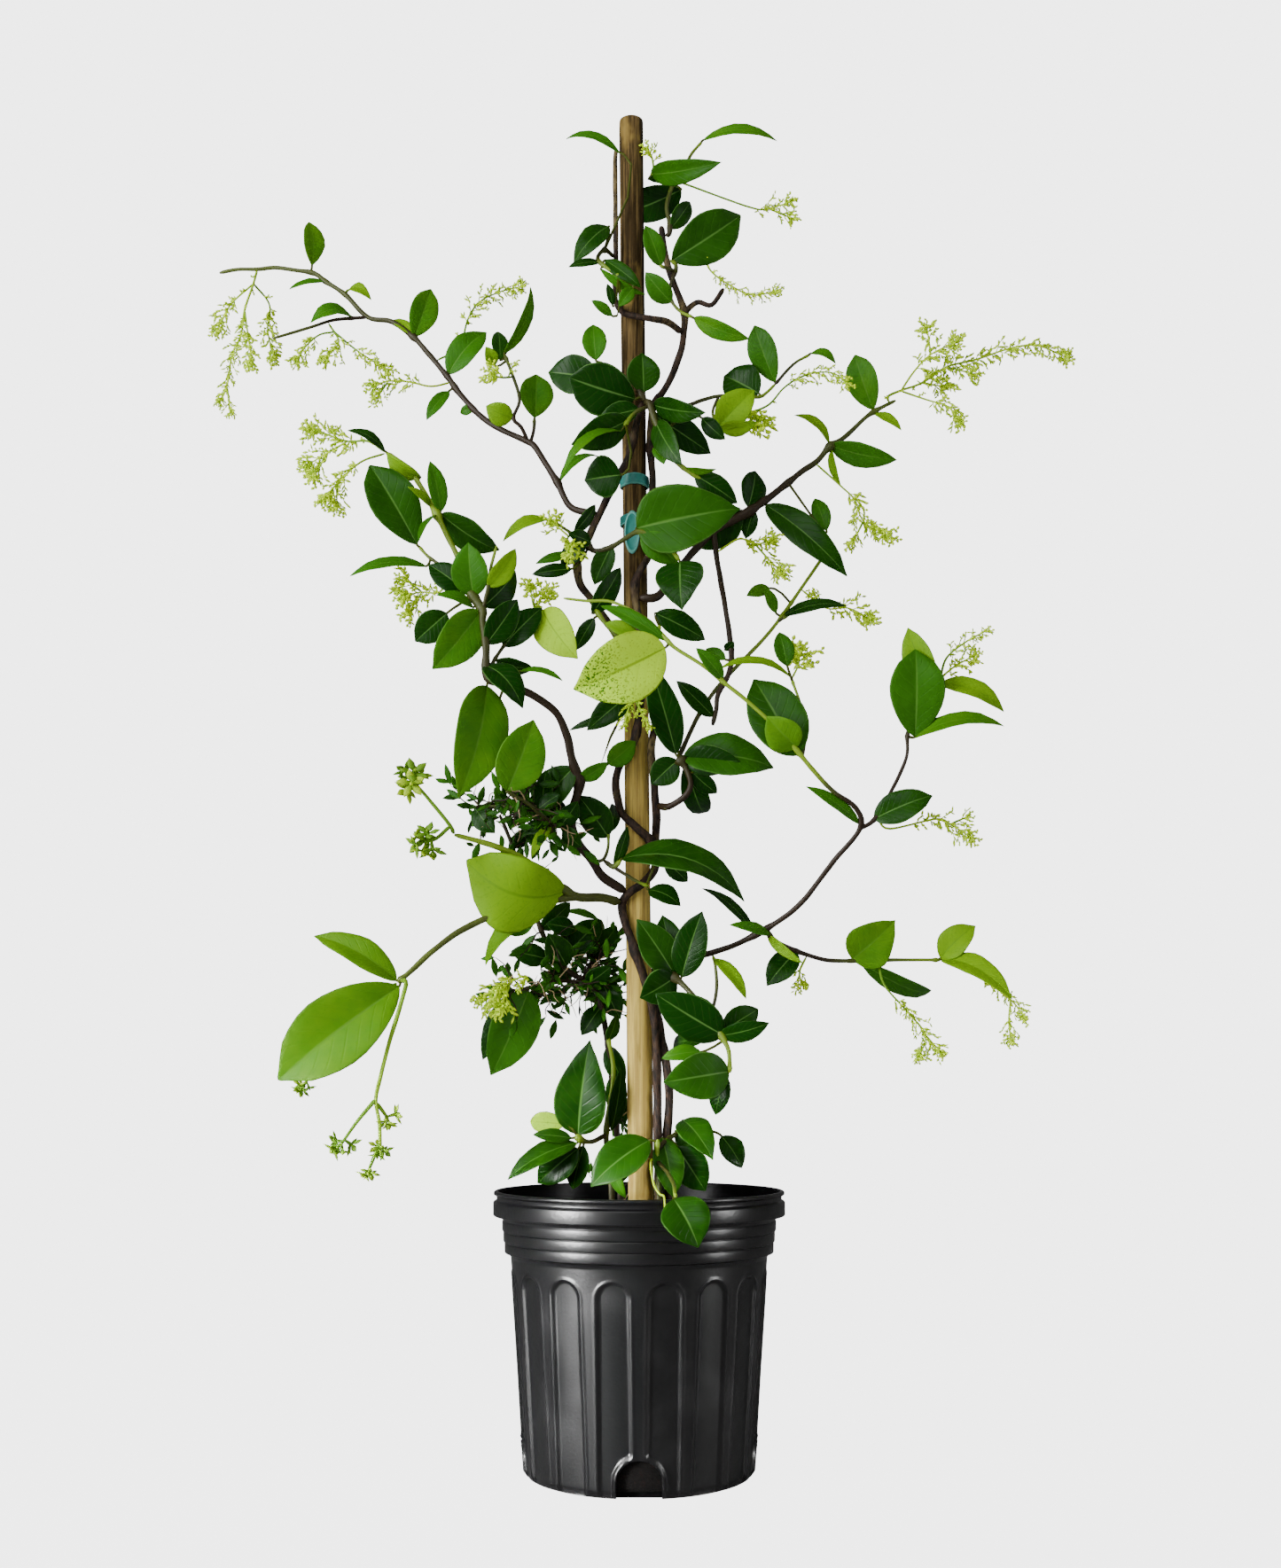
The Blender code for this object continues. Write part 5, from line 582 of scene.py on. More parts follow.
# Flower sprays: what each grows from, and its stalks
SPRAYS = read_plans("""
spray_upper_left_tip leafy_stem_upper_left
stalk .9 3 7 8 150 152.5 38 143 160 34 138 175 30 136 189 28 131 200 27 128 218 26 124 226 25
stalk .8 5 9 4 143 160 34 130 172 36 123 185 38
stalk .8 4 9 3 138 175 30 140 190 22 142 203 20
stalk .8 3 6 0 128 218 26 130 232 26
stalk .8 4 9 3 143 160 34 152 172 44 151 186 46 154 200 46
spray_upper_left_under leafy_stem_upper_left
stalk .8 4 9 2 190 184 28 191 193 24 184 202 20
stalk .8 3 8 2 191 186 27 203 199 24 218 208 22
stalk .8 5 8 0 190 187 27 180 189 22 172 196 20 168 203 18
spray_upper_left_low leafy_stem_upper_left
stalk .8 4 8 0 250 219 17 243 218 12 231 215.5 8 219 215 6 211 218 4
stalk .8 3 7 0 219 215 6 213 224 2
spray_upper_left_top leafy_stem_upper_left
stalk .8 4 8 6 255 210 22 259 196 26 264 180 28 271 170 29 284 164 30 293 162 30
spray_left_fan leafy_stem_upper_left
stalk .8 6 10 0 spread=70 287.5 216.5 -7 282 213 -9 278 211 -10
stalk .8 1 5 0 289 213 -7 289.5 206 -9
spray_left_arch_tip leafy_stem_left_arch
stalk .9 5 10 5 216.5 252 -30 208 249 -28 196 249 -26 184 245 -24 177 243 -23
stalk .8 5 9 3 196 249 -26 184 256 -22 174 262 -20
stalk .8 4 9 0 184 256 -22 178 268 -22
spray_left_arch_low leafy_stem_left_arch
stalk .8 5 9 0 213 256 -34 203 261 -36 190 273 -38 184 280 -39
stalk .8 4 9 0 190 273 -38 190 284 -36
spray_left_mid leafy_stem_left_arch
stalk .8 6 10 4 262 337.5 -45 248 334 -38 238 334 -36 229 336 -36
stalk .8 4 9 0 238 334 -36 229 327 -34
stalk .8 4 9 0 238 334 -36 231 345 -36
spray_left_inner leafy_stem_left_arch
stalk .8 6 9 2 swung=00000001 294 347 -34 301 342 -28 309 335 -26
stalk .8 5 9 0 301 342 -28 299 332 -24
spray_centre_left leafy_stem_centre
stalk .8 7 10 0 spread=75 322 299 -24 320 304 -28 322 309 -30
stalk .8 5 9 0 swung=00001 318 300 -26 312 295 -28
spray_lower_left_upper leafy_stem_lower_left
stalk .9 7 9 0 spread=85 swung=0111203 257 468 -56 254 466 -60 247 457 -62 236 444 -64 231 438 -65
stalk .8 6 9 0 spread=85 swung=020300 254 466 -60 246 473 -63 239 475 -64
spray_lower_left_hanging leafy_stem_lower_left
stalk 1 4 7 0 spread=70 swung=0100 231 549 -64 229 555 -70 225 570 -71 219 590 -71 215 606 -71 212
620 -71 214 634 -70 214.5 648 -69
stalk .8 5 7 0 spread=70 swung=01601 212 620 -71 202 632 -74 192 646 -76
stalk .8 3 7 0 spread=60 swung=014 213 622 -71 219 631 -66
stalk .8 3 6 0 spread=60 214 644 -69 208 660 -68
spray_lower_left_small leafy_stem_lower_left
stalk .8 5 6 0 219 553 -56 198 575 -50 182 595 -47 171 613 -46
spray_low_leaf leafy_stem_low_left_core
stalk .8 6 10 4 301 553 -14 296 551 -22 288 554 -30 281 560 -34
stalk .8 5 10 0 288 554 -30 283 568 -34
stalk .8 4 9 0 288 554 -30 273 565 -30
spray_centre_catkins leafy_stem_centre_low
stalk .9 2 6 9 358 386 -24 357 392 -30 354.5 400 -32 352.5 408 -32
stalk .9 2 6 8 357 392 -30 361 400 -33 365 408 -33
spray_upper_right_panicle leafy_stem_upper_right
stalk 1 4 9 8 500 228 44 501 223.5 43 509 220 48 520 216 52 534 207 55 550 203 57 570 196.5 60 585 195 62 600
201 64
stalk .8 5 10 0 508 223 50 516 209 47 525 200 45 537 194 44
stalk .8 4 9 0 525 200 45 523 186 43
stalk .8 4 9 0 534 207 55 549 211 50
stalk .8 6 9 3 509 226 50 524 226 46 534 229 44 541 237 43
stalk .8 5 10 0 520 217 52 532 218 60
spray_right_small leafy_stem_right_small
stalk .8 7 12 0 spread=80 427 228 10 424 233 2 428 237 -4
stalk .8 4 7 3 424 233 2 434 228 2 442 219 5 451 213 5 462 210 4 471 211 3 477 216 2
spray_upper_right_hanging leafy_stem_upper_right
stalk .8 5 10 0 462 263 36 474 274 30 482 282 28 487 294 26 500 302 25
stalk .8 4 8 0 487 294 26 481 306 24
spray_upper_right_inner leafy_stem_upper_right
stalk .8 5 9 0 408 305 16 417 304 8 426 307 4 434 305 3
stalk .8 5 9 0 426 307 4 433 315 0 440 322 -2
spray_top leafy_stem_top
stalk .8 4 7 0 416 121 0 423 117 2 433 117.5 3 445 114.5 4
stalk .8 4 7 0 433 117.5 3 446 123 5
spray_top_chain leafy_stem_top_right
stalk .8 4 6 10 swung=00000200000000 393 139 -12 397 146 -12 401 153 -11 410 160 -10 422 166 -9 430 166 -8
438 164 -8
spray_top_buds leafy_stem_top
stalk .8 5 7 0 370 95.5 0 368 90 -2 366 85 -4
spray_right_node leafy_stem_right_thin
stalk .8 5 10 0 452 345 31 466 343 33 478 343 34 489 348 35
stalk .8 4 6 0 466 343 33 459 336 30
spray_right_mass leafy_stem_right_front
stalk .8 7 12 0 spread=75 449 383 -44 450 376 -42 451 371 -41
spray_right_tip leafy_stem_right_front
stalk .8 5 8 0 529 382 -34 537 377 -32 549 370 -30
stalk .8 2 6 0 529 382 -34 534 371 -36 545 362 -36 556 356 -36
spray_right_front leafy_stem_right_front
stalk .8 5 8 0 489 468 -40 502 467.5 -38 528 462 -34 536 465 -33 547 472 -32
stalk .8 3 6 0 536 465 -33 545 461 -32
spray_lower_right_first leafy_stem_lower_right
stalk .8 5 8 0 480 545 17 499 556 14 513 572 12 522 584 11 519 595 11
stalk .8 4 8 0 522 584 11 529 592 12
spray_lower_right_second leafy_stem_lower_right
stalk .8 5 7 0 533 544 28 553 552 24 570 564 22 577 573 21
stalk .8 5 7 0 570 564 22 569 576 20 570 586 20
spray_lower_right_inner leafy_stem_lower_right
stalk .8 4 8 0 451 541 8 451 548 12 452 555 14
hanging_thread woody_vine_main
stalk .8 2 6 0 spread=15 swung=03 369 645 -14 367 655 -24 368.5 667 -50 372 673.5 -72 374.5 675 -85 375.5 683
-88 381 694 -90
""")


def from_sheet(x, y, depth):
    """The point, in millimetres, seen at a place on the sheet and lying at a depth behind the axis."""
    up = Vector((0, -math.sin(EYE_TILT), math.cos(EYE_TILT)))
    ahead = Vector((0, math.cos(EYE_TILT), math.sin(EYE_TILT)))
    ray = Vector((x - SHEET_AXIS_X, 0, 0)) + up * (SHEET_EYE_Y - y) + ahead * SHEET_DISTANCE
    eye = Vector((0, -EYE_BACK, EYE_HEIGHT))
    return eye + ray * ((depth + EYE_BACK) / ray.y)


def stake_axis(y):
    """The stake's axis at a place down the sheet, and beyond its visible ends."""
    share = (y - STAKE_TOP_AT[1]) / (STAKE_FOOT_AT[1] - STAKE_TOP_AT[1])
    x = STAKE_TOP_AT[0] + share * (STAKE_FOOT_AT[0] - STAKE_TOP_AT[0])
    return from_sheet(x, y, 0)


def round_stake(turns):
    """Points that twine round the stake."""
    points = []
    for y, turn, reach in turns:
        angle = math.radians(turn)
        points.append(stake_axis(y) + Vector((math.sin(angle), -math.cos(angle), 0)) * reach)
    return points


def nearest_on(route, target):
    """The point of a route's line nearest to a target, and the route's radius there."""
    start_radius, end_radius, points = route[:3]
    best = None
    for number, (start, end) in enumerate(zip(points, points[1:])):
        step = end - start
        share = max(0.0, min(1.0, (target - start).dot(step) / step.length_squared))
        place = start + step * share
        if best is None or (place - target).length < (best[0] - target).length:
            along = (number + share) / (len(points) - 1)
            best = (place, start_radius + (end_radius - start_radius) * along)
    return best


def nearest_of(routes, target):
    """The nearest point to a target on any of several routes, and the radius there."""
    return min((nearest_on(route, target) for route in routes), key=lambda best: (best[0] - target).length)


def seat_on(routes, points):
    """Starts a line beside the surface of what it grows from, with a small gap."""
    root, radius = nearest_of(routes, points[1])
    away = (points[1] - root).normalized()
    return [root + away * (radius + SEAT_GAP)] + points[1:]


def join_to(routes, points):
    """Starts a side line on the axis of a line it is one piece with."""
    return [nearest_of(routes, points[0])[0]] + points[1:]


def leaf_frame(base, tip, roll):
    """Directions along a leaf, out of its face and across it; at no roll its face looks at the eye."""
    along = (tip - base).normalized()
    to_eye = (Vector((0, -EYE_BACK, EYE_HEIGHT)) - base).normalized()
    face = (to_eye - along * to_eye.dot(along)).normalized()
    face = Quaternion(along, math.radians(roll)) @ face
    return along, face, along.cross(face)


def leaf_root(base, routes):
    """Where a leaf grows on its stem, a little in from a free end, and the depth there."""
    best = None
    for number, (_, _, points, sheet) in enumerate(routes):
        for step_number in range(len(points) - 1):
            start, end = sheet[step_number], sheet[step_number + 1]
            flat = Vector(start[:2])
            step = Vector(end[:2]) - flat
            share = (Vector(base) - flat).dot(step) / max(step.length_squared, 0.01)
            inset = ROOT_BACK / (points[step_number + 1] - points[step_number]).length
            lowest = inset if step_number == 0 else 0.0
            highest = 1.0 - inset if step_number == len(points) - 2 else 1.0
            share = max(lowest, min(highest, share))
            away = (flat + step * share - Vector(base)).length
            if best is None or away < best[0]:
                place = points[step_number].lerp(points[step_number + 1], share)
                best = (away, place, start[2] + (end[2] - start[2]) * share)
    return best[1:]


def place_leaf(spec, routes):
    """A leaf's root on its stem, and its base, tip and roll in space."""
    root, depth = leaf_root(spec["base"], routes)
    tip = from_sheet(*spec["tip"], depth - spec["toward"])
    return root, from_sheet(*spec["base"], depth), tip, spec["roll"]


def any_way(draw, most=1.0):
    """A way drawn at random, with no number of it above the most."""
    return Vector([draw.uniform(-most, most) for _ in range(3)])


def head_ways(spec, points, draw):
    """Where each flower of a stalk is rooted and points: a whorl near its end, and some along it."""
    end_way = (points[-1] - points[-2]).normalized()
    room = (points[-1] - points[-2]).length - 1.0
    ways = []
    for number in range(spec["heads"]):
        lean = math.radians(spec["spread"]) * math.sqrt((number + 0.3) / spec["heads"])
        turn = number * TURNS_BETWEEN_HEADS + draw.uniform(0, 0.8)
        side = Quaternion(end_way, turn) @ end_way.orthogonal().normalized()
        root = points[-1] - end_way * min(room, 0.7 + 0.7 * number)
        ways.append((root, (end_way * math.cos(lean) + side * math.sin(lean)).normalized(), 1.0))
    for number in range(spec["along"]):
        share = (number + 0.8) / (spec["along"] + 1) * (len(points) - 1)
        low = min(int(share), len(points) - 2)
        way = (points[low + 1] - points[low]).normalized()
        turn = number * TURNS_BETWEEN_HEADS + draw.uniform(0, 1)
        side = Quaternion(way, turn) @ way.orthogonal().normalized()
        root = points[low].lerp(points[low + 1], share - low)
        ways.append((root, (way * 0.7 + side).normalized(), 0.65))
    return ways


def place_heads(spec, points, draw):
    """Root, tip and size of the flowers of one stalk, each turned aside as often as its digit says."""
    placed = []
    for (root, way, scale), swung in zip(head_ways(spec, points, draw), spec["swung"]):
        for swing in range(min(int(swung), 7) + 1):
            turned_way = way
            if swing:
                turned_way = (way + any_way(draw, 0.6)).normalized()
            size = spec["size"] * scale * draw.uniform(0.85, 1.15)
        if swung != "8":
            placed.append((root, root + turned_way * size, size))
    return placed


def stake_line():
    """The two ends of the stake, which leans slightly and stands in the soil."""
    top = stake_axis(STAKE_TOP_AT[1])
    foot = stake_axis(STAKE_FOOT_AT[1])
    lean = (foot - top).normalized()
    return top, foot + lean * ((foot.z - STAKE_BURIED) / -lean.z)


def lay_out_vines():
    """Each vine's routes: the radius at both ends, and the points."""
    main = round_stake(MAIN_VINE_TURNS)
    main = [buried(main[0])] + main
    main += [from_sheet(*point) for point in MAIN_VINE_FREE]
    stub = [from_sheet(*point) for point in MAIN_VINE_STUB]
    second = round_stake(SECOND_VINE_TURNS)
    second = [buried(second[0])] + second
    second += [from_sheet(*point) for point in SECOND_VINE_FREE]
    upper = [from_sheet(*point) for point in UPPER_VINE_START] + round_stake(UPPER_VINE_TURNS)
    main_route = (MAIN_VINE_RADIUS, 1.9, main)
    return {
        "woody_vine_main": [main_route, (1.7, 1.4, join_to([main_route], stub))],
        "woody_vine_second": [(MAIN_VINE_RADIUS, 2.1, second)],
        "woody_vine_upper": [(UPPER_VINE_RADIUS, 1.3, seat_on([main_route], upper))]}


def buried(point):
    """The point at the bottom of the hole in the soil, straight below another."""
    return Vector((point.x, point.y, SOIL_TOP - VINE_BURIED))


def lay_out_stems(vines):
    """Every leafy stem's routes in space: the first starts beside its carrier, the rest are fused to it."""
    laid = dict(vines)
    for name, spec in LEAFY_STEMS.items():
        routes = []
        for start, end, sheet in spec["routes"]:
            points = [from_sheet(*place) for place in sheet]
            if routes:
                points = join_to(routes, points)
            elif spec["from"] == "soil":
                points = [buried(points[0])] + points
                sheet = sheet[:1] + sheet
            else:
                points = seat_on(laid[spec["from"]], points)
            routes.append((start, end, points, sheet))
        laid[name] = routes
    return laid


def lay_out_sprays(laid):
    """Every spray's stalks in space: the first starts beside its carrier, the rest are fused to it."""
    sprays = {}
    for name, spec in SPRAYS.items():
        stalks = []
        for stalk_spec in spec["stalks"]:
            points = [from_sheet(*place) for place in stalk_spec["points"]]
            if stalks:
                points = join_to([(1, 1, earlier) for _, earlier in stalks], points)
            else:
                points = seat_on(laid[spec["from"]], points)
            stalks.append((stalk_spec, points))
        sprays[name] = stalks
    return sprays


class Skins:
    """Gathers closed skins, each made of rings of corners with a pole at both ends, into one mesh."""

    def __init__(self):
        self.points, self.quads, self.caps, self.places, self.tones = [], [], [], [], []
        self.quad_slots, self.cap_slots = [], []
        self.count = 0

    def add(self, rings, start, end, places, tones, slot=0):
        """Adds many skins of one kind.

        rings is skins x rings x corners x 3 in millimetres, and each ring turns the right-hand way about the
        line from its start pole to its end pole; without poles the last ring joins the first. places holds
        where each corner lies on its skin, along and across, and tones four numbers for its colour.
        """
        skins, lengths, corners, _ = rings.shape
        round_trip = start is None
        each = lengths * corners + (0 if round_trip else 2)
        row, turn = np.meshgrid(np.arange(lengths - (not round_trip)), np.arange(corners), indexing="ij")
        after, ahead = (turn + 1) % corners, (row + 1) % lengths
        quads = np.stack([row * corners + turn, row * corners + after,
                          ahead * corners + after, ahead * corners + turn], -1).reshape(-1, 4)
        around = np.arange(corners)
        beyond = (around + 1) % corners
        last = (lengths - 1) * corners
        first_cap = np.stack([np.full(corners, lengths * corners), beyond, around], -1)
        last_cap = np.stack([np.full(corners, lengths * corners + 1), last + around, last + beyond], -1)
        caps = np.concatenate([first_cap, last_cap])[:0 if round_trip else None]
        shift = (self.count + np.arange(skins) * each)[:, None, None]
        ends = [] if round_trip else [start[:, None], end[:, None]]
        self.points.append(np.concatenate([rings.reshape(skins, -1, 3)] + ends, 1))
        self.quads.append((quads[None] + shift).reshape(-1, 4))
        self.caps.append((caps[None] + shift).reshape(-1, 3))
        self.quad_slots.append(np.full(skins * len(quads), slot))
        self.cap_slots.append(np.full(skins * len(caps), slot))
        for values, kept in ((places, self.places), (tones, self.tones)):
            flat = values.reshape(skins, lengths * corners, -1)
            ends = [] if round_trip else [values[:, 0].mean(1)[:, None], values[:, -1].mean(1)[:, None]]
            kept.append(np.concatenate([flat] + ends, 1))
        self.count += skins * each

    def add_plain(self, rings, start=None, end=None, tone=0.0):
        """Adds one skin whose places are its shares along and round, with one tone and the rest nought."""
        lengths, corners = rings.shape[:2]
        along, turn = np.linspace(0, 1, lengths)[:, None], np.arange(corners) / corners
        tones = np.zeros((1, lengths, corners, 4))
        tones[..., 0] = tone
        poles = [None if pole is None else np.array(pole, float)[None] for pole in (start, end)]
        self.add(rings[None], *poles, beside(along, turn)[None], tones)

    def piece(self, name, finishes, replaced, slot):
        """Makes the gathered skins one smooth mesh piece that stands for a node of the part."""
        points = np.concatenate([block.reshape(-1, 3) for block in self.points]) * MM
        quads = np.concatenate(self.quads)
        caps = np.concatenate(self.caps)
        corners = np.concatenate([quads.ravel(), caps.ravel()])
        starts = np.concatenate([np.arange(len(quads)) * 4, quads.size + np.arange(len(caps)) * 3])
        mesh = bpy.data.meshes.new(name)
        mesh.vertices.add(len(points))
        mesh.vertices.foreach_set("co", points.astype(np.float32).ravel())
        mesh.loops.add(len(corners))
        mesh.loops.foreach_set("vertex_index", corners.astype(np.int32))
        mesh.polygons.add(len(starts))
        mesh.polygons.foreach_set("loop_start", starts.astype(np.int32))
        slots = np.concatenate(self.quad_slots + self.cap_slots)
        mesh.polygons.foreach_set("material_index", slots.astype(np.int32))
        mesh.polygons.foreach_set("use_smooth", np.ones(len(starts), bool))
        mesh.update(calc_edges=True)
        places = np.concatenate([block.reshape(-1, 2) for block in self.places])
        layer = mesh.uv_layers.new(name="surface")
        layer.data.foreach_set("uv", places[corners].astype(np.float32).ravel())
        tones = np.concatenate([block.reshape(-1, 4) for block in self.tones])
        attribute = mesh.attributes.new("tone", "FLOAT_COLOR", "POINT")
        attribute.data.foreach_set("color", tones.astype(np.float32).ravel())
        mesh.validate()
        for finish in finishes:
            mesh.materials.append(finish)
        return dress(put_in_scene(name, mesh), replaced)


def put_in_scene(name, data):
    """A new object with its data, linked to the scene."""
    obj = bpy.data.objects.new(name, data)
    bpy.context.scene.collection.objects.link(obj)
    return obj


def dress(obj, replaced):
    """Lets a piece ride with the part, in place of a node, which it hides."""
    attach(obj, "root")
    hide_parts(replaced)
    return obj


def unit(vectors):
    """Vectors at length one."""
    return vectors / np.maximum(np.linalg.norm(vectors, axis=-1, keepdims=True), 1e-9)


def beside(*arrays):
    """Arrays side by side in a last axis, where a plain number or a shorter array is repeated."""
    return np.stack(np.broadcast_arrays(*arrays), -1)


def smooth_path(points, step):
    """A smooth line through points: on each stretch the cubic whose ends run parallel to their neighbours.

    Returns the line's points, about a step apart, and each one's share of the way by the number of stretches.
    """
    knots = np.array(points)
    padded = np.concatenate([2 * knots[:1] - knots[1:2], knots, 2 * knots[-1:] - knots[-2:-1]])
    line, shares = [], []
    for number in range(len(knots) - 1):
        before, start, end, beyond = padded[number:number + 4]
        count = max(2, int(np.ceil(np.linalg.norm(end - start) / step)))
        t = np.arange(count)[:, None] / count
        line.append(0.5 * (2 * start + (end - before) * t
                           + (2 * before - 5 * start + 4 * end - beyond) * t ** 2
                           + (3 * start - before - 3 * end + beyond) * t ** 3))
        shares.append((number + t[:, 0]) / (len(knots) - 1))
    return np.concatenate(line + [knots[-1:]]), np.append(np.concatenate(shares), 1.0)


def frames_along(line):
    """Directions along a line, and two square to it, the second the along way crossed with the first."""
    ahead = unit(np.gradient(line, axis=0))
    lean = np.abs(ahead).max(0)
    side = unit(np.cross(np.eye(3)[np.argmin(lean)], ahead))
    return ahead, side, np.cross(ahead, side)


def ring_turns(corners):
    """Angles of a ring's corners."""
    return np.arange(corners) * 2 * np.pi / corners


def rings_round(line, side, out, reach, turns):
    """Rings round a line: a corner lies at its reach, sideways by its angle's cosine and out by its sine."""
    return (line[:, None] + side[:, None] * (reach * np.cos(turns))[..., None]
            + out[:, None] * (reach * np.sin(turns))[..., None])


def add_stem(skins, route, corners, step, tone, slot, knots=(), rough=0.05, turning=(0, 1), form=(1, 1)):
    """Adds a round stem along a route: it tapers, is a little uneven, and swells at its knots.

    Its first tone goes from the first number of tone to the third over the turning stretch of the route. form
    is how full it is and the power of the way along that it tapers by.

    The radius at each ring is the tapering radius, times one plus a sum of two waves round and along the
    stem, times one plus a bell curve at each knot.
    """
    start_radius, end_radius, points = route[:3]
    line, share = smooth_path(points, step)
    ahead, side, out = frames_along(line)
    radius = (start_radius + (end_radius - start_radius) * share ** form[1]) * form[0]
    for knot in knots:
        away = np.linalg.norm(line - np.array(knot), axis=1)
        radius = radius * (1 + 0.3 * np.exp(-(away / (1.6 * start_radius)) ** 2))
    turns = ring_turns(corners)
    along = np.arange(len(line))[:, None] * step
    uneven = np.sin(2 * turns + along / 5.3) + 0.8 * np.sin(3 * turns - along / 3.1 + tone[1] * 9)
    reach = radius[:, None] * (1 + rough * uneven)
    rings = rings_round(line, side, out, reach, turns)
    rings[0] = line[0] + (rings[0] - line[0]) * 0.6
    rings[-1] = line[-1] + (rings[-1] - line[-1]) * 0.6
    places = beside(along * 0.01, turns / (2 * np.pi))
    tones = np.empty(rings.shape[:2] + (4,))
    tones[...] = tone
    tones[..., 0] = tone[0] + (tone[2] - tone[0]) * smooth_step(share, *turning)[:, None]
    ends = [(line[0] - ahead[0] * start_radius * 0.3)[None], (line[-1] + ahead[-1] * end_radius * 0.4)[None]]
    skins.add(rings[None], *ends, places[None], tones[None], slot)


def add_spindles(skins, roots, tips, wide, thick, profile, corners, tones, slot, faces=None, bow=None,
                 growth=1.0):
    """Adds many slim closed bodies, such as buds, petals and leaflets, each from a root to a tip.

    A body's half widths at each share of its length are its wide and thick values times the profile there.
    faces gives the way that a flat one faces, and bow how far its middle stands off the straight line, which
    the rest follows as four times the share times what is left of it. tones gives each body its colour, and
    its first number grows from the root to the tip by growth.
    """
    ahead = unit(tips - roots)
    if faces is None:
        faces = np.roll(ahead, 1, axis=1) * np.array([1.0, -1.0, 1.0])
    side = unit(np.cross(faces, ahead))
    out = np.cross(ahead, side)
    shares, widths = np.array(profile).T
    turns = ring_turns(corners)
    centres = roots[:, None] + (tips - roots)[:, None] * shares[:, None]
    if bow is not None:
        centres = centres + bow[:, None] * (4 * shares * (1 - shares))[:, None]
    across = (wide[:, None] * widths)[..., None, None] * np.cos(turns)[:, None]
    through = (thick[:, None] * widths)[..., None, None] * np.sin(turns)[:, None]
    rings = centres[:, :, None] + side[:, None, None] * across + out[:, None, None] * through
    count, lengths = rings.shape[:2]
    places = np.empty((count, lengths, corners, 2))
    places[..., 0] = shares[:, None]
    places[..., 1] = turns / (2 * np.pi)
    coloured = np.repeat(np.repeat(tones[:, None, None], lengths, 1), corners, 2)
    coloured[..., 0] += shares[:, None] * growth
    skins.add(rings, roots, tips, places, coloured, slot)


# Where each leaf outline is widest, as a power of the length, and how full it is, as a power of the width
SHAPES = {"oval": (0.86, 0.64), "egg": (0.62, 0.78), "spoon": (1.12, 0.58)}
LEAF_ACROSS = np.array([-1, -0.94, -0.62, -0.3, -0.07, 0, 0.07, 0.3, 0.62, 0.94, 1])
SMALL_ACROSS = np.array([-1, -0.9, -0.45, 0, 0.45, 0.9, 1])
PETIOLE_SHARES = np.array([0.0, 0.35, 0.7, 0.92])


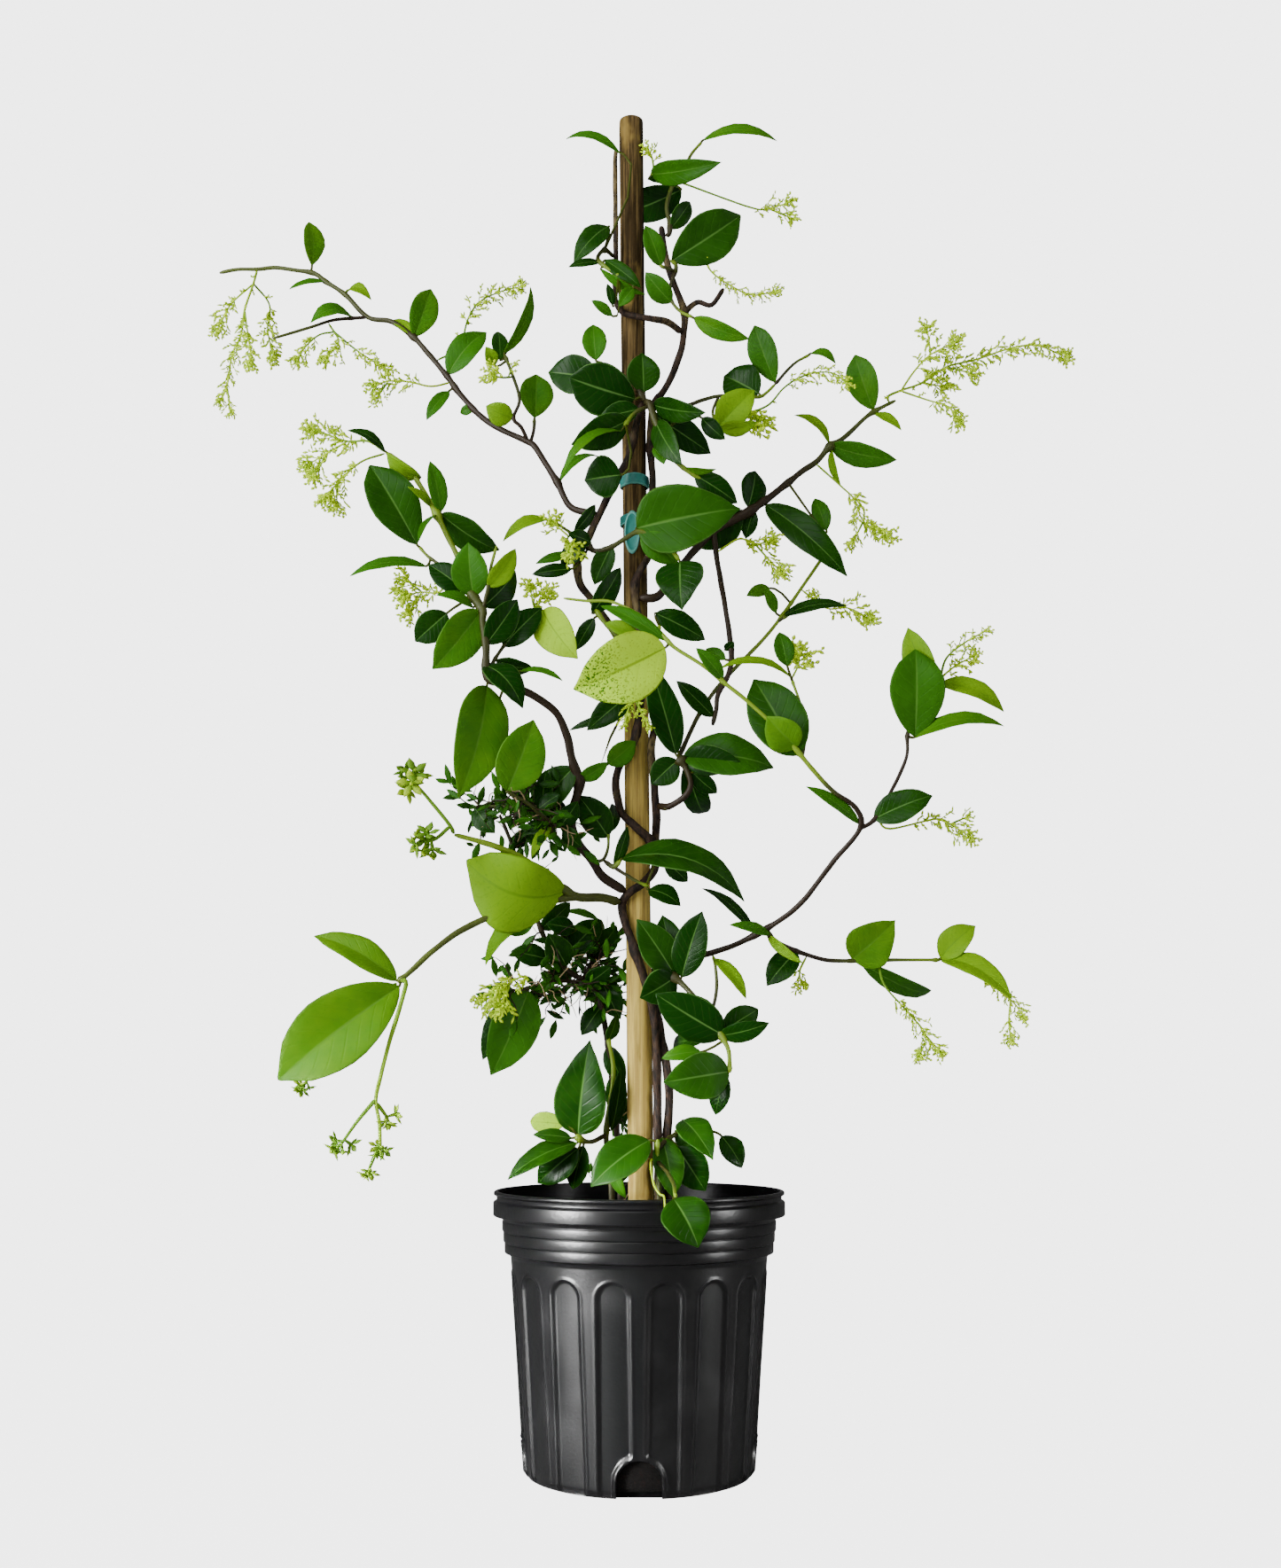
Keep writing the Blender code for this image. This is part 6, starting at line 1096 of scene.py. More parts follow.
def add_leaf(skins, placed, spec, sizes, tint):
    """Adds one leaf with its petiole, as rings that run over its face and back under it.

    A ring's half width is the blade's outline, and the petiole's radius before the blade. Its corners lift by
    the fold's slope times how far they are from the midrib, rounded at the midrib and turned down at the
    edge, and by a wave along the edge. Over the face they rise by half the blade's thickness with a groove
    along the midrib, and under it they fall by as much with a rib.
    """
    root, base, tip, roll = placed
    small = spec["width"] < SMALL_LEAF_WIDTH
    t = SMALL_ACROSS if small else LEAF_ACROSS
    t, over = np.concatenate([t, t[-2:0:-1]]), np.concatenate([[0], t[1:-1] * 0 + 1, [0], t[1:-1] * 0 - 1])
    along, face, across = leaf_frame(base, tip, roll)
    length = (tip - base).length
    rows = 9 if small else 15
    s = (0.5 - 0.5 * np.cos(np.pi * np.arange(rows) / rows))[:, None]
    place, fullness = SHAPES[spec["shape"]]
    outline = 0.5 * np.sin(np.pi * s ** place) ** fullness * (1 - 0.14 * s ** 3)
    outline = outline * (1 - 0.45 * smooth_step(s, 0.84, 1))
    half = np.maximum(outline * spec["width"], PETIOLE_RADIUS * 0.75 * (1 - s))
    side, out, ahead = map(np.array, (across, face, along))
    slope = math.tan(math.radians(FOLD[spec["age"]]))
    lift = slope * (np.sqrt(t ** 2 + 0.02) - 0.14 - 0.22 * t ** 4)
    ripple = np.sin(2 * np.pi * (1.8 * s + tint * 3) + 1.9 * (t > 0))
    wave = sizes.waviness * ripple * t ** 2 * np.sin(np.pi * s)
    thick = sizes.leaf_thickness / MM / 2 * np.sqrt(1 - 0.6 * t ** 2)
    rib = np.exp(-(t / 0.06) ** 2) * (1 - 0.7 * s) * (0.3 + spec["width"] / 90)
    rise = over * thick - rib * np.where(over > 0, 0.55, 1.0) * (over != 0)
    bow = 4 * s * (1 - s) * (spec["arch"] + spec["swell"]) * length
    curl = -0.05 * length * np.clip(s - 0.7, 0, 1) ** 2 * 8 * tint
    base_at = np.array(base)
    centre = base_at + ahead * (length * s) + out * (bow + curl)
    up = (lift * half + wave * half + rise)[..., None]
    spread = half * t * LEAF_FULLNESS + 4 * s * (1 - s) * spec["sweep"] * length
    blade = centre[:, None] + side * spread[..., None] + out * up
    root_at = np.array(root)
    bend = base_at - ahead * (np.linalg.norm(base_at - root_at) * 0.35)
    p = PETIOLE_SHARES[:, None]
    stalk_line = root_at * (1 - p) ** 2 + bend * 2 * p * (1 - p) + base_at * p ** 2
    way = unit(base_at - root_at)
    upright = unit(out - way * out.dot(way)) if abs(out.dot(way)) < 0.9 else unit(side - way * side.dot(way))
    level = np.cross(upright, way)
    mixed = np.clip(PETIOLE_SHARES * 1.2 - 0.3, 0, 1)[:, None]
    level = unit(level * (1 - mixed) - side * mixed)
    upright = unit(upright * (1 - mixed) + out * mixed)
    slim = PETIOLE_RADIUS * 0.95 * (1 - 0.15 * PETIOLE_SHARES[:, None])
    round_out = over * np.sqrt(np.maximum(0, 1 - t ** 2))
    petiole = (stalk_line[:, None] - level[:, None] * (slim * t)[..., None]
               + upright[:, None] * (slim * round_out)[..., None])
    rings = np.concatenate([petiole, blade])
    reach = np.concatenate([PETIOLE_SHARES - 1, s[:, 0]])
    places = beside(reach[:, None], t * 0.5 + 0.5)
    tones = np.empty(rings.shape[:2] + (4,))
    tones[...] = (spec["look"] / 1.5, tint, 0, min(1.0, spec["width"] / 40))
    tones[..., 2] = 0.5 - 0.5 * over
    tip_at = base_at + ahead * length + out * (-0.05 * length * 0.72 * tint)
    skins.add(rings[None], root_at[None], tip_at[None], places[None], tones[None])


def add_twigs(skins, routes, count, reach, draw):
    """Adds fine twigs and pale rootlets among dense foliage: wandering threads, some with tiny leaflets."""
    roots, tips, faces, tones = [], [], [], []
    for number in range(count):
        points = draw.choice(routes)[2]
        low = draw.randrange(len(points) - 1)
        place = points[low].lerp(points[low + 1], draw.random())
        way = any_way(draw).normalized()
        line = [place]
        for _ in range(4):
            way = (way + any_way(draw, 0.7)).normalized()
            line.append(line[-1] + way * reach * draw.uniform(0.15, 0.3))
        pale = draw.random() < 0.35
        thin = 0.4 if pale else 0.55
        add_stem(skins, (thin, thin * 0.5, line), 5, 2.5, (0.1, draw.random(), 0.1, 0.9 if pale else 0.0), 1)
        for point in line[1:]:
            if pale:
                continue
            lean = (way + any_way(draw)).normalized()
            roots.append(tuple(point))
            tips.append(tuple(point + lean * draw.uniform(6, 14)))
            faces.append([draw.uniform(-0.8, 0.8), -1, draw.uniform(-0.8, 0.8)])
            tones.append((draw.uniform(0, 0.2), draw.random(), 0, 0.2))
    roots, tips, faces, tones = (np.array(rows) for rows in (roots, tips, faces, tones))
    wide = np.linalg.norm(tips - roots, axis=1) * 0.17
    profile = [(0.05, 0.12), (0.3, 0.8), (0.55, 1.0), (0.82, 0.55)]
    add_spindles(skins, roots, tips, wide, wide * 0.12, profile, 6, tones, 0, faces, growth=0.1)


FEATHER_PLACES = np.array([0.12, 0.28, 0.42, 0.56, 0.7, 0.84])
THREAD_PROFILE = [(0.05, 1.0), (0.5, 0.8), (0.95, 0.5)]
BUD_PROFILE = [(0.08, 0.35), (0.45, 1.0), (0.75, 0.7)]
PETAL_PROFILE = [(0.06, 0.3), (0.3, 0.85), (0.55, 1.0), (0.8, 0.5)]


def add_plume(skins, points, size, sizes, draw):
    """Adds feathery side shoots along a stalk: fine bowed threads with small buds to all sides.

    The shoots leave the stalk a golden turn apart, lean on and droop, and are longest a third of the way out.
    """
    line, share = smooth_path(points, sizes.shoot_spacing / MM)
    ahead, side, out = frames_along(line)
    keep = share > PLUME_FROM
    line, share, ahead, side, out = (rows[keep] for rows in (line, share, ahead, side, out))
    noise = np.array([[draw.random() for _ in range(4)] for _ in line])
    turn = (np.arange(len(line)) * TURNS_BETWEEN_HEADS + noise[:, 0] * 1.5)[:, None]
    way = unit(ahead * 0.9 + (side * np.cos(turn) + out * np.sin(turn)) * 0.9 + [0, 0, -0.25])
    bulge = 0.65 * (share - PLUME_FROM) / (1 - PLUME_FROM)
    long = size * (0.6 + 0.9 * noise[:, 1]) * np.sin(np.pi * (0.2 + bulge))
    tips = line + way * long[:, None]
    bow = np.array([0, 0, 1]) * (long * (0.02 + 0.12 * noise[:, 2]))[:, None]
    thin = np.full(len(line), sizes.floret_stalk / MM * 0.8)
    tones = beside(0, noise[:, 3], 0.5, 0.8)
    add_spindles(skins, line, tips, thin, thin, THREAD_PROFILE, 3, tones, 0, None, bow)
    places = np.array([0.22, 0.36, 0.5, 0.62, 0.74, 0.86, 0.97])
    count = len(places)
    starts = line[:, None] + (tips - line)[:, None] * places[:, None]
    starts = starts + bow[:, None] * (4 * places * (1 - places))[:, None]
    jitter = np.array([[[draw.uniform(-1, 1) for _ in range(3)] for _ in places] for _ in line])
    ways = unit(way[:, None] * 0.9 + jitter * 0.75 + [0, 0, -0.12])
    sizes_of = size * (0.24 + 0.26 * np.abs(jitter[..., 0]))
    stops = starts + ways * sizes_of[..., None]
    wide = np.repeat(np.full(len(line), size * sizes.bud_width * 0.9), count)
    tones = beside(0, np.abs(jitter[..., 1]).ravel(), 0.5, 0.35 + 0.65 * np.abs(jitter[..., 2]).ravel())
    add_spindles(skins, starts.reshape(-1, 3), stops.reshape(-1, 3), wide, wide * 0.8, BUD_PROFILE, 4,
                 tones, 0)


def head_frames(heads):
    """Flower heads' roots, tips and sizes, and the ways along each one and square to it."""
    roots, tips, size = (np.array(rows, float) for rows in zip(*heads))
    ahead = unit(tips - roots)
    side = unit(np.cross(ahead, [0.3, 0.4, 0.87]))
    return roots, tips, size, ahead, side, np.cross(ahead, side)


def add_feathers(skins, heads, sizes, draw):
    """Adds feathery flower heads: a fine axis with small buds to all sides, and one at its tip.

    The buds sit at fixed shares of the axis, a golden turn apart, and lean out from it.
    """
    roots, tips, size, ahead, side, out = head_frames(heads)
    noise = np.array([[draw.random() for _ in range(len(FEATHER_PLACES) + 1)] for _ in heads])
    thin = np.full(len(heads), sizes.floret_stalk / MM)
    plain = beside(0, noise[:, 0], 0, 1)
    add_spindles(skins, roots, tips, thin, thin, [(0.1, 1.0), (0.6, 0.8), (0.95, 0.5)], 4, plain, 0)
    turn = (np.arange(len(FEATHER_PLACES)) * TURNS_BETWEEN_HEADS + noise[:, :1] * 6)[..., None]
    lean = 0.6 + 0.35 * noise[:, 1:, None]
    ways = (ahead[:, None] * np.cos(lean)
            + (side[:, None] * np.cos(turn) + out[:, None] * np.sin(turn)) * np.sin(lean))
    starts = roots[:, None] + (tips - roots)[:, None] * FEATHER_PLACES[:, None]
    long = (size[:, None] * (0.42 - 0.2 * FEATHER_PLACES))[..., None]
    stops = (starts + ways * long).reshape(-1, 3)
    wide = np.repeat(size, len(FEATHER_PLACES)) * sizes.bud_width
    tones = beside(0, noise[:, 1:].ravel(), 0.5, 1)
    add_spindles(skins, starts.reshape(-1, 3), stops, wide, wide, BUD_PROFILE, 5, tones, 0)


def add_stars(skins, heads, sizes, draw):
    """Adds star heads: five pointed petals open from the end of a slim tube, with a bud in the middle."""
    roots, tips, size, ahead, side, out = head_frames(heads)
    size = size * sizes.star_scale
    tint = np.array([draw.random() for _ in heads])
    throat = roots + (tips - roots) * STAR_THROAT
    green = beside(0, tint, 0, 0)
    add_spindles(skins, roots, throat + ahead * 0.8, size * 0.09, size * 0.09,
                 [(0.06, 0.5), (0.5, 0.8), (0.9, 1.0)], 6, green, 0, growth=0.4)
    turn = (np.arange(PETALS) * 2 * np.pi / PETALS + tint[:, None] * 6)[..., None]
    spoke = side[:, None] * np.cos(turn) + out[:, None] * np.sin(turn)
    starts = np.repeat(throat[:, None], PETALS, 1) + spoke * (size * 0.04)[:, None, None]
    stops = starts + spoke * (size * 0.46)[:, None, None] + ahead[:, None] * (size * 0.16)[:, None, None]
    wide = np.repeat(size, PETALS) * 0.13
    tones = np.repeat(beside(0, tint, 0.25, 0), PETALS, 0)
    add_spindles(skins, starts.reshape(-1, 3), stops.reshape(-1, 3), wide, wide * 0.4, PETAL_PROFILE, 6,
                 tones, 0, np.repeat(ahead, PETALS, 0), growth=0.7)
    add_spindles(skins, throat, tips, size * 0.07, size * 0.07, BUD_PROFILE, 5, green, 0)


def add_cream_buds(skins, heads, sizes, draw):
    """Adds plump pale buds on their stalks."""
    roots, tips, size = head_frames(heads)[:3]
    tones = beside(size * 0, 0.5, 1, 1)
    add_spindles(skins, roots, tips, size * 0.16, size * 0.16,
                 [(0.05, 0.3), (0.3, 0.6), (0.65, 1.0), (0.88, 0.7)], 8, tones, 0)


def rounded(corners, cut=0.3):
    """A profile through corners, each cut back on both sides and rounded by one point."""
    corners = np.array(corners, float)
    line = [corners[0]]
    for before, corner, after in zip(corners, corners[1:], corners[2:]):
        back = min(cut, np.linalg.norm(corner - before) * 0.4)
        on = min(cut, np.linalg.norm(after - corner) * 0.4)
        near = corner + unit(before - corner) * back
        far = corner + unit(after - corner) * on
        line += [near, near * 0.25 + corner * 0.5 + far * 0.25, far]
    return np.array(line + [corners[-1]])


def pot_profile():
    """The pot's profile from the middle of its floor up inside, over the lip and down to its underside.

    Its long outer side has close rows only where the flutes' heads and the notches are.
    """
    top = POT_HEIGHT
    collar = top - BAND_BOTTOM - BAND_TO_COLLAR
    inner = [(0.0, POT_FLOOR), (BODY_FOOT_RADIUS - POT_WALL - 1.5, POT_FLOOR),
             (BODY_FOOT_RADIUS - POT_WALL, POT_FLOOR + 2.5),
             (BODY_TOP_RADIUS - POT_WALL, top - COLLAR_BOTTOM - BAND_TO_COLLAR),
             (COLLAR_RADIUS - POT_WALL, top - COLLAR_BOTTOM + 1.5),
             (COLLAR_RADIUS - POT_WALL + 0.6, top - BAND_BOTTOM - 3.0),
             (LIP_RADIUS - 3.6, top - BAND_BOTTOM), (LIP_RADIUS - 3.4, top - 0.6), (LIP_RADIUS - 2.6, top)]
    rim = [(LIP_RADIUS - 0.7, top), (LIP_RADIUS, top - 0.6), (LIP_RADIUS, top - 1.9),
           (LIP_RADIUS - 1.5, top - 2.6), (LIP_RADIUS - 1.7, top - 4.8), (BAND_RADIUS - 0.4, top - BAND_TOP),
           (BAND_RADIUS, top - BAND_TOP - 0.6), (BAND_RADIUS, top - BAND_BOTTOM + 0.5),
           (BAND_RADIUS - 0.6, top - BAND_BOTTOM), (COLLAR_RADIUS + 0.6, top - BAND_BOTTOM - 0.3)]
    steps = []
    for number in range(COLLAR_STEPS):
        high = collar - number * (collar - top + COLLAR_BOTTOM) / COLLAR_STEPS
        low = collar - (number + 1) * (collar - top + COLLAR_BOTTOM) / COLLAR_STEPS
        radius = COLLAR_RADIUS - number * COLLAR_STEP
        steps += [(radius - 0.45, high), (radius, high - 0.5), (radius - 0.1, low + 0.5)]
    body = [(BODY_TOP_RADIUS + 0.9, top - COLLAR_BOTTOM - 0.4),
            (BODY_TOP_RADIUS, top - COLLAR_BOTTOM - BAND_TO_COLLAR), (BODY_FOOT_RADIUS, FOOT_ROUND),
            (BODY_FOOT_RADIUS - FOOT_ROUND * 0.4, 1.0), (BODY_FOOT_RADIUS - FOOT_ROUND, 0.0), (0.5, 0.0)]
    outline = rounded([(0.5, POT_FLOOR)] + inner[1:] + rim + steps + body)
    before_foot = len(outline) - 10
    high, low = outline[before_foot - 1:before_foot + 1]
    heads = body[1][1] - FLUTE_BELOW_COLLAR - FLUTE_WIDTH * 0.6
    stops = np.concatenate([np.linspace(high[1], heads, 26), np.linspace(heads, NOTCH_HEIGHT + 4, 12)[1:],
                            np.linspace(NOTCH_HEIGHT + 4, low[1], 12)[1:]])[1:-1]
    side = high + (low - high) * ((stops - high[1]) / (low[1] - high[1]))[:, None]
    return np.concatenate([outline[:before_foot], side, outline[before_foot:]])


def arch_distance(across, up, width, top):
    """How far a place on a wall lies outside an upright opening with a round head; inside it is negative."""
    head = top - width / 2
    rise = np.maximum(up - head, 0)
    return np.hypot(across, rise) - width / 2


def smooth_step(value, low, high):
    """Nought below low and one above high, with an S between: three times the square less twice the cube."""
    share = np.clip((value - low) / (high - low), 0, 1)
    return share * share * (3 - 2 * share)


def pot_rings(looks):
    """The pot's wall as a grid: its profile turned round, with a radius that dips in the flutes.

    The dip is the flute's depth times a smooth step of the distance inside its arch. A round bead, a bell
    curve of the same distance, runs along its edge, and another round each notch.
    """
    profile = pot_profile()
    shares = np.linspace(0, 1, FLUTE_COLUMNS, endpoint=False)
    shares = shares - 0.08 * np.sin(4 * np.pi * shares) / (2 * np.pi)
    angles = -(np.arange(FLUTES)[:, None] + shares).ravel() * 2 * np.pi / FLUTES - np.pi / 2
    radius, height = profile.T
    outside = np.arange(len(profile)) > np.argmax(height)
    below_collar = POT_HEIGHT - COLLAR_BOTTOM - BAND_TO_COLLAR
    body = outside & (height < below_collar - 1) & (radius > BODY_FOOT_RADIUS - 2)
    pitch = 2 * np.pi / FLUTES
    around = (angles + np.pi / 2) % pitch - pitch / 2
    flute_top = below_collar - FLUTE_BELOW_COLLAR
    away = arch_distance(around * radius[:, None], height[:, None], FLUTE_WIDTH, flute_top)
    relief = looks.bead / MM * np.exp(-((away - 0.2) / 0.8) ** 2) - FLUTE_DEPTH * smooth_step(-away, 0.2, 1.7)
    notch_around = (angles + np.pi / 2 + np.pi / 4) % (np.pi / 2) - np.pi / 4
    by_notch = arch_distance(notch_around * radius[:, None], height[:, None], NOTCH_WIDTH, NOTCH_HEIGHT)
    apart = smooth_step(by_notch, 1.0, 3.0)
    relief = relief * apart + looks.bead * 2.2 / MM * np.exp(-((by_notch - 1.0) / 1.0) ** 2)
    fade = smooth_step(height, 0.5, 2.5)[:, None] * body[:, None]
    reach = radius[:, None] + relief * fade
    return beside(reach * np.cos(angles), reach * np.sin(angles), height[:, None])


def notch_cutter():
    """A mesh that stands through the foot of the wall at each notch: an upright arch carried outwards."""
    bm = bmesh.new()
    rise = NOTCH_WIDTH / 2
    turns = np.linspace(0, np.pi, 17)
    arch = [(-rise, -3.0)] + [(-rise * math.cos(turn), NOTCH_HEIGHT - rise + rise * math.sin(turn))
                              for turn in turns] + [(rise, -3.0)]
    for number in range(NOTCHES):
        angle = number * 2 * math.pi / NOTCHES - math.pi / 2
        out = Vector((math.cos(angle), math.sin(angle), 0))
        side = Vector((-out.y, out.x, 0))
        ends = []
        for reach in (BODY_FOOT_RADIUS - 9.0, BODY_FOOT_RADIUS + 12.0):
            ends.append([bm.verts.new((out * reach + side * across + Vector((0, 0, up))) * MM)
                         for across, up in arch])
        for k in range(len(arch)):
            after = (k + 1) % len(arch)
            bm.faces.new((ends[0][k], ends[0][after], ends[1][after], ends[1][k]))
        bm.faces.new(ends[0])
        bm.faces.new(ends[1])
    bmesh.ops.recalc_face_normals(bm, faces=bm.faces)
    mesh = bpy.data.meshes.new("notch_cutter")
    bm.to_mesh(mesh)
    bm.free()
    return put_in_scene("notch_cutter", mesh)


def cut_notches(obj):
    """Cuts the notches out of the pot's wall and keeps the cut mesh."""
    cutter = notch_cutter()
    cut = obj.modifiers.new("Notches", "BOOLEAN")
    cut.operation = "DIFFERENCE"
    cut.solver = "EXACT"
    cut.object = cutter
    seen = obj.evaluated_get(bpy.context.evaluated_depsgraph_get())
    mesh = bpy.data.meshes.new_from_object(seen)
    obj.modifiers.clear()
    obj.data = mesh
    bpy.data.objects.remove(cutter)


def soil_rings(looks, draw):
    """The soil as a grid turned round the pot's axis, from under it, up its side and in over its crown.

    The crown rises as the square of how near the axis a place is, and clods lift it by a sum of waves in
    several directions.
    """
    crown = COLLAR_RADIUS - POT_WALL - GAP
    side = [(2.0, POT_FLOOR + GAP), (BODY_FOOT_RADIUS - POT_WALL - 2, POT_FLOOR + GAP),
            (BODY_FOOT_RADIUS - POT_WALL - GAP, POT_FLOOR + 3), (BODY_TOP_RADIUS - POT_WALL - GAP, 118.0),
            (crown, 124.0), (crown, SOIL_TOP - SOIL_CROWN)]
    radius = np.concatenate([np.array(side)[:, 0], np.linspace(crown - 1, 1.0, 60)])
    height = np.concatenate([np.array(side)[:, 1],
                             SOIL_TOP - SOIL_CROWN * (np.linspace(crown - 1, 1.0, 60) / crown) ** 2])
    angles = ring_turns(120)
    x, y = radius[:, None] * np.cos(angles), radius[:, None] * np.sin(angles)
    lumps = np.zeros_like(x)
    for number in range(CLOD_WAVES):
        size = 1.0 / (3.0 + 2.2 * number)
        turn, start = draw.random() * 2 * np.pi, draw.random() * 2 * np.pi
        lumps += size * np.sin((x * math.cos(turn) + y * math.sin(turn)) * (0.35 + 0.22 * number) + start)
    top = smooth_step(np.arange(len(radius)), 5, 8)[:, None] * smooth_step(crown - radius, 0, 3)[:, None]
    return beside(x, y, height[:, None] + (lumps * looks.clods / MM) * top)


def make_pot(looks):
    """The nursery pot, with notches cut through the foot of its wall."""
    rings = pot_rings(looks)
    skins = Skins()
    # The first tone marks the inner wall, which the plastic shows as painted shade
    inside = np.arange(len(rings)) < np.argmax(rings[:, 0, 2])
    skins.add_plain(rings, (0, 0, POT_FLOOR), (0, 0, 0), inside[:, None])
    cut_notches(skins.piece("nursery_pot", [black_plastic(looks)], "pot", "pot_plastic"))


def make_soil(looks):
    """The potting soil, with loose crumbs on it."""
    draw = random.Random(SOIL_SEED)
    rings = soil_rings(looks, draw)
    skins = Skins()
    skins.add_plain(rings, (0, 0, POT_FLOOR + GAP), (0, 0, SOIL_TOP))
    spots = np.array([[draw.random(), draw.random() * 2 * math.pi, draw.random()]
                      for _ in range(looks.crumbs)])
    far = np.sqrt(spots[:, 0]) * (COLLAR_RADIUS - POT_WALL - 5)
    roots = beside(far * np.cos(spots[:, 1]), far * np.sin(spots[:, 1]),
                   SOIL_TOP - SOIL_CROWN * (far / COLLAR_RADIUS) ** 2)
    wide = 0.8 + 1.6 * spots[:, 2] ** 3
    lean = beside(np.cos(spots[:, 2] * 40), np.sin(spots[:, 2] * 40), spots[:, 0] * 0.8)
    crumb_tones = beside(0, spots[:, 2], 0, 1)
    add_spindles(skins, roots, roots + unit(lean) * wide[:, None] * 2.4, wide, wide * 0.8,
                 [(0.1, 0.6), (0.5, 1.0), (0.85, 0.7)], 5, crumb_tones, 0)
    skins.piece("potting_soil", [loose_soil(looks)], "soil", "potting_soil")


def make_stake(looks):
    """The wooden stake: a rod whose radius wavers with the grain and is worn away at its ends.

    The wearing is a quarter circle over the last of its length, and the grain a sum of waves round the rod
    that shift slowly along it.
    """
    top, deep = map(np.array, stake_line())
    length = np.linalg.norm(top - deep)
    inset = np.array([0.0, 0.25, 0.7, 1.4])
    along = np.concatenate([inset, np.linspace(5, length - 5, 120), length - inset[::-1]])
    line = deep + (top - deep) * (along / length)[:, None]
    ahead, side, out = frames_along(line)
    turns = ring_turns(44)
    up = along[:, None]
    grain = (0.10 * np.sin(7 * turns + up / 60) + 0.08 * np.sin(13 * turns - up / 38)
             + 0.06 * np.sin(23 * turns + up / 90) + 0.1 * np.sin(2 * turns + up / 110))
    to_end = np.minimum(along, length - along)[:, None]
    worn = looks.worn_edge / MM * (1 - np.sqrt(1 - np.clip(1 - to_end / 1.4, 0, 1) ** 2))
    reach = STAKE_RADIUS + grain * smooth_step(to_end, 0, 3) - 0.15 - worn
    rings = rings_round(line, side, out, reach, turns)
    skins = Skins()
    skins.add_plain(rings, deep, top - ahead[0] * 0.2)
    skins.piece("wooden_stake", [old_wood(looks)], "stake", "stake_wood")


def add_band(skins, y, height):
    """Adds a band of tape round the stake: a flat rounded section carried round, with a wavy edge."""
    turns = ring_turns(56)
    section = rounded([(0.0, 0.5), (1.0, 0.42), (1.0, -0.42), (0.0, -0.5), (0.0, 0.5)], 0.15)[:-1]
    inner = STAKE_RADIUS + TIE_CLEARANCE
    reach = inner + section[:, 0] * TIE_THICKNESS
    lift = section[:, 1] * height + 0.25 * np.sin(3 * turns)[:, None]
    centre = stake_axis(y)
    rings = beside(centre.x + reach * np.cos(turns)[:, None], centre.y + reach * np.sin(turns)[:, None],
                   centre.z + lift)
    skins.add_plain(rings, tone=np.abs(section[:, 1]) * 2)


def make_ties(looks):
    """The two tapes round the stake, and the flat loop that hangs in front from the lower one."""
    finish = teal_tape(looks)
    upper, lower = Skins(), Skins()
    add_band(upper, UPPER_TIE_AT, UPPER_TIE_HEIGHT)
    upper.piece("upper_tie", [finish], "tie_upper", "tie_tape")
    add_band(lower, LOWER_TIE_AT, LOWER_TIE_HEIGHT)
    reach = STAKE_RADIUS + TIE_CLEARANCE + TIE_THICKNESS + 0.1
    low = (LOWER_TIE_HEIGHT - LOOP_LENGTH) / 2 + 1.0
    centre = stake_axis(LOWER_TIE_AT) + Vector((LOOP_ASIDE, -reach, low))
    section = np.array([(0.5, 0.45), (0.85, 0.5), (0.97, 0.35), (1.0, 0.0), (0.96, -0.5), (0.86, -0.55),
                        (0.76, -0.25), (0.68, -0.05), (0.4, 0.0)])
    turns = ring_turns(40)
    share, depth = section[:, 0][:, None], section[:, 1][:, None]
    rings = beside(centre.x - share * np.cos(turns) * LOOP_WIDTH / 2, centre.y + depth * LOOP_THICKNESS,
                   centre.z - share * np.sin(turns) * LOOP_LENGTH / 2)[:, ::-1]
    middle = np.array(centre)
    lower.add_plain(rings, middle + [0, 0.45 * LOOP_THICKNESS, 0], middle, smooth_step(share, 0.7, 0.9))
    lower.piece("lower_tie", [finish], "tie_lower", "tie_tape")


@cache
def lay_out_plant():
    """Every stem's and stalk's routes, and where each leaf and flower stands, worked out once."""
    laid = lay_out_stems(lay_out_vines())
    sprays = lay_out_sprays(laid)
    leaves = {node: [place_leaf(spec, laid[node]) for spec in plan["leaves"]]
              for node, plan in LEAFY_STEMS.items()}
    draw = random.Random(DRAW_SEED)
    heads = {node: [place_heads(spec, points, draw) for spec, points in stalks]
             for node, stalks in sprays.items()}
    return laid, leaves, sprays, heads


def make_vines(looks):
    """The bare vines that twine round the stake."""
    finish = dark_bark(looks)
    laid = lay_out_plant()[0]
    for number, name in enumerate(WOODY_VINES):
        skins = Skins()
        for route in laid[name]:
            knots = route[2][6::7]
            add_stem(skins, route, 14, 2.0, (0, 0.3 * number, 0, 0), 0, knots, looks.roughness_of_bark)
        skins.piece("bare_vine_" + str(number + 1), [finish], name, "vine_bark")


def make_leafy_stems(looks):
    """The leafy stems: each with its side twigs, leaf stalks and leaves."""
    finishes = [leaf_skin(looks), young_bark(looks)]
    laid, leaves = lay_out_plant()[:2]
    for number, (name, plan) in enumerate(LEAFY_STEMS.items()):
        skins = Skins()
        draw = random.Random(STEM_SEED + number)
        roots = [placed[0] for placed in leaves[name]]
        greens = STEM_GREEN.get(name, USUAL_GREEN)
        for route_number, (start, end, points, _) in enumerate(laid[name]):
            low, high, *turning = greens[min(route_number, len(greens) - 1)]
            add_stem(skins, (start, end, points), 9, 2.6, (low, draw.random(), high, 0), 1, roots,
                     turning=turning, form=STEM_FORM.get(name, USUAL_FORM))
        for placed, spec in zip(leaves[name], plan["leaves"]):
            add_leaf(skins, placed, spec, looks, draw.random())
        if name in TWIGGY:
            add_twigs(skins, laid[name], *TWIGGY[name], draw)
        skins.piece(name.replace("leafy_stem", "leaves"), finishes, name, "leaf_green")


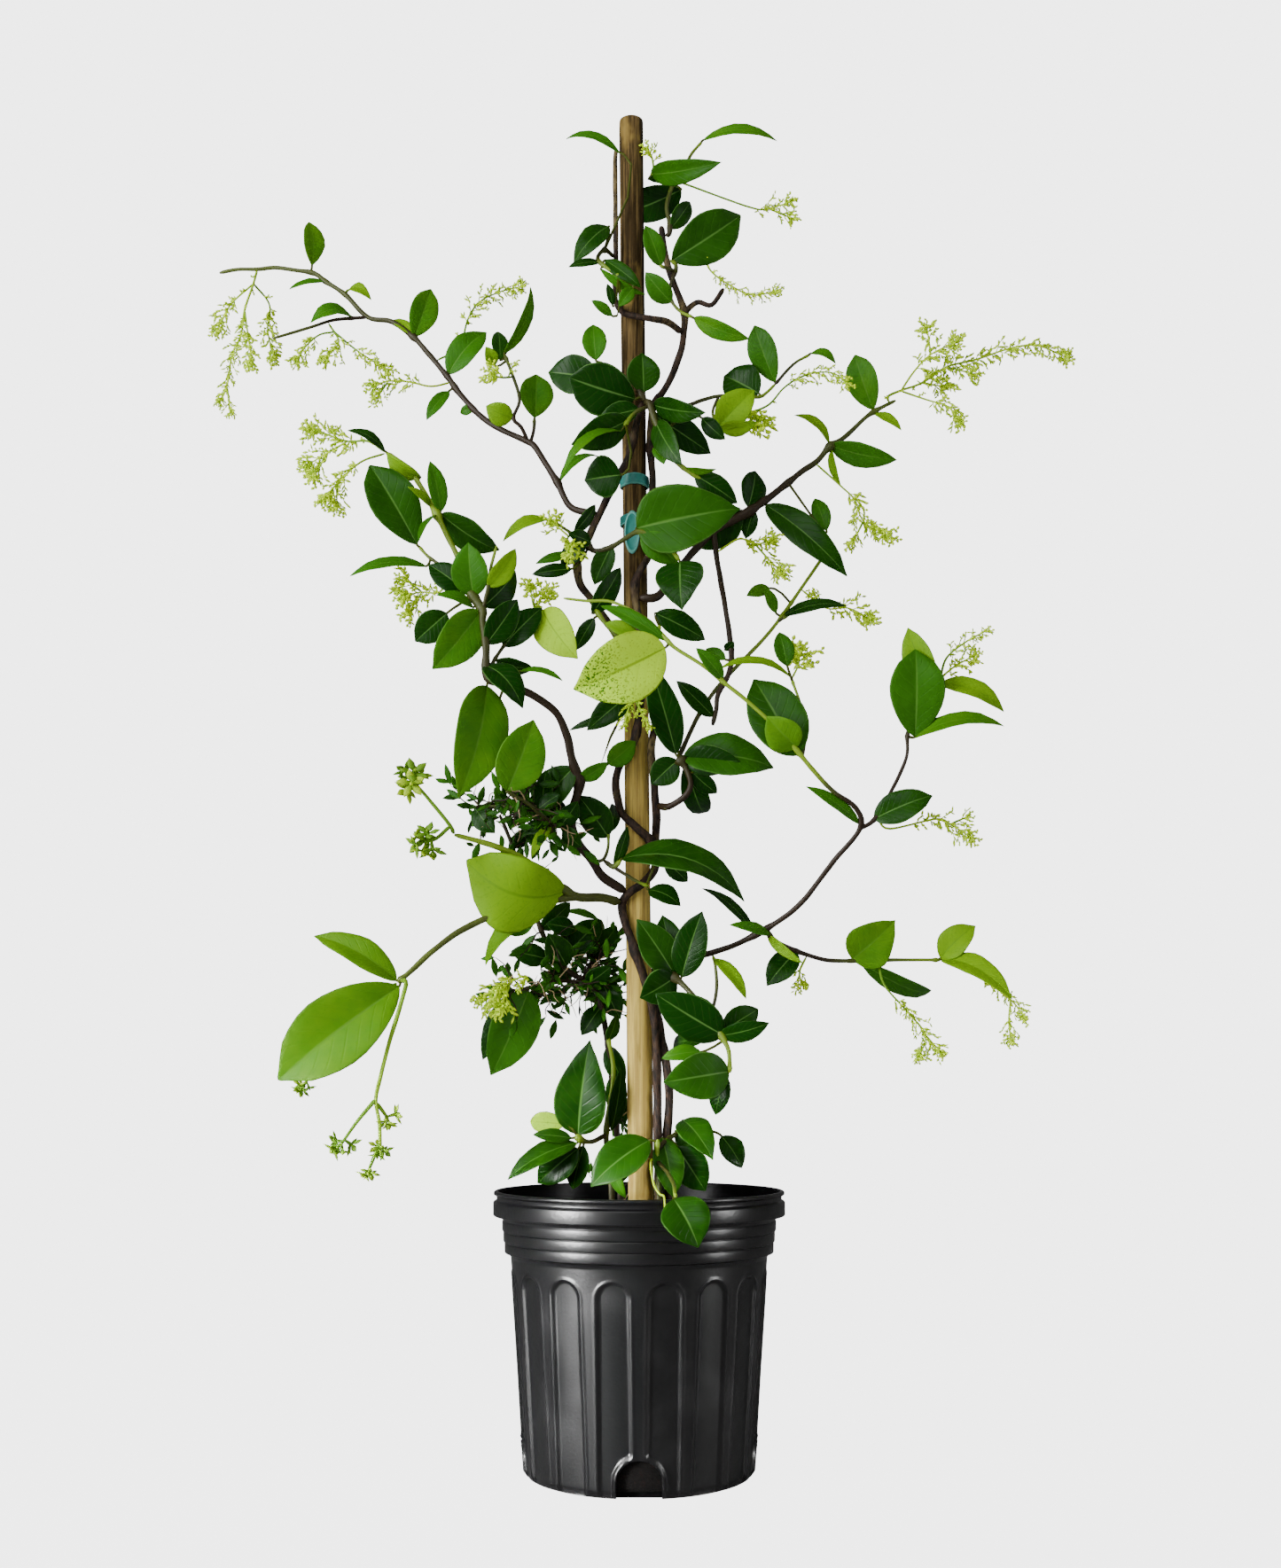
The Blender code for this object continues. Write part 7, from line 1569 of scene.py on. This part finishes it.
def make_sprays(looks):
    """The flower sprays: each with its stalks, and its feathery, star or plump cream heads."""
    finish = flower_skin(looks)
    _, _, sprays, heads = lay_out_plant()
    for number, (name, stalks) in enumerate(sprays.items()):
        skins = Skins()
        draw = random.Random(SPRAY_SEED + number)
        for (spec, points), placed in zip(stalks, heads[name]):
            cream = name == "hanging_thread"
            star = name.startswith("spray_lower_left")
            radius = spec["radius"] * (1.4 if star else 0.85)
            tone = ((0.1, draw.random(), 0.3, 1.0) if cream else (0.0, draw.random(), 0.25, 0.0) if star
                    else (0.1, draw.random(), 0.7, 0.3))
            add_stem(skins, (radius, radius * 0.7, points), 6, 2.2, tone, 0)
            if not star and not cream and placed:
                add_plume(skins, points, spec["size"], looks, draw)
            if placed:
                adder = add_cream_buds if cream else add_stars if star else add_feathers
                adder(skins, placed, looks, draw)
        piece = "pale_hanging_bud" if name == "hanging_thread" else name.replace("spray", "flowers")
        skins.piece(piece, [finish], name, "flower_lime")


class Wire:
    """A value in a material's node tree; sums of wires add their Math nodes."""

    def __init__(self, finish, socket):
        self.finish, self.socket = finish, socket

    def math(self, operation, *others):
        """One Math node of this value and others."""
        return self.finish.node("Math", {"operation": operation}, dict(enumerate((self,) + others)))

    def __add__(self, other):
        return self.math("ADD", other)

    def __sub__(self, other):
        return self.math("SUBTRACT", other)

    def __mul__(self, other):
        return self.math("MULTIPLY", other)

    def __rsub__(self, other):
        return self.math("MULTIPLY_ADD", -1, other)

    __radd__, __rmul__ = __add__, __mul__

    def __abs__(self):
        return self.math("ABSOLUTE")

    def clamp(self):
        """The value held between nought and one."""
        return self.finish.node("Clamp", {}, {"Value": self})

    def over(self, low, high):
        """A smooth step of the value from low to high."""
        return self.finish.node("MapRange", {"interpolation_type": "SMOOTHSTEP"},
                                {"Value": self, "From Min": low, "From Max": high})


class Finish:
    """One material and the node tree that makes its finish."""

    def __init__(self, name, constants):
        self.material = bpy.data.materials.new(name)
        self.material.use_nodes = True
        self.tree = self.material.node_tree
        self.shader = self.tree.nodes["Principled BSDF"]
        for socket, value in constants.items():
            self.feed(self.shader.inputs[socket], value)
        self.place = self.node("TexCoord", {}, {}, "Object")

    def feed(self, socket, value):
        """Gives a socket a wire or a plain value."""
        if isinstance(value, Wire):
            self.tree.links.new(value.socket, socket)
        elif socket.type == "RGBA":
            socket.default_value = (*value, 1.0)
        else:
            socket.default_value = value

    def node(self, kind, settings, values, out=0):
        """Adds a node, with its settings first and then its sockets, and returns one of its outputs."""
        made = self.tree.nodes.new("ShaderNode" + kind)
        for key, value in settings.items():
            setattr(made, key, value)
        for key, value in values.items():
            self.feed(made.inputs[key], value)
        return Wire(self, made.outputs[out])

    def blend(self, share, first, second, mode="MIX"):
        """A colour between two, by a share."""
        settings = {"data_type": "RGBA", "blend_type": mode}
        return self.node("Mix", settings, {0: share, 6: first, 7: second}, 2)

    def noise(self, scale, detail=2.0, stretch=(1, 1, 1), roughness=0.5):
        """Cloudy noise over the object, stretched where one way's scale is less."""
        place = self.node("Mapping", {}, {"Vector": self.place, "Scale": stretch})
        return self.node("TexNoise", {}, {"Vector": place, "Scale": scale, "Detail": detail,
                                          "Roughness": roughness})

    def parts(self, kind, whole):
        """The three numbers of a place, XYZ, or of a colour, Color."""
        made = self.node("Separate" + kind, {}, {0: whole}).socket.node
        return [Wire(self, output) for output in made.outputs]

    def tone(self):
        """The four numbers of the colour attribute."""
        read = self.node("Attribute", {"attribute_name": "tone"}, {}, "Color")
        return self.parts("Color", read) + [Wire(self, read.socket.node.outputs["Alpha"])]

    def bump(self, height, strength, distance):
        """Makes the surface rise and fall with a value."""
        made = self.node("Bump", {}, {"Height": height, "Strength": strength, "Distance": distance}, "Normal")
        self.feed(self.shader.inputs["Normal"], made)

    def cover(self, share, other):
        """Lets a share of another shader stand in for the material's own, and returns the material."""
        both = self.node("MixShader", {}, {0: share, 1: Wire(self, self.shader.outputs[0]), 2: other})
        self.feed(self.tree.nodes["Material Output"].inputs["Surface"], both)
        return self.material

    def done(self, colour, roughness):
        """Gives the shader its colour and roughness, and returns the material."""
        self.feed(self.shader.inputs["Base Color"], colour)
        self.feed(self.shader.inputs["Roughness"], roughness)
        return self.material


def black_plastic(looks):
    """Near-black plastic with a satin, slightly orange-peel skin and a little dust; its inner wall is made
    matt as painted shade inside the pot.
    """
    finish = Finish("black_plastic", {"Specular IOR Level": 0.5})
    dust = finish.noise(38.0, 4.0).over(0.5, 0.72)
    peel = finish.noise(520.0, 1.0)
    finish.bump(peel, 0.12, 0.0006)
    colour = finish.blend(dust * 0.35, looks.colour, looks.dust)
    finish.done(colour, dust * 0.08 + looks.roughness)
    # Painted shade: the inner wall, marked by the first tone, turns mostly matt near-black so the inside of
    # the pot shows dark
    matt = finish.node("BsdfDiffuse", {}, {"Color": looks.colour})
    return finish.cover(finish.tone()[0] * SHADE_INSIDE_SHARE, matt)


def loose_soil(looks):
    """Dark soil with paler and reddish specks, painted near-black low in the pot as shade where it shows
    through the notches.
    """
    finish = Finish("loose_soil", {"Specular IOR Level": 0.2})
    grains = finish.noise(900.0, 3.0)
    red = finish.noise(420.0, 1.0).over(0.6, 0.68)
    colour = finish.blend(grains.over(0.35, 0.75), looks.dark, looks.light)
    colour = finish.blend(red * 0.7, colour, looks.red)
    height = finish.parts("XYZ", finish.place)[2]
    # Painted shade: below 6 to 12 cm the soil turns near-black, as the shaded soil seen through the notches
    colour = finish.blend(0.95 - height.over(0.06, 0.12) * 0.95, colour, (0.001, 0.001, 0.001))
    finish.bump(grains, 0.6, 0.001)
    return finish.done(colour, 0.95)


def old_wood(looks):
    """Weathered wood: pale and worn low down, browner with pale streaks higher up, stained here and there;
    the dark strip down its upper right side is partly bark, partly painted shade.
    """
    finish = Finish("old_wood", {"Specular IOR Level": 0.12})
    rightward, _, height = finish.parts("XYZ", finish.place)
    grain = finish.noise(420.0, 5.0, (1, 1, 0.035), 0.65)
    patches = finish.noise(46.0, 4.0, (1, 1, 0.5), 0.6)
    stain = finish.noise(110.0, 3.0, (1, 1, 0.25))
    low = finish.blend(grain.over(0.36, 0.66), looks.pale_brown, looks.pale)
    high = finish.blend(grain.over(0.42, 0.68), looks.brown, looks.tan)
    change = (height + patches * 0.16 - 0.08).over(0.40, 0.52)
    colour = finish.blend(change, low, high)
    colour = finish.blend(patches.over(0.56, 0.7) * 0.75, colour, looks.pale_brown)
    colour = finish.blend(stain.over(0.62, 0.76) * 0.6, colour, looks.brown)
    # Painted shade, partly bark: a dark strip down the right side of the stake's upper part, the side away
    # from the key light
    right = rightward + patches * 0.006 + height * 0.006 - 0.0085
    colour = finish.blend(right.over(0.0, 0.0012) * height.over(0.5, 0.56) * 0.9, colour, looks.bark)
    end = height.over(0.7945, 0.7955)
    colour = finish.blend(end, colour, looks.cut_end)
    finish.bump(grain, 0.5, 0.0008)
    return finish.done(colour, grain * -0.2 + 0.85)


def teal_tape(looks):
    """Soft teal tape with a paler edge."""
    finish = Finish("teal_tape", {"Specular IOR Level": 0.4})
    edge = finish.tone()[0]
    worn = finish.noise(240.0, 3.0)
    colour = finish.blend(edge.over(0.6, 0.95), looks.teal, looks.teal_edge)
    colour = finish.blend(worn.over(0.5, 0.8) * 0.3, colour, looks.teal_edge)
    finish.bump(worn, 0.2, 0.0004)
    return finish.done(colour, worn * 0.2 + 0.4)


def dark_bark(looks):
    """Dark bark with long cracks and worn tan-olive stretches."""
    finish = Finish("dark_bark", {"Specular IOR Level": 0.3})
    cracks = finish.noise(520.0, 4.0, (1, 1, 0.3), 0.65)
    worn = finish.noise(30.0, 3.0).over(0.5, 0.66)
    colour = finish.blend(cracks.over(0.35, 0.7), looks.dark, looks.brown)
    colour = finish.blend(worn * cracks.over(0.3, 0.6) * 0.8, colour, looks.olive)
    finish.bump(cracks, 0.7, 0.0009)
    return finish.done(colour, cracks * -0.2 + 0.8)


def young_bark(looks):
    """Thin stems: brown bark that turns olive and then lime green, by the first tone."""
    finish = Finish("young_bark", {"Specular IOR Level": 0.4})
    green, _, _, dry = finish.tone()
    specks = finish.noise(90.0, 3.0)
    share = green + (specks - 0.5) * 0.2
    colour = finish.blend(share.over(0.15, 0.5), looks.stem_brown, looks.stem_olive)
    colour = finish.blend(share.over(0.5, 0.95), colour, looks.stem_lime)
    colour = finish.blend(dry, colour, looks.rootlet)
    finish.bump(specks, 0.2, 0.001)
    return finish.done(colour, 0.5)


def leaf_skin(looks):
    """Leaves of every age: glossy face, matt paler back, pale midrib, faint side veins and a thin pale edge
    painted as a highlight.
    """
    finish = Finish("leaf_skin", {"Specular IOR Level": 0.14})
    age, tint, under, _ = finish.tone()
    along, across, _ = finish.parts("XYZ", finish.node("UVMap", {"uv_map": "surface"}, {}))
    off = abs(across - 0.5) * 2
    cloud = finish.noise(70.0, 3.0)
    fine = finish.noise(900.0, 2.0)
    look = age * 1.5
    ripe = (look + (cloud - 0.5) * 0.3 + (tint - 0.5) * 0.2).clamp()
    face = finish.blend((ripe * 2).clamp(), looks.dark, looks.mid)
    face = finish.blend((ripe * 2 - 1).clamp(), face, looks.lime)
    back = finish.blend(ripe, looks.back_dark, looks.back_lime)
    face = finish.blend(look.over(1.1, 1.5), face, looks.bright)
    speckle = (fine.over(0.58, 0.7) * 0.35
               + fine.over(0.52, 0.6) * look.over(1.35, 1.5) * along.over(0.35, 0.8))
    face = finish.blend((speckle * ripe).clamp(), face, looks.mid)
    colour = finish.blend(under.over(0.45, 0.55), face, back)
    blade = along.over(-0.05, 0.03)
    midrib = (1 - off.over(0.015, 0.06)) * blade * (1 - along * 0.4)
    waves = (along * 8.5 - off * 2.1).math("FRACT")
    vein = (1 - abs(waves - 0.5).over(0.0, 0.12)) * blade * off.over(0.05, 0.15) * (1 - off.over(0.75, 0.95))
    # Painted highlight: a thin pale line along the blade's edge, broken up by the cloud
    edge = off.over(0.92, 0.97) * blade * cloud.over(0.3, 0.6)
    pale = finish.blend(ripe, looks.vein_dark, looks.vein_lime)
    colour = finish.blend((midrib * 0.65 + vein * 0.045 + edge * 0.5).clamp(), colour, pale)
    colour = finish.blend(1 - blade, colour, looks.stem_olive)
    finish.bump(vein * -0.3 + cloud * 0.5 + fine * 0.012, 0.3, 0.001)
    gloss = under.over(0.3, 0.6) * 0.3 + ripe * 0.3 + looks.leaf_roughness
    return finish.done(colour, gloss + (cloud - 0.5) * 0.12)


def flower_skin(looks):
    """Flowers: green at the root and pale at the tip, more so in the pale kinds, by the last tone."""
    finish = Finish("flower_skin", {"Specular IOR Level": 0.35})
    along, tint, kind, pale = finish.tone()
    specks = finish.noise(800.0, 1.0)
    share = (along * 0.5 + pale * 0.7 + (tint - 0.5) * 0.5).clamp()
    colour = finish.blend(share.over(0.05, 0.7), looks.green, looks.lime)
    colour = finish.blend(kind.over(0.7, 0.9), colour, looks.cream)
    colour = finish.blend(specks.over(0.56, 0.7) * 0.5 * tint, colour, looks.green)
    return finish.done(colour, 0.6)


def colour_setting(name, description, default):
    """A colour that a user can change."""
    return FloatVectorProperty(name=name, description=description, default=default, subtype="COLOR",
                               min=0, max=1)


def size_setting(name, description, default):
    """A size in metres that a user can change."""
    return FloatProperty(name=name, description=description, default=default, subtype="DISTANCE", precision=5)


def number_setting(name, description, default, subtype="FACTOR"):
    """A share, or with another subtype a power or a plain number, that a user can change."""
    return FloatProperty(name=name, description=description, default=default, subtype=subtype)


class JasminePot(bpy.types.PropertyGroup):
    """Sizes and colours of the pot."""

    bead: size_setting("Bead", "How far the bead along a flute stands out", 0.00045)
    roughness: number_setting("Roughness", "How matt the plastic is", 0.3)
    colour: colour_setting("Plastic", "Colour of the pot", (0.0035, 0.0035, 0.0038))
    dust: colour_setting("Dust", "Colour of the dust on it", (0.010, 0.010, 0.0105))


class JasmineSoil(bpy.types.PropertyGroup):
    """Sizes and colours of the soil."""

    clods: size_setting("Clods", "Height of the clods", 0.0012)
    crumbs: IntProperty(name="Crumbs", description="Number of loose crumbs", default=260, min=0)
    dark: colour_setting("Damp", "Colour of the soil", (0.012, 0.007, 0.004))
    light: colour_setting("Dry", "Colour of its dry grains", (0.07, 0.045, 0.03))
    red: colour_setting("Specks", "Colour of its reddish specks", (0.12, 0.03, 0.015))


class JasmineWood(bpy.types.PropertyGroup):
    """Sizes and colours of the stake and the tapes."""

    worn_edge: size_setting("Worn edge", "How far the stake's ends are rounded", 0.0002)
    pale: colour_setting("Pale", "Worn wood low down", (0.60, 0.44, 0.10))
    pale_brown: colour_setting("Pale brown", "Its darker grain", (0.30, 0.20, 0.05))
    brown: colour_setting("Brown", "Weathered wood higher up", (0.035, 0.021, 0.006))
    tan: colour_setting("Tan", "Streaks in it", (0.20, 0.13, 0.045))
    # Painted shade, partly bark: the dark strip down the stake's right side
    bark: colour_setting("Bark", "A strip of bark left on its right side", (0.012, 0.007, 0.003))
    cut_end: colour_setting("Cut end", "The sawn top", (0.30, 0.12, 0.07))
    teal: colour_setting("Tape", "Colour of the tapes", (0.012, 0.19, 0.16))
    teal_edge: colour_setting("Tape edge", "Colour of their edges", (0.12, 0.42, 0.36))


class JasmineVines(bpy.types.PropertyGroup):
    """Sizes and colours of the bare vines."""

    roughness_of_bark: number_setting("Bark", "How uneven the bark is", 0.05, "NONE")
    dark: colour_setting("Dark", "Cracks in the bark", (0.010, 0.006, 0.004))
    brown: colour_setting("Brown", "The bark", (0.055, 0.028, 0.014))
    olive: colour_setting("Olive", "Worn bark", (0.20, 0.15, 0.055))


class JasmineLeaves(bpy.types.PropertyGroup):
    """Sizes and colours of the leaves and their stems."""

    leaf_thickness: size_setting("Thickness", "Thickness of a leaf", 0.0006)
    waviness: number_setting("Waviness", "Height of the edge's waves as a share of the half width", 0.08)
    leaf_roughness: number_setting("Roughness", "How matt a leaf's face is", 0.30)
    dark: colour_setting("Old leaf", "Face of an old leaf", (0.0035, 0.036, 0.0))
    mid: colour_setting("Grown leaf", "Face of a grown leaf", (0.031, 0.158, 0.0))
    lime: colour_setting("Young leaf", "Face of a young leaf", (0.155, 0.33, 0.0))
    bright: colour_setting("Bright leaf", "Face of the palest leaves", (0.54, 0.88, 0.02))
    back_dark: colour_setting("Old back", "Underside of an old leaf", (0.03, 0.10, 0.015))
    back_lime: colour_setting("Young back", "Underside of a young leaf", (0.28, 0.50, 0.01))
    vein_dark: colour_setting("Old vein", "Veins of an old leaf", (0.13, 0.30, 0.06))
    vein_lime: colour_setting("Young vein", "Veins of a young leaf", (0.08, 0.20, 0.0))
    stem_brown: colour_setting("Brown stem", "Bark of an old stem", (0.028, 0.015, 0.005))
    stem_olive: colour_setting("Olive stem", "Bark of a younger stem", (0.06, 0.075, 0.008))
    stem_lime: colour_setting("Lime stem", "Skin of a young shoot", (0.22, 0.36, 0.01))
    rootlet: colour_setting("Rootlet", "Dry rootlets among the foliage", (0.46, 0.33, 0.17))


class JasmineFlowers(bpy.types.PropertyGroup):
    """Sizes and colours of the flowers."""

    floret_stalk: size_setting("Stalk", "Radius of a floret's axis", 0.00045)
    shoot_spacing: size_setting("Spacing", "How far apart the side shoots of a stalk are", 0.0018)
    star_scale: number_setting("Stars", "Size of the star heads", 1.65, "NONE")
    bud_width: number_setting("Bud", "Half width of a bud as a share of the head", 0.095)
    green: colour_setting("Green", "Roots of the flowers", (0.12, 0.28, 0.003))
    lime: colour_setting("Pale lime", "Their tips", (0.62, 0.86, 0.01))
    cream: colour_setting("Cream", "The pale hanging bud", (0.72, 0.68, 0.38))


class JasmineStage(bpy.types.PropertyGroup):
    """Colours and strengths of the floor and the lights."""

    floor: colour_setting("Floor", "Colour of the floor", (0.9, 0.9, 0.9))
    key: number_setting("Key light", "Power of the large light at the left", 34.0, "POWER")
    front: number_setting("Front light", "Power of the light over the camera", 13.0, "POWER")
    low: number_setting("Low light", "Power of the small light at the pot's left", 0.72, "POWER")
    fill: number_setting("Edge light", "Power of the light at the right", 3.0, "POWER")
    sky: number_setting("Sky", "Brightness all round", 0.22, "NONE")
    glow: number_setting("Backdrop", "Brightness of the backdrop in the picture", 5.0, "NONE")
    glow_share: number_setting("Even floor", "How little the floor shows of its shading", 0.93)


def add_light(name, place, aim, size, power):
    """A large soft light that looks at a point."""
    data = bpy.data.lights.new(name, "AREA")
    data.shape = "RECTANGLE"
    data.size, data.size_y = size
    data.energy = power
    obj = put_in_scene(name, data)
    obj.location = place
    obj.rotation_euler = (Vector(aim) - Vector(place)).to_track_quat("-Z", "Y").to_euler()
    return obj


def make_floor(looks):
    """A round pale floor that is flat out to its edge and then curves up like a bowl, and shows near-black in
    reflections as a painted dark reflection.
    """
    radius = np.concatenate([[0.3, 1.0, 2.2], 2.2 + 1.2 * np.sin(np.linspace(0.15, np.pi / 2, 12)), [3.4]])
    height = np.concatenate([[0, 0, 0], 1.2 - 1.2 * np.cos(np.linspace(0.15, np.pi / 2, 12)), [4.0]])
    turns = ring_turns(96)
    rows = beside(radius[:, None] * np.cos(turns), radius[:, None] * np.sin(turns), height[:, None])
    count, corners = rows.shape[:2]
    row, turn = np.meshgrid(np.arange(count - 1), np.arange(corners), indexing="ij")
    after = (turn + 1) % corners
    quads = np.stack([row * corners + turn, (row + 1) * corners + turn,
                      (row + 1) * corners + after, row * corners + after], -1).reshape(-1, 4)
    caps = [(count * corners, k, (k + 1) % corners) for k in range(corners)]
    mesh = bpy.data.meshes.new("pale_floor")
    mesh.from_pydata(rows.reshape(-1, 3).tolist() + [(0, 0, 0)], [], quads.tolist() + caps)
    mesh.polygons.foreach_set("use_smooth", np.ones(len(mesh.polygons), bool))
    floor = put_in_scene("pale_floor", mesh)
    finish = Finish("pale_paper", {"Specular IOR Level": 0.1})
    cloud = finish.noise(1.5, 2.0)
    colour = finish.blend(cloud * 0.1, looks.floor, tuple(channel * 0.97 for channel in looks.floor))
    # Painted reflection: in glossy rays the floor shows near-black, so the pot's walls reflect dark instead
    # of the pale floor
    mirrored = finish.node("LightPath", {}, {}, "Is Glossy Ray")
    colour = finish.blend(mirrored * 0.75, colour, (0.02, 0.02, 0.02))
    mesh.materials.append(finish.done(colour, 0.9))
    seen = finish.node("LightPath", {}, {}, "Is Camera Ray")
    glow = finish.node("Emission", {}, {"Color": looks.floor, "Strength": looks.glow})
    finish.cover(seen * looks.glow_share, glow)
    return floor


def make_stage(looks):
    """The floor, the lights, the sky and the camera that took the photograph."""
    floor = make_floor(looks)
    lights = [add_light("left_light", (-1.35, -0.95, 0.75), (0, 0, 0.3), (0.7, 1.5), looks.key),
              add_light("front_light", (-0.5, -1.9, 1.5), (0, 0, 0.4), (1.2, 0.8), looks.front),
              add_light("right_light", (1.5, -0.5, 0.9), (0, 0, 0.35), (0.3, 1.4), looks.fill),
              add_light("low_light", (-0.64, -0.45, 0.12), (0, 0, 0.045), (0.2, 0.3), looks.low),
              add_light("low_right_light", (0.70, -0.30, 0.12), (0, 0, 0.045), (0.1, 0.3),
                        looks.low * LOW_RIGHT_SHARE)]
    for light in lights[-2:]:
        light.visible_camera = False
        light.data.spread = LOW_LIGHT_SPREAD
    scene = bpy.context.scene
    scene.world = bpy.data.worlds.new("pale_sky")
    scene.world.use_nodes = True
    tree = scene.world.node_tree
    path = tree.nodes.new("ShaderNodeLightPath")
    strength = tree.nodes.new("ShaderNodeMapRange")
    strength.inputs["To Min"].default_value = looks.sky
    strength.inputs["To Max"].default_value = looks.glow
    tree.links.new(path.outputs["Is Camera Ray"], strength.inputs["Value"])
    tree.links.new(strength.outputs["Result"], tree.nodes["Background"].inputs["Strength"])
    tree.nodes["Background"].inputs["Color"].default_value = (1, 1, 1, 1)
    data = bpy.data.cameras.new("camera")
    data.sensor_fit = "AUTO"
    data.sensor_width = SENSOR_LONG_SIDE
    data.lens = SENSOR_LONG_SIDE * CAMERA_FOCAL_SHARE
    data.shift_x, data.shift_y = SHIFT_X, SHIFT_Y
    data.clip_start = 0.02
    camera = put_in_scene("camera", data)
    camera.location = (0, -EYE_BACK * MM, EYE_HEIGHT * MM)
    camera.rotation_euler = (math.pi / 2 + EYE_TILT, 0, 0)
    scene.camera = camera


class JASMINE_OT_pot(bpy.types.Operator):
    """Build the nursery pot"""

    bl_idname = "jasmine.pot"
    bl_label = "Pot"

    def execute(self, context):
        make_pot(context.scene.jasmine_pot)
        return {"FINISHED"}


class JASMINE_OT_soil(bpy.types.Operator):
    """Build the potting soil"""

    bl_idname = "jasmine.soil"
    bl_label = "Soil"

    def execute(self, context):
        make_soil(context.scene.jasmine_soil)
        return {"FINISHED"}


class JASMINE_OT_stake(bpy.types.Operator):
    """Build the wooden stake"""

    bl_idname = "jasmine.stake"
    bl_label = "Stake"

    def execute(self, context):
        make_stake(context.scene.jasmine_wood)
        return {"FINISHED"}


class JASMINE_OT_ties(bpy.types.Operator):
    """Build the two tapes round the stake"""

    bl_idname = "jasmine.ties"
    bl_label = "Ties"

    def execute(self, context):
        make_ties(context.scene.jasmine_wood)
        return {"FINISHED"}


class JASMINE_OT_vines(bpy.types.Operator):
    """Build the bare vines that twine round the stake"""

    bl_idname = "jasmine.vines"
    bl_label = "Bare vines"

    def execute(self, context):
        make_vines(context.scene.jasmine_vines)
        return {"FINISHED"}


class JASMINE_OT_leaves(bpy.types.Operator):
    """Build the leafy stems"""

    bl_idname = "jasmine.leaves"
    bl_label = "Leafy stems"

    def execute(self, context):
        make_leafy_stems(context.scene.jasmine_leaves)
        return {"FINISHED"}


class JASMINE_OT_flowers(bpy.types.Operator):
    """Build the flower sprays"""

    bl_idname = "jasmine.flowers"
    bl_label = "Flower sprays"

    def execute(self, context):
        make_sprays(context.scene.jasmine_flowers)
        return {"FINISHED"}


class JASMINE_OT_stage(bpy.types.Operator):
    """Set the floor, the lights and the camera"""

    bl_idname = "jasmine.stage"
    bl_label = "Stage"

    def execute(self, context):
        make_stage(context.scene.jasmine_stage)
        return {"FINISHED"}


MAKERS = (JASMINE_OT_pot, JASMINE_OT_soil, JASMINE_OT_stake, JASMINE_OT_ties, JASMINE_OT_vines,
          JASMINE_OT_leaves, JASMINE_OT_flowers, JASMINE_OT_stage)
SETTINGS = {"jasmine_pot": JasminePot, "jasmine_soil": JasmineSoil, "jasmine_wood": JasmineWood,
            "jasmine_vines": JasmineVines, "jasmine_leaves": JasmineLeaves,
            "jasmine_flowers": JasmineFlowers, "jasmine_stage": JasmineStage}


class JASMINE_PT_panel(bpy.types.Panel):
    """Lists what the dresser can build."""

    bl_idname = "JASMINE_PT_panel"
    bl_label = "Potted star jasmine"
    bl_space_type = "VIEW_3D"
    bl_region_type = "UI"
    bl_category = "Jasmine"

    def draw(self, context):
        for operator in MAKERS:
            self.layout.operator(operator.bl_idname)
        for name, group in SETTINGS.items():
            box = self.layout.box()
            for setting in group.__annotations__:
                box.prop(getattr(context.scene, name), setting)


def register():
    """Makes the settings, the operators and the panel known to Blender."""
    for group in (*SETTINGS.values(), *MAKERS, JASMINE_PT_panel):
        bpy.utils.register_class(group)
    for name, group in SETTINGS.items():
        setattr(bpy.types.Scene, name, PointerProperty(type=group))


def unregister():
    """Takes them out again."""
    for name in SETTINGS:
        delattr(bpy.types.Scene, name)
    for group in (JASMINE_PT_panel, *reversed(MAKERS), *SETTINGS.values()):
        bpy.utils.unregister_class(group)


def main():
    """Builds every piece and the stage."""
    register()
    for operator in MAKERS:
        group, name = operator.bl_idname.split(".")
        getattr(getattr(bpy.ops, group), name)()
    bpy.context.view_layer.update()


if __name__ == "__main__":
    main()
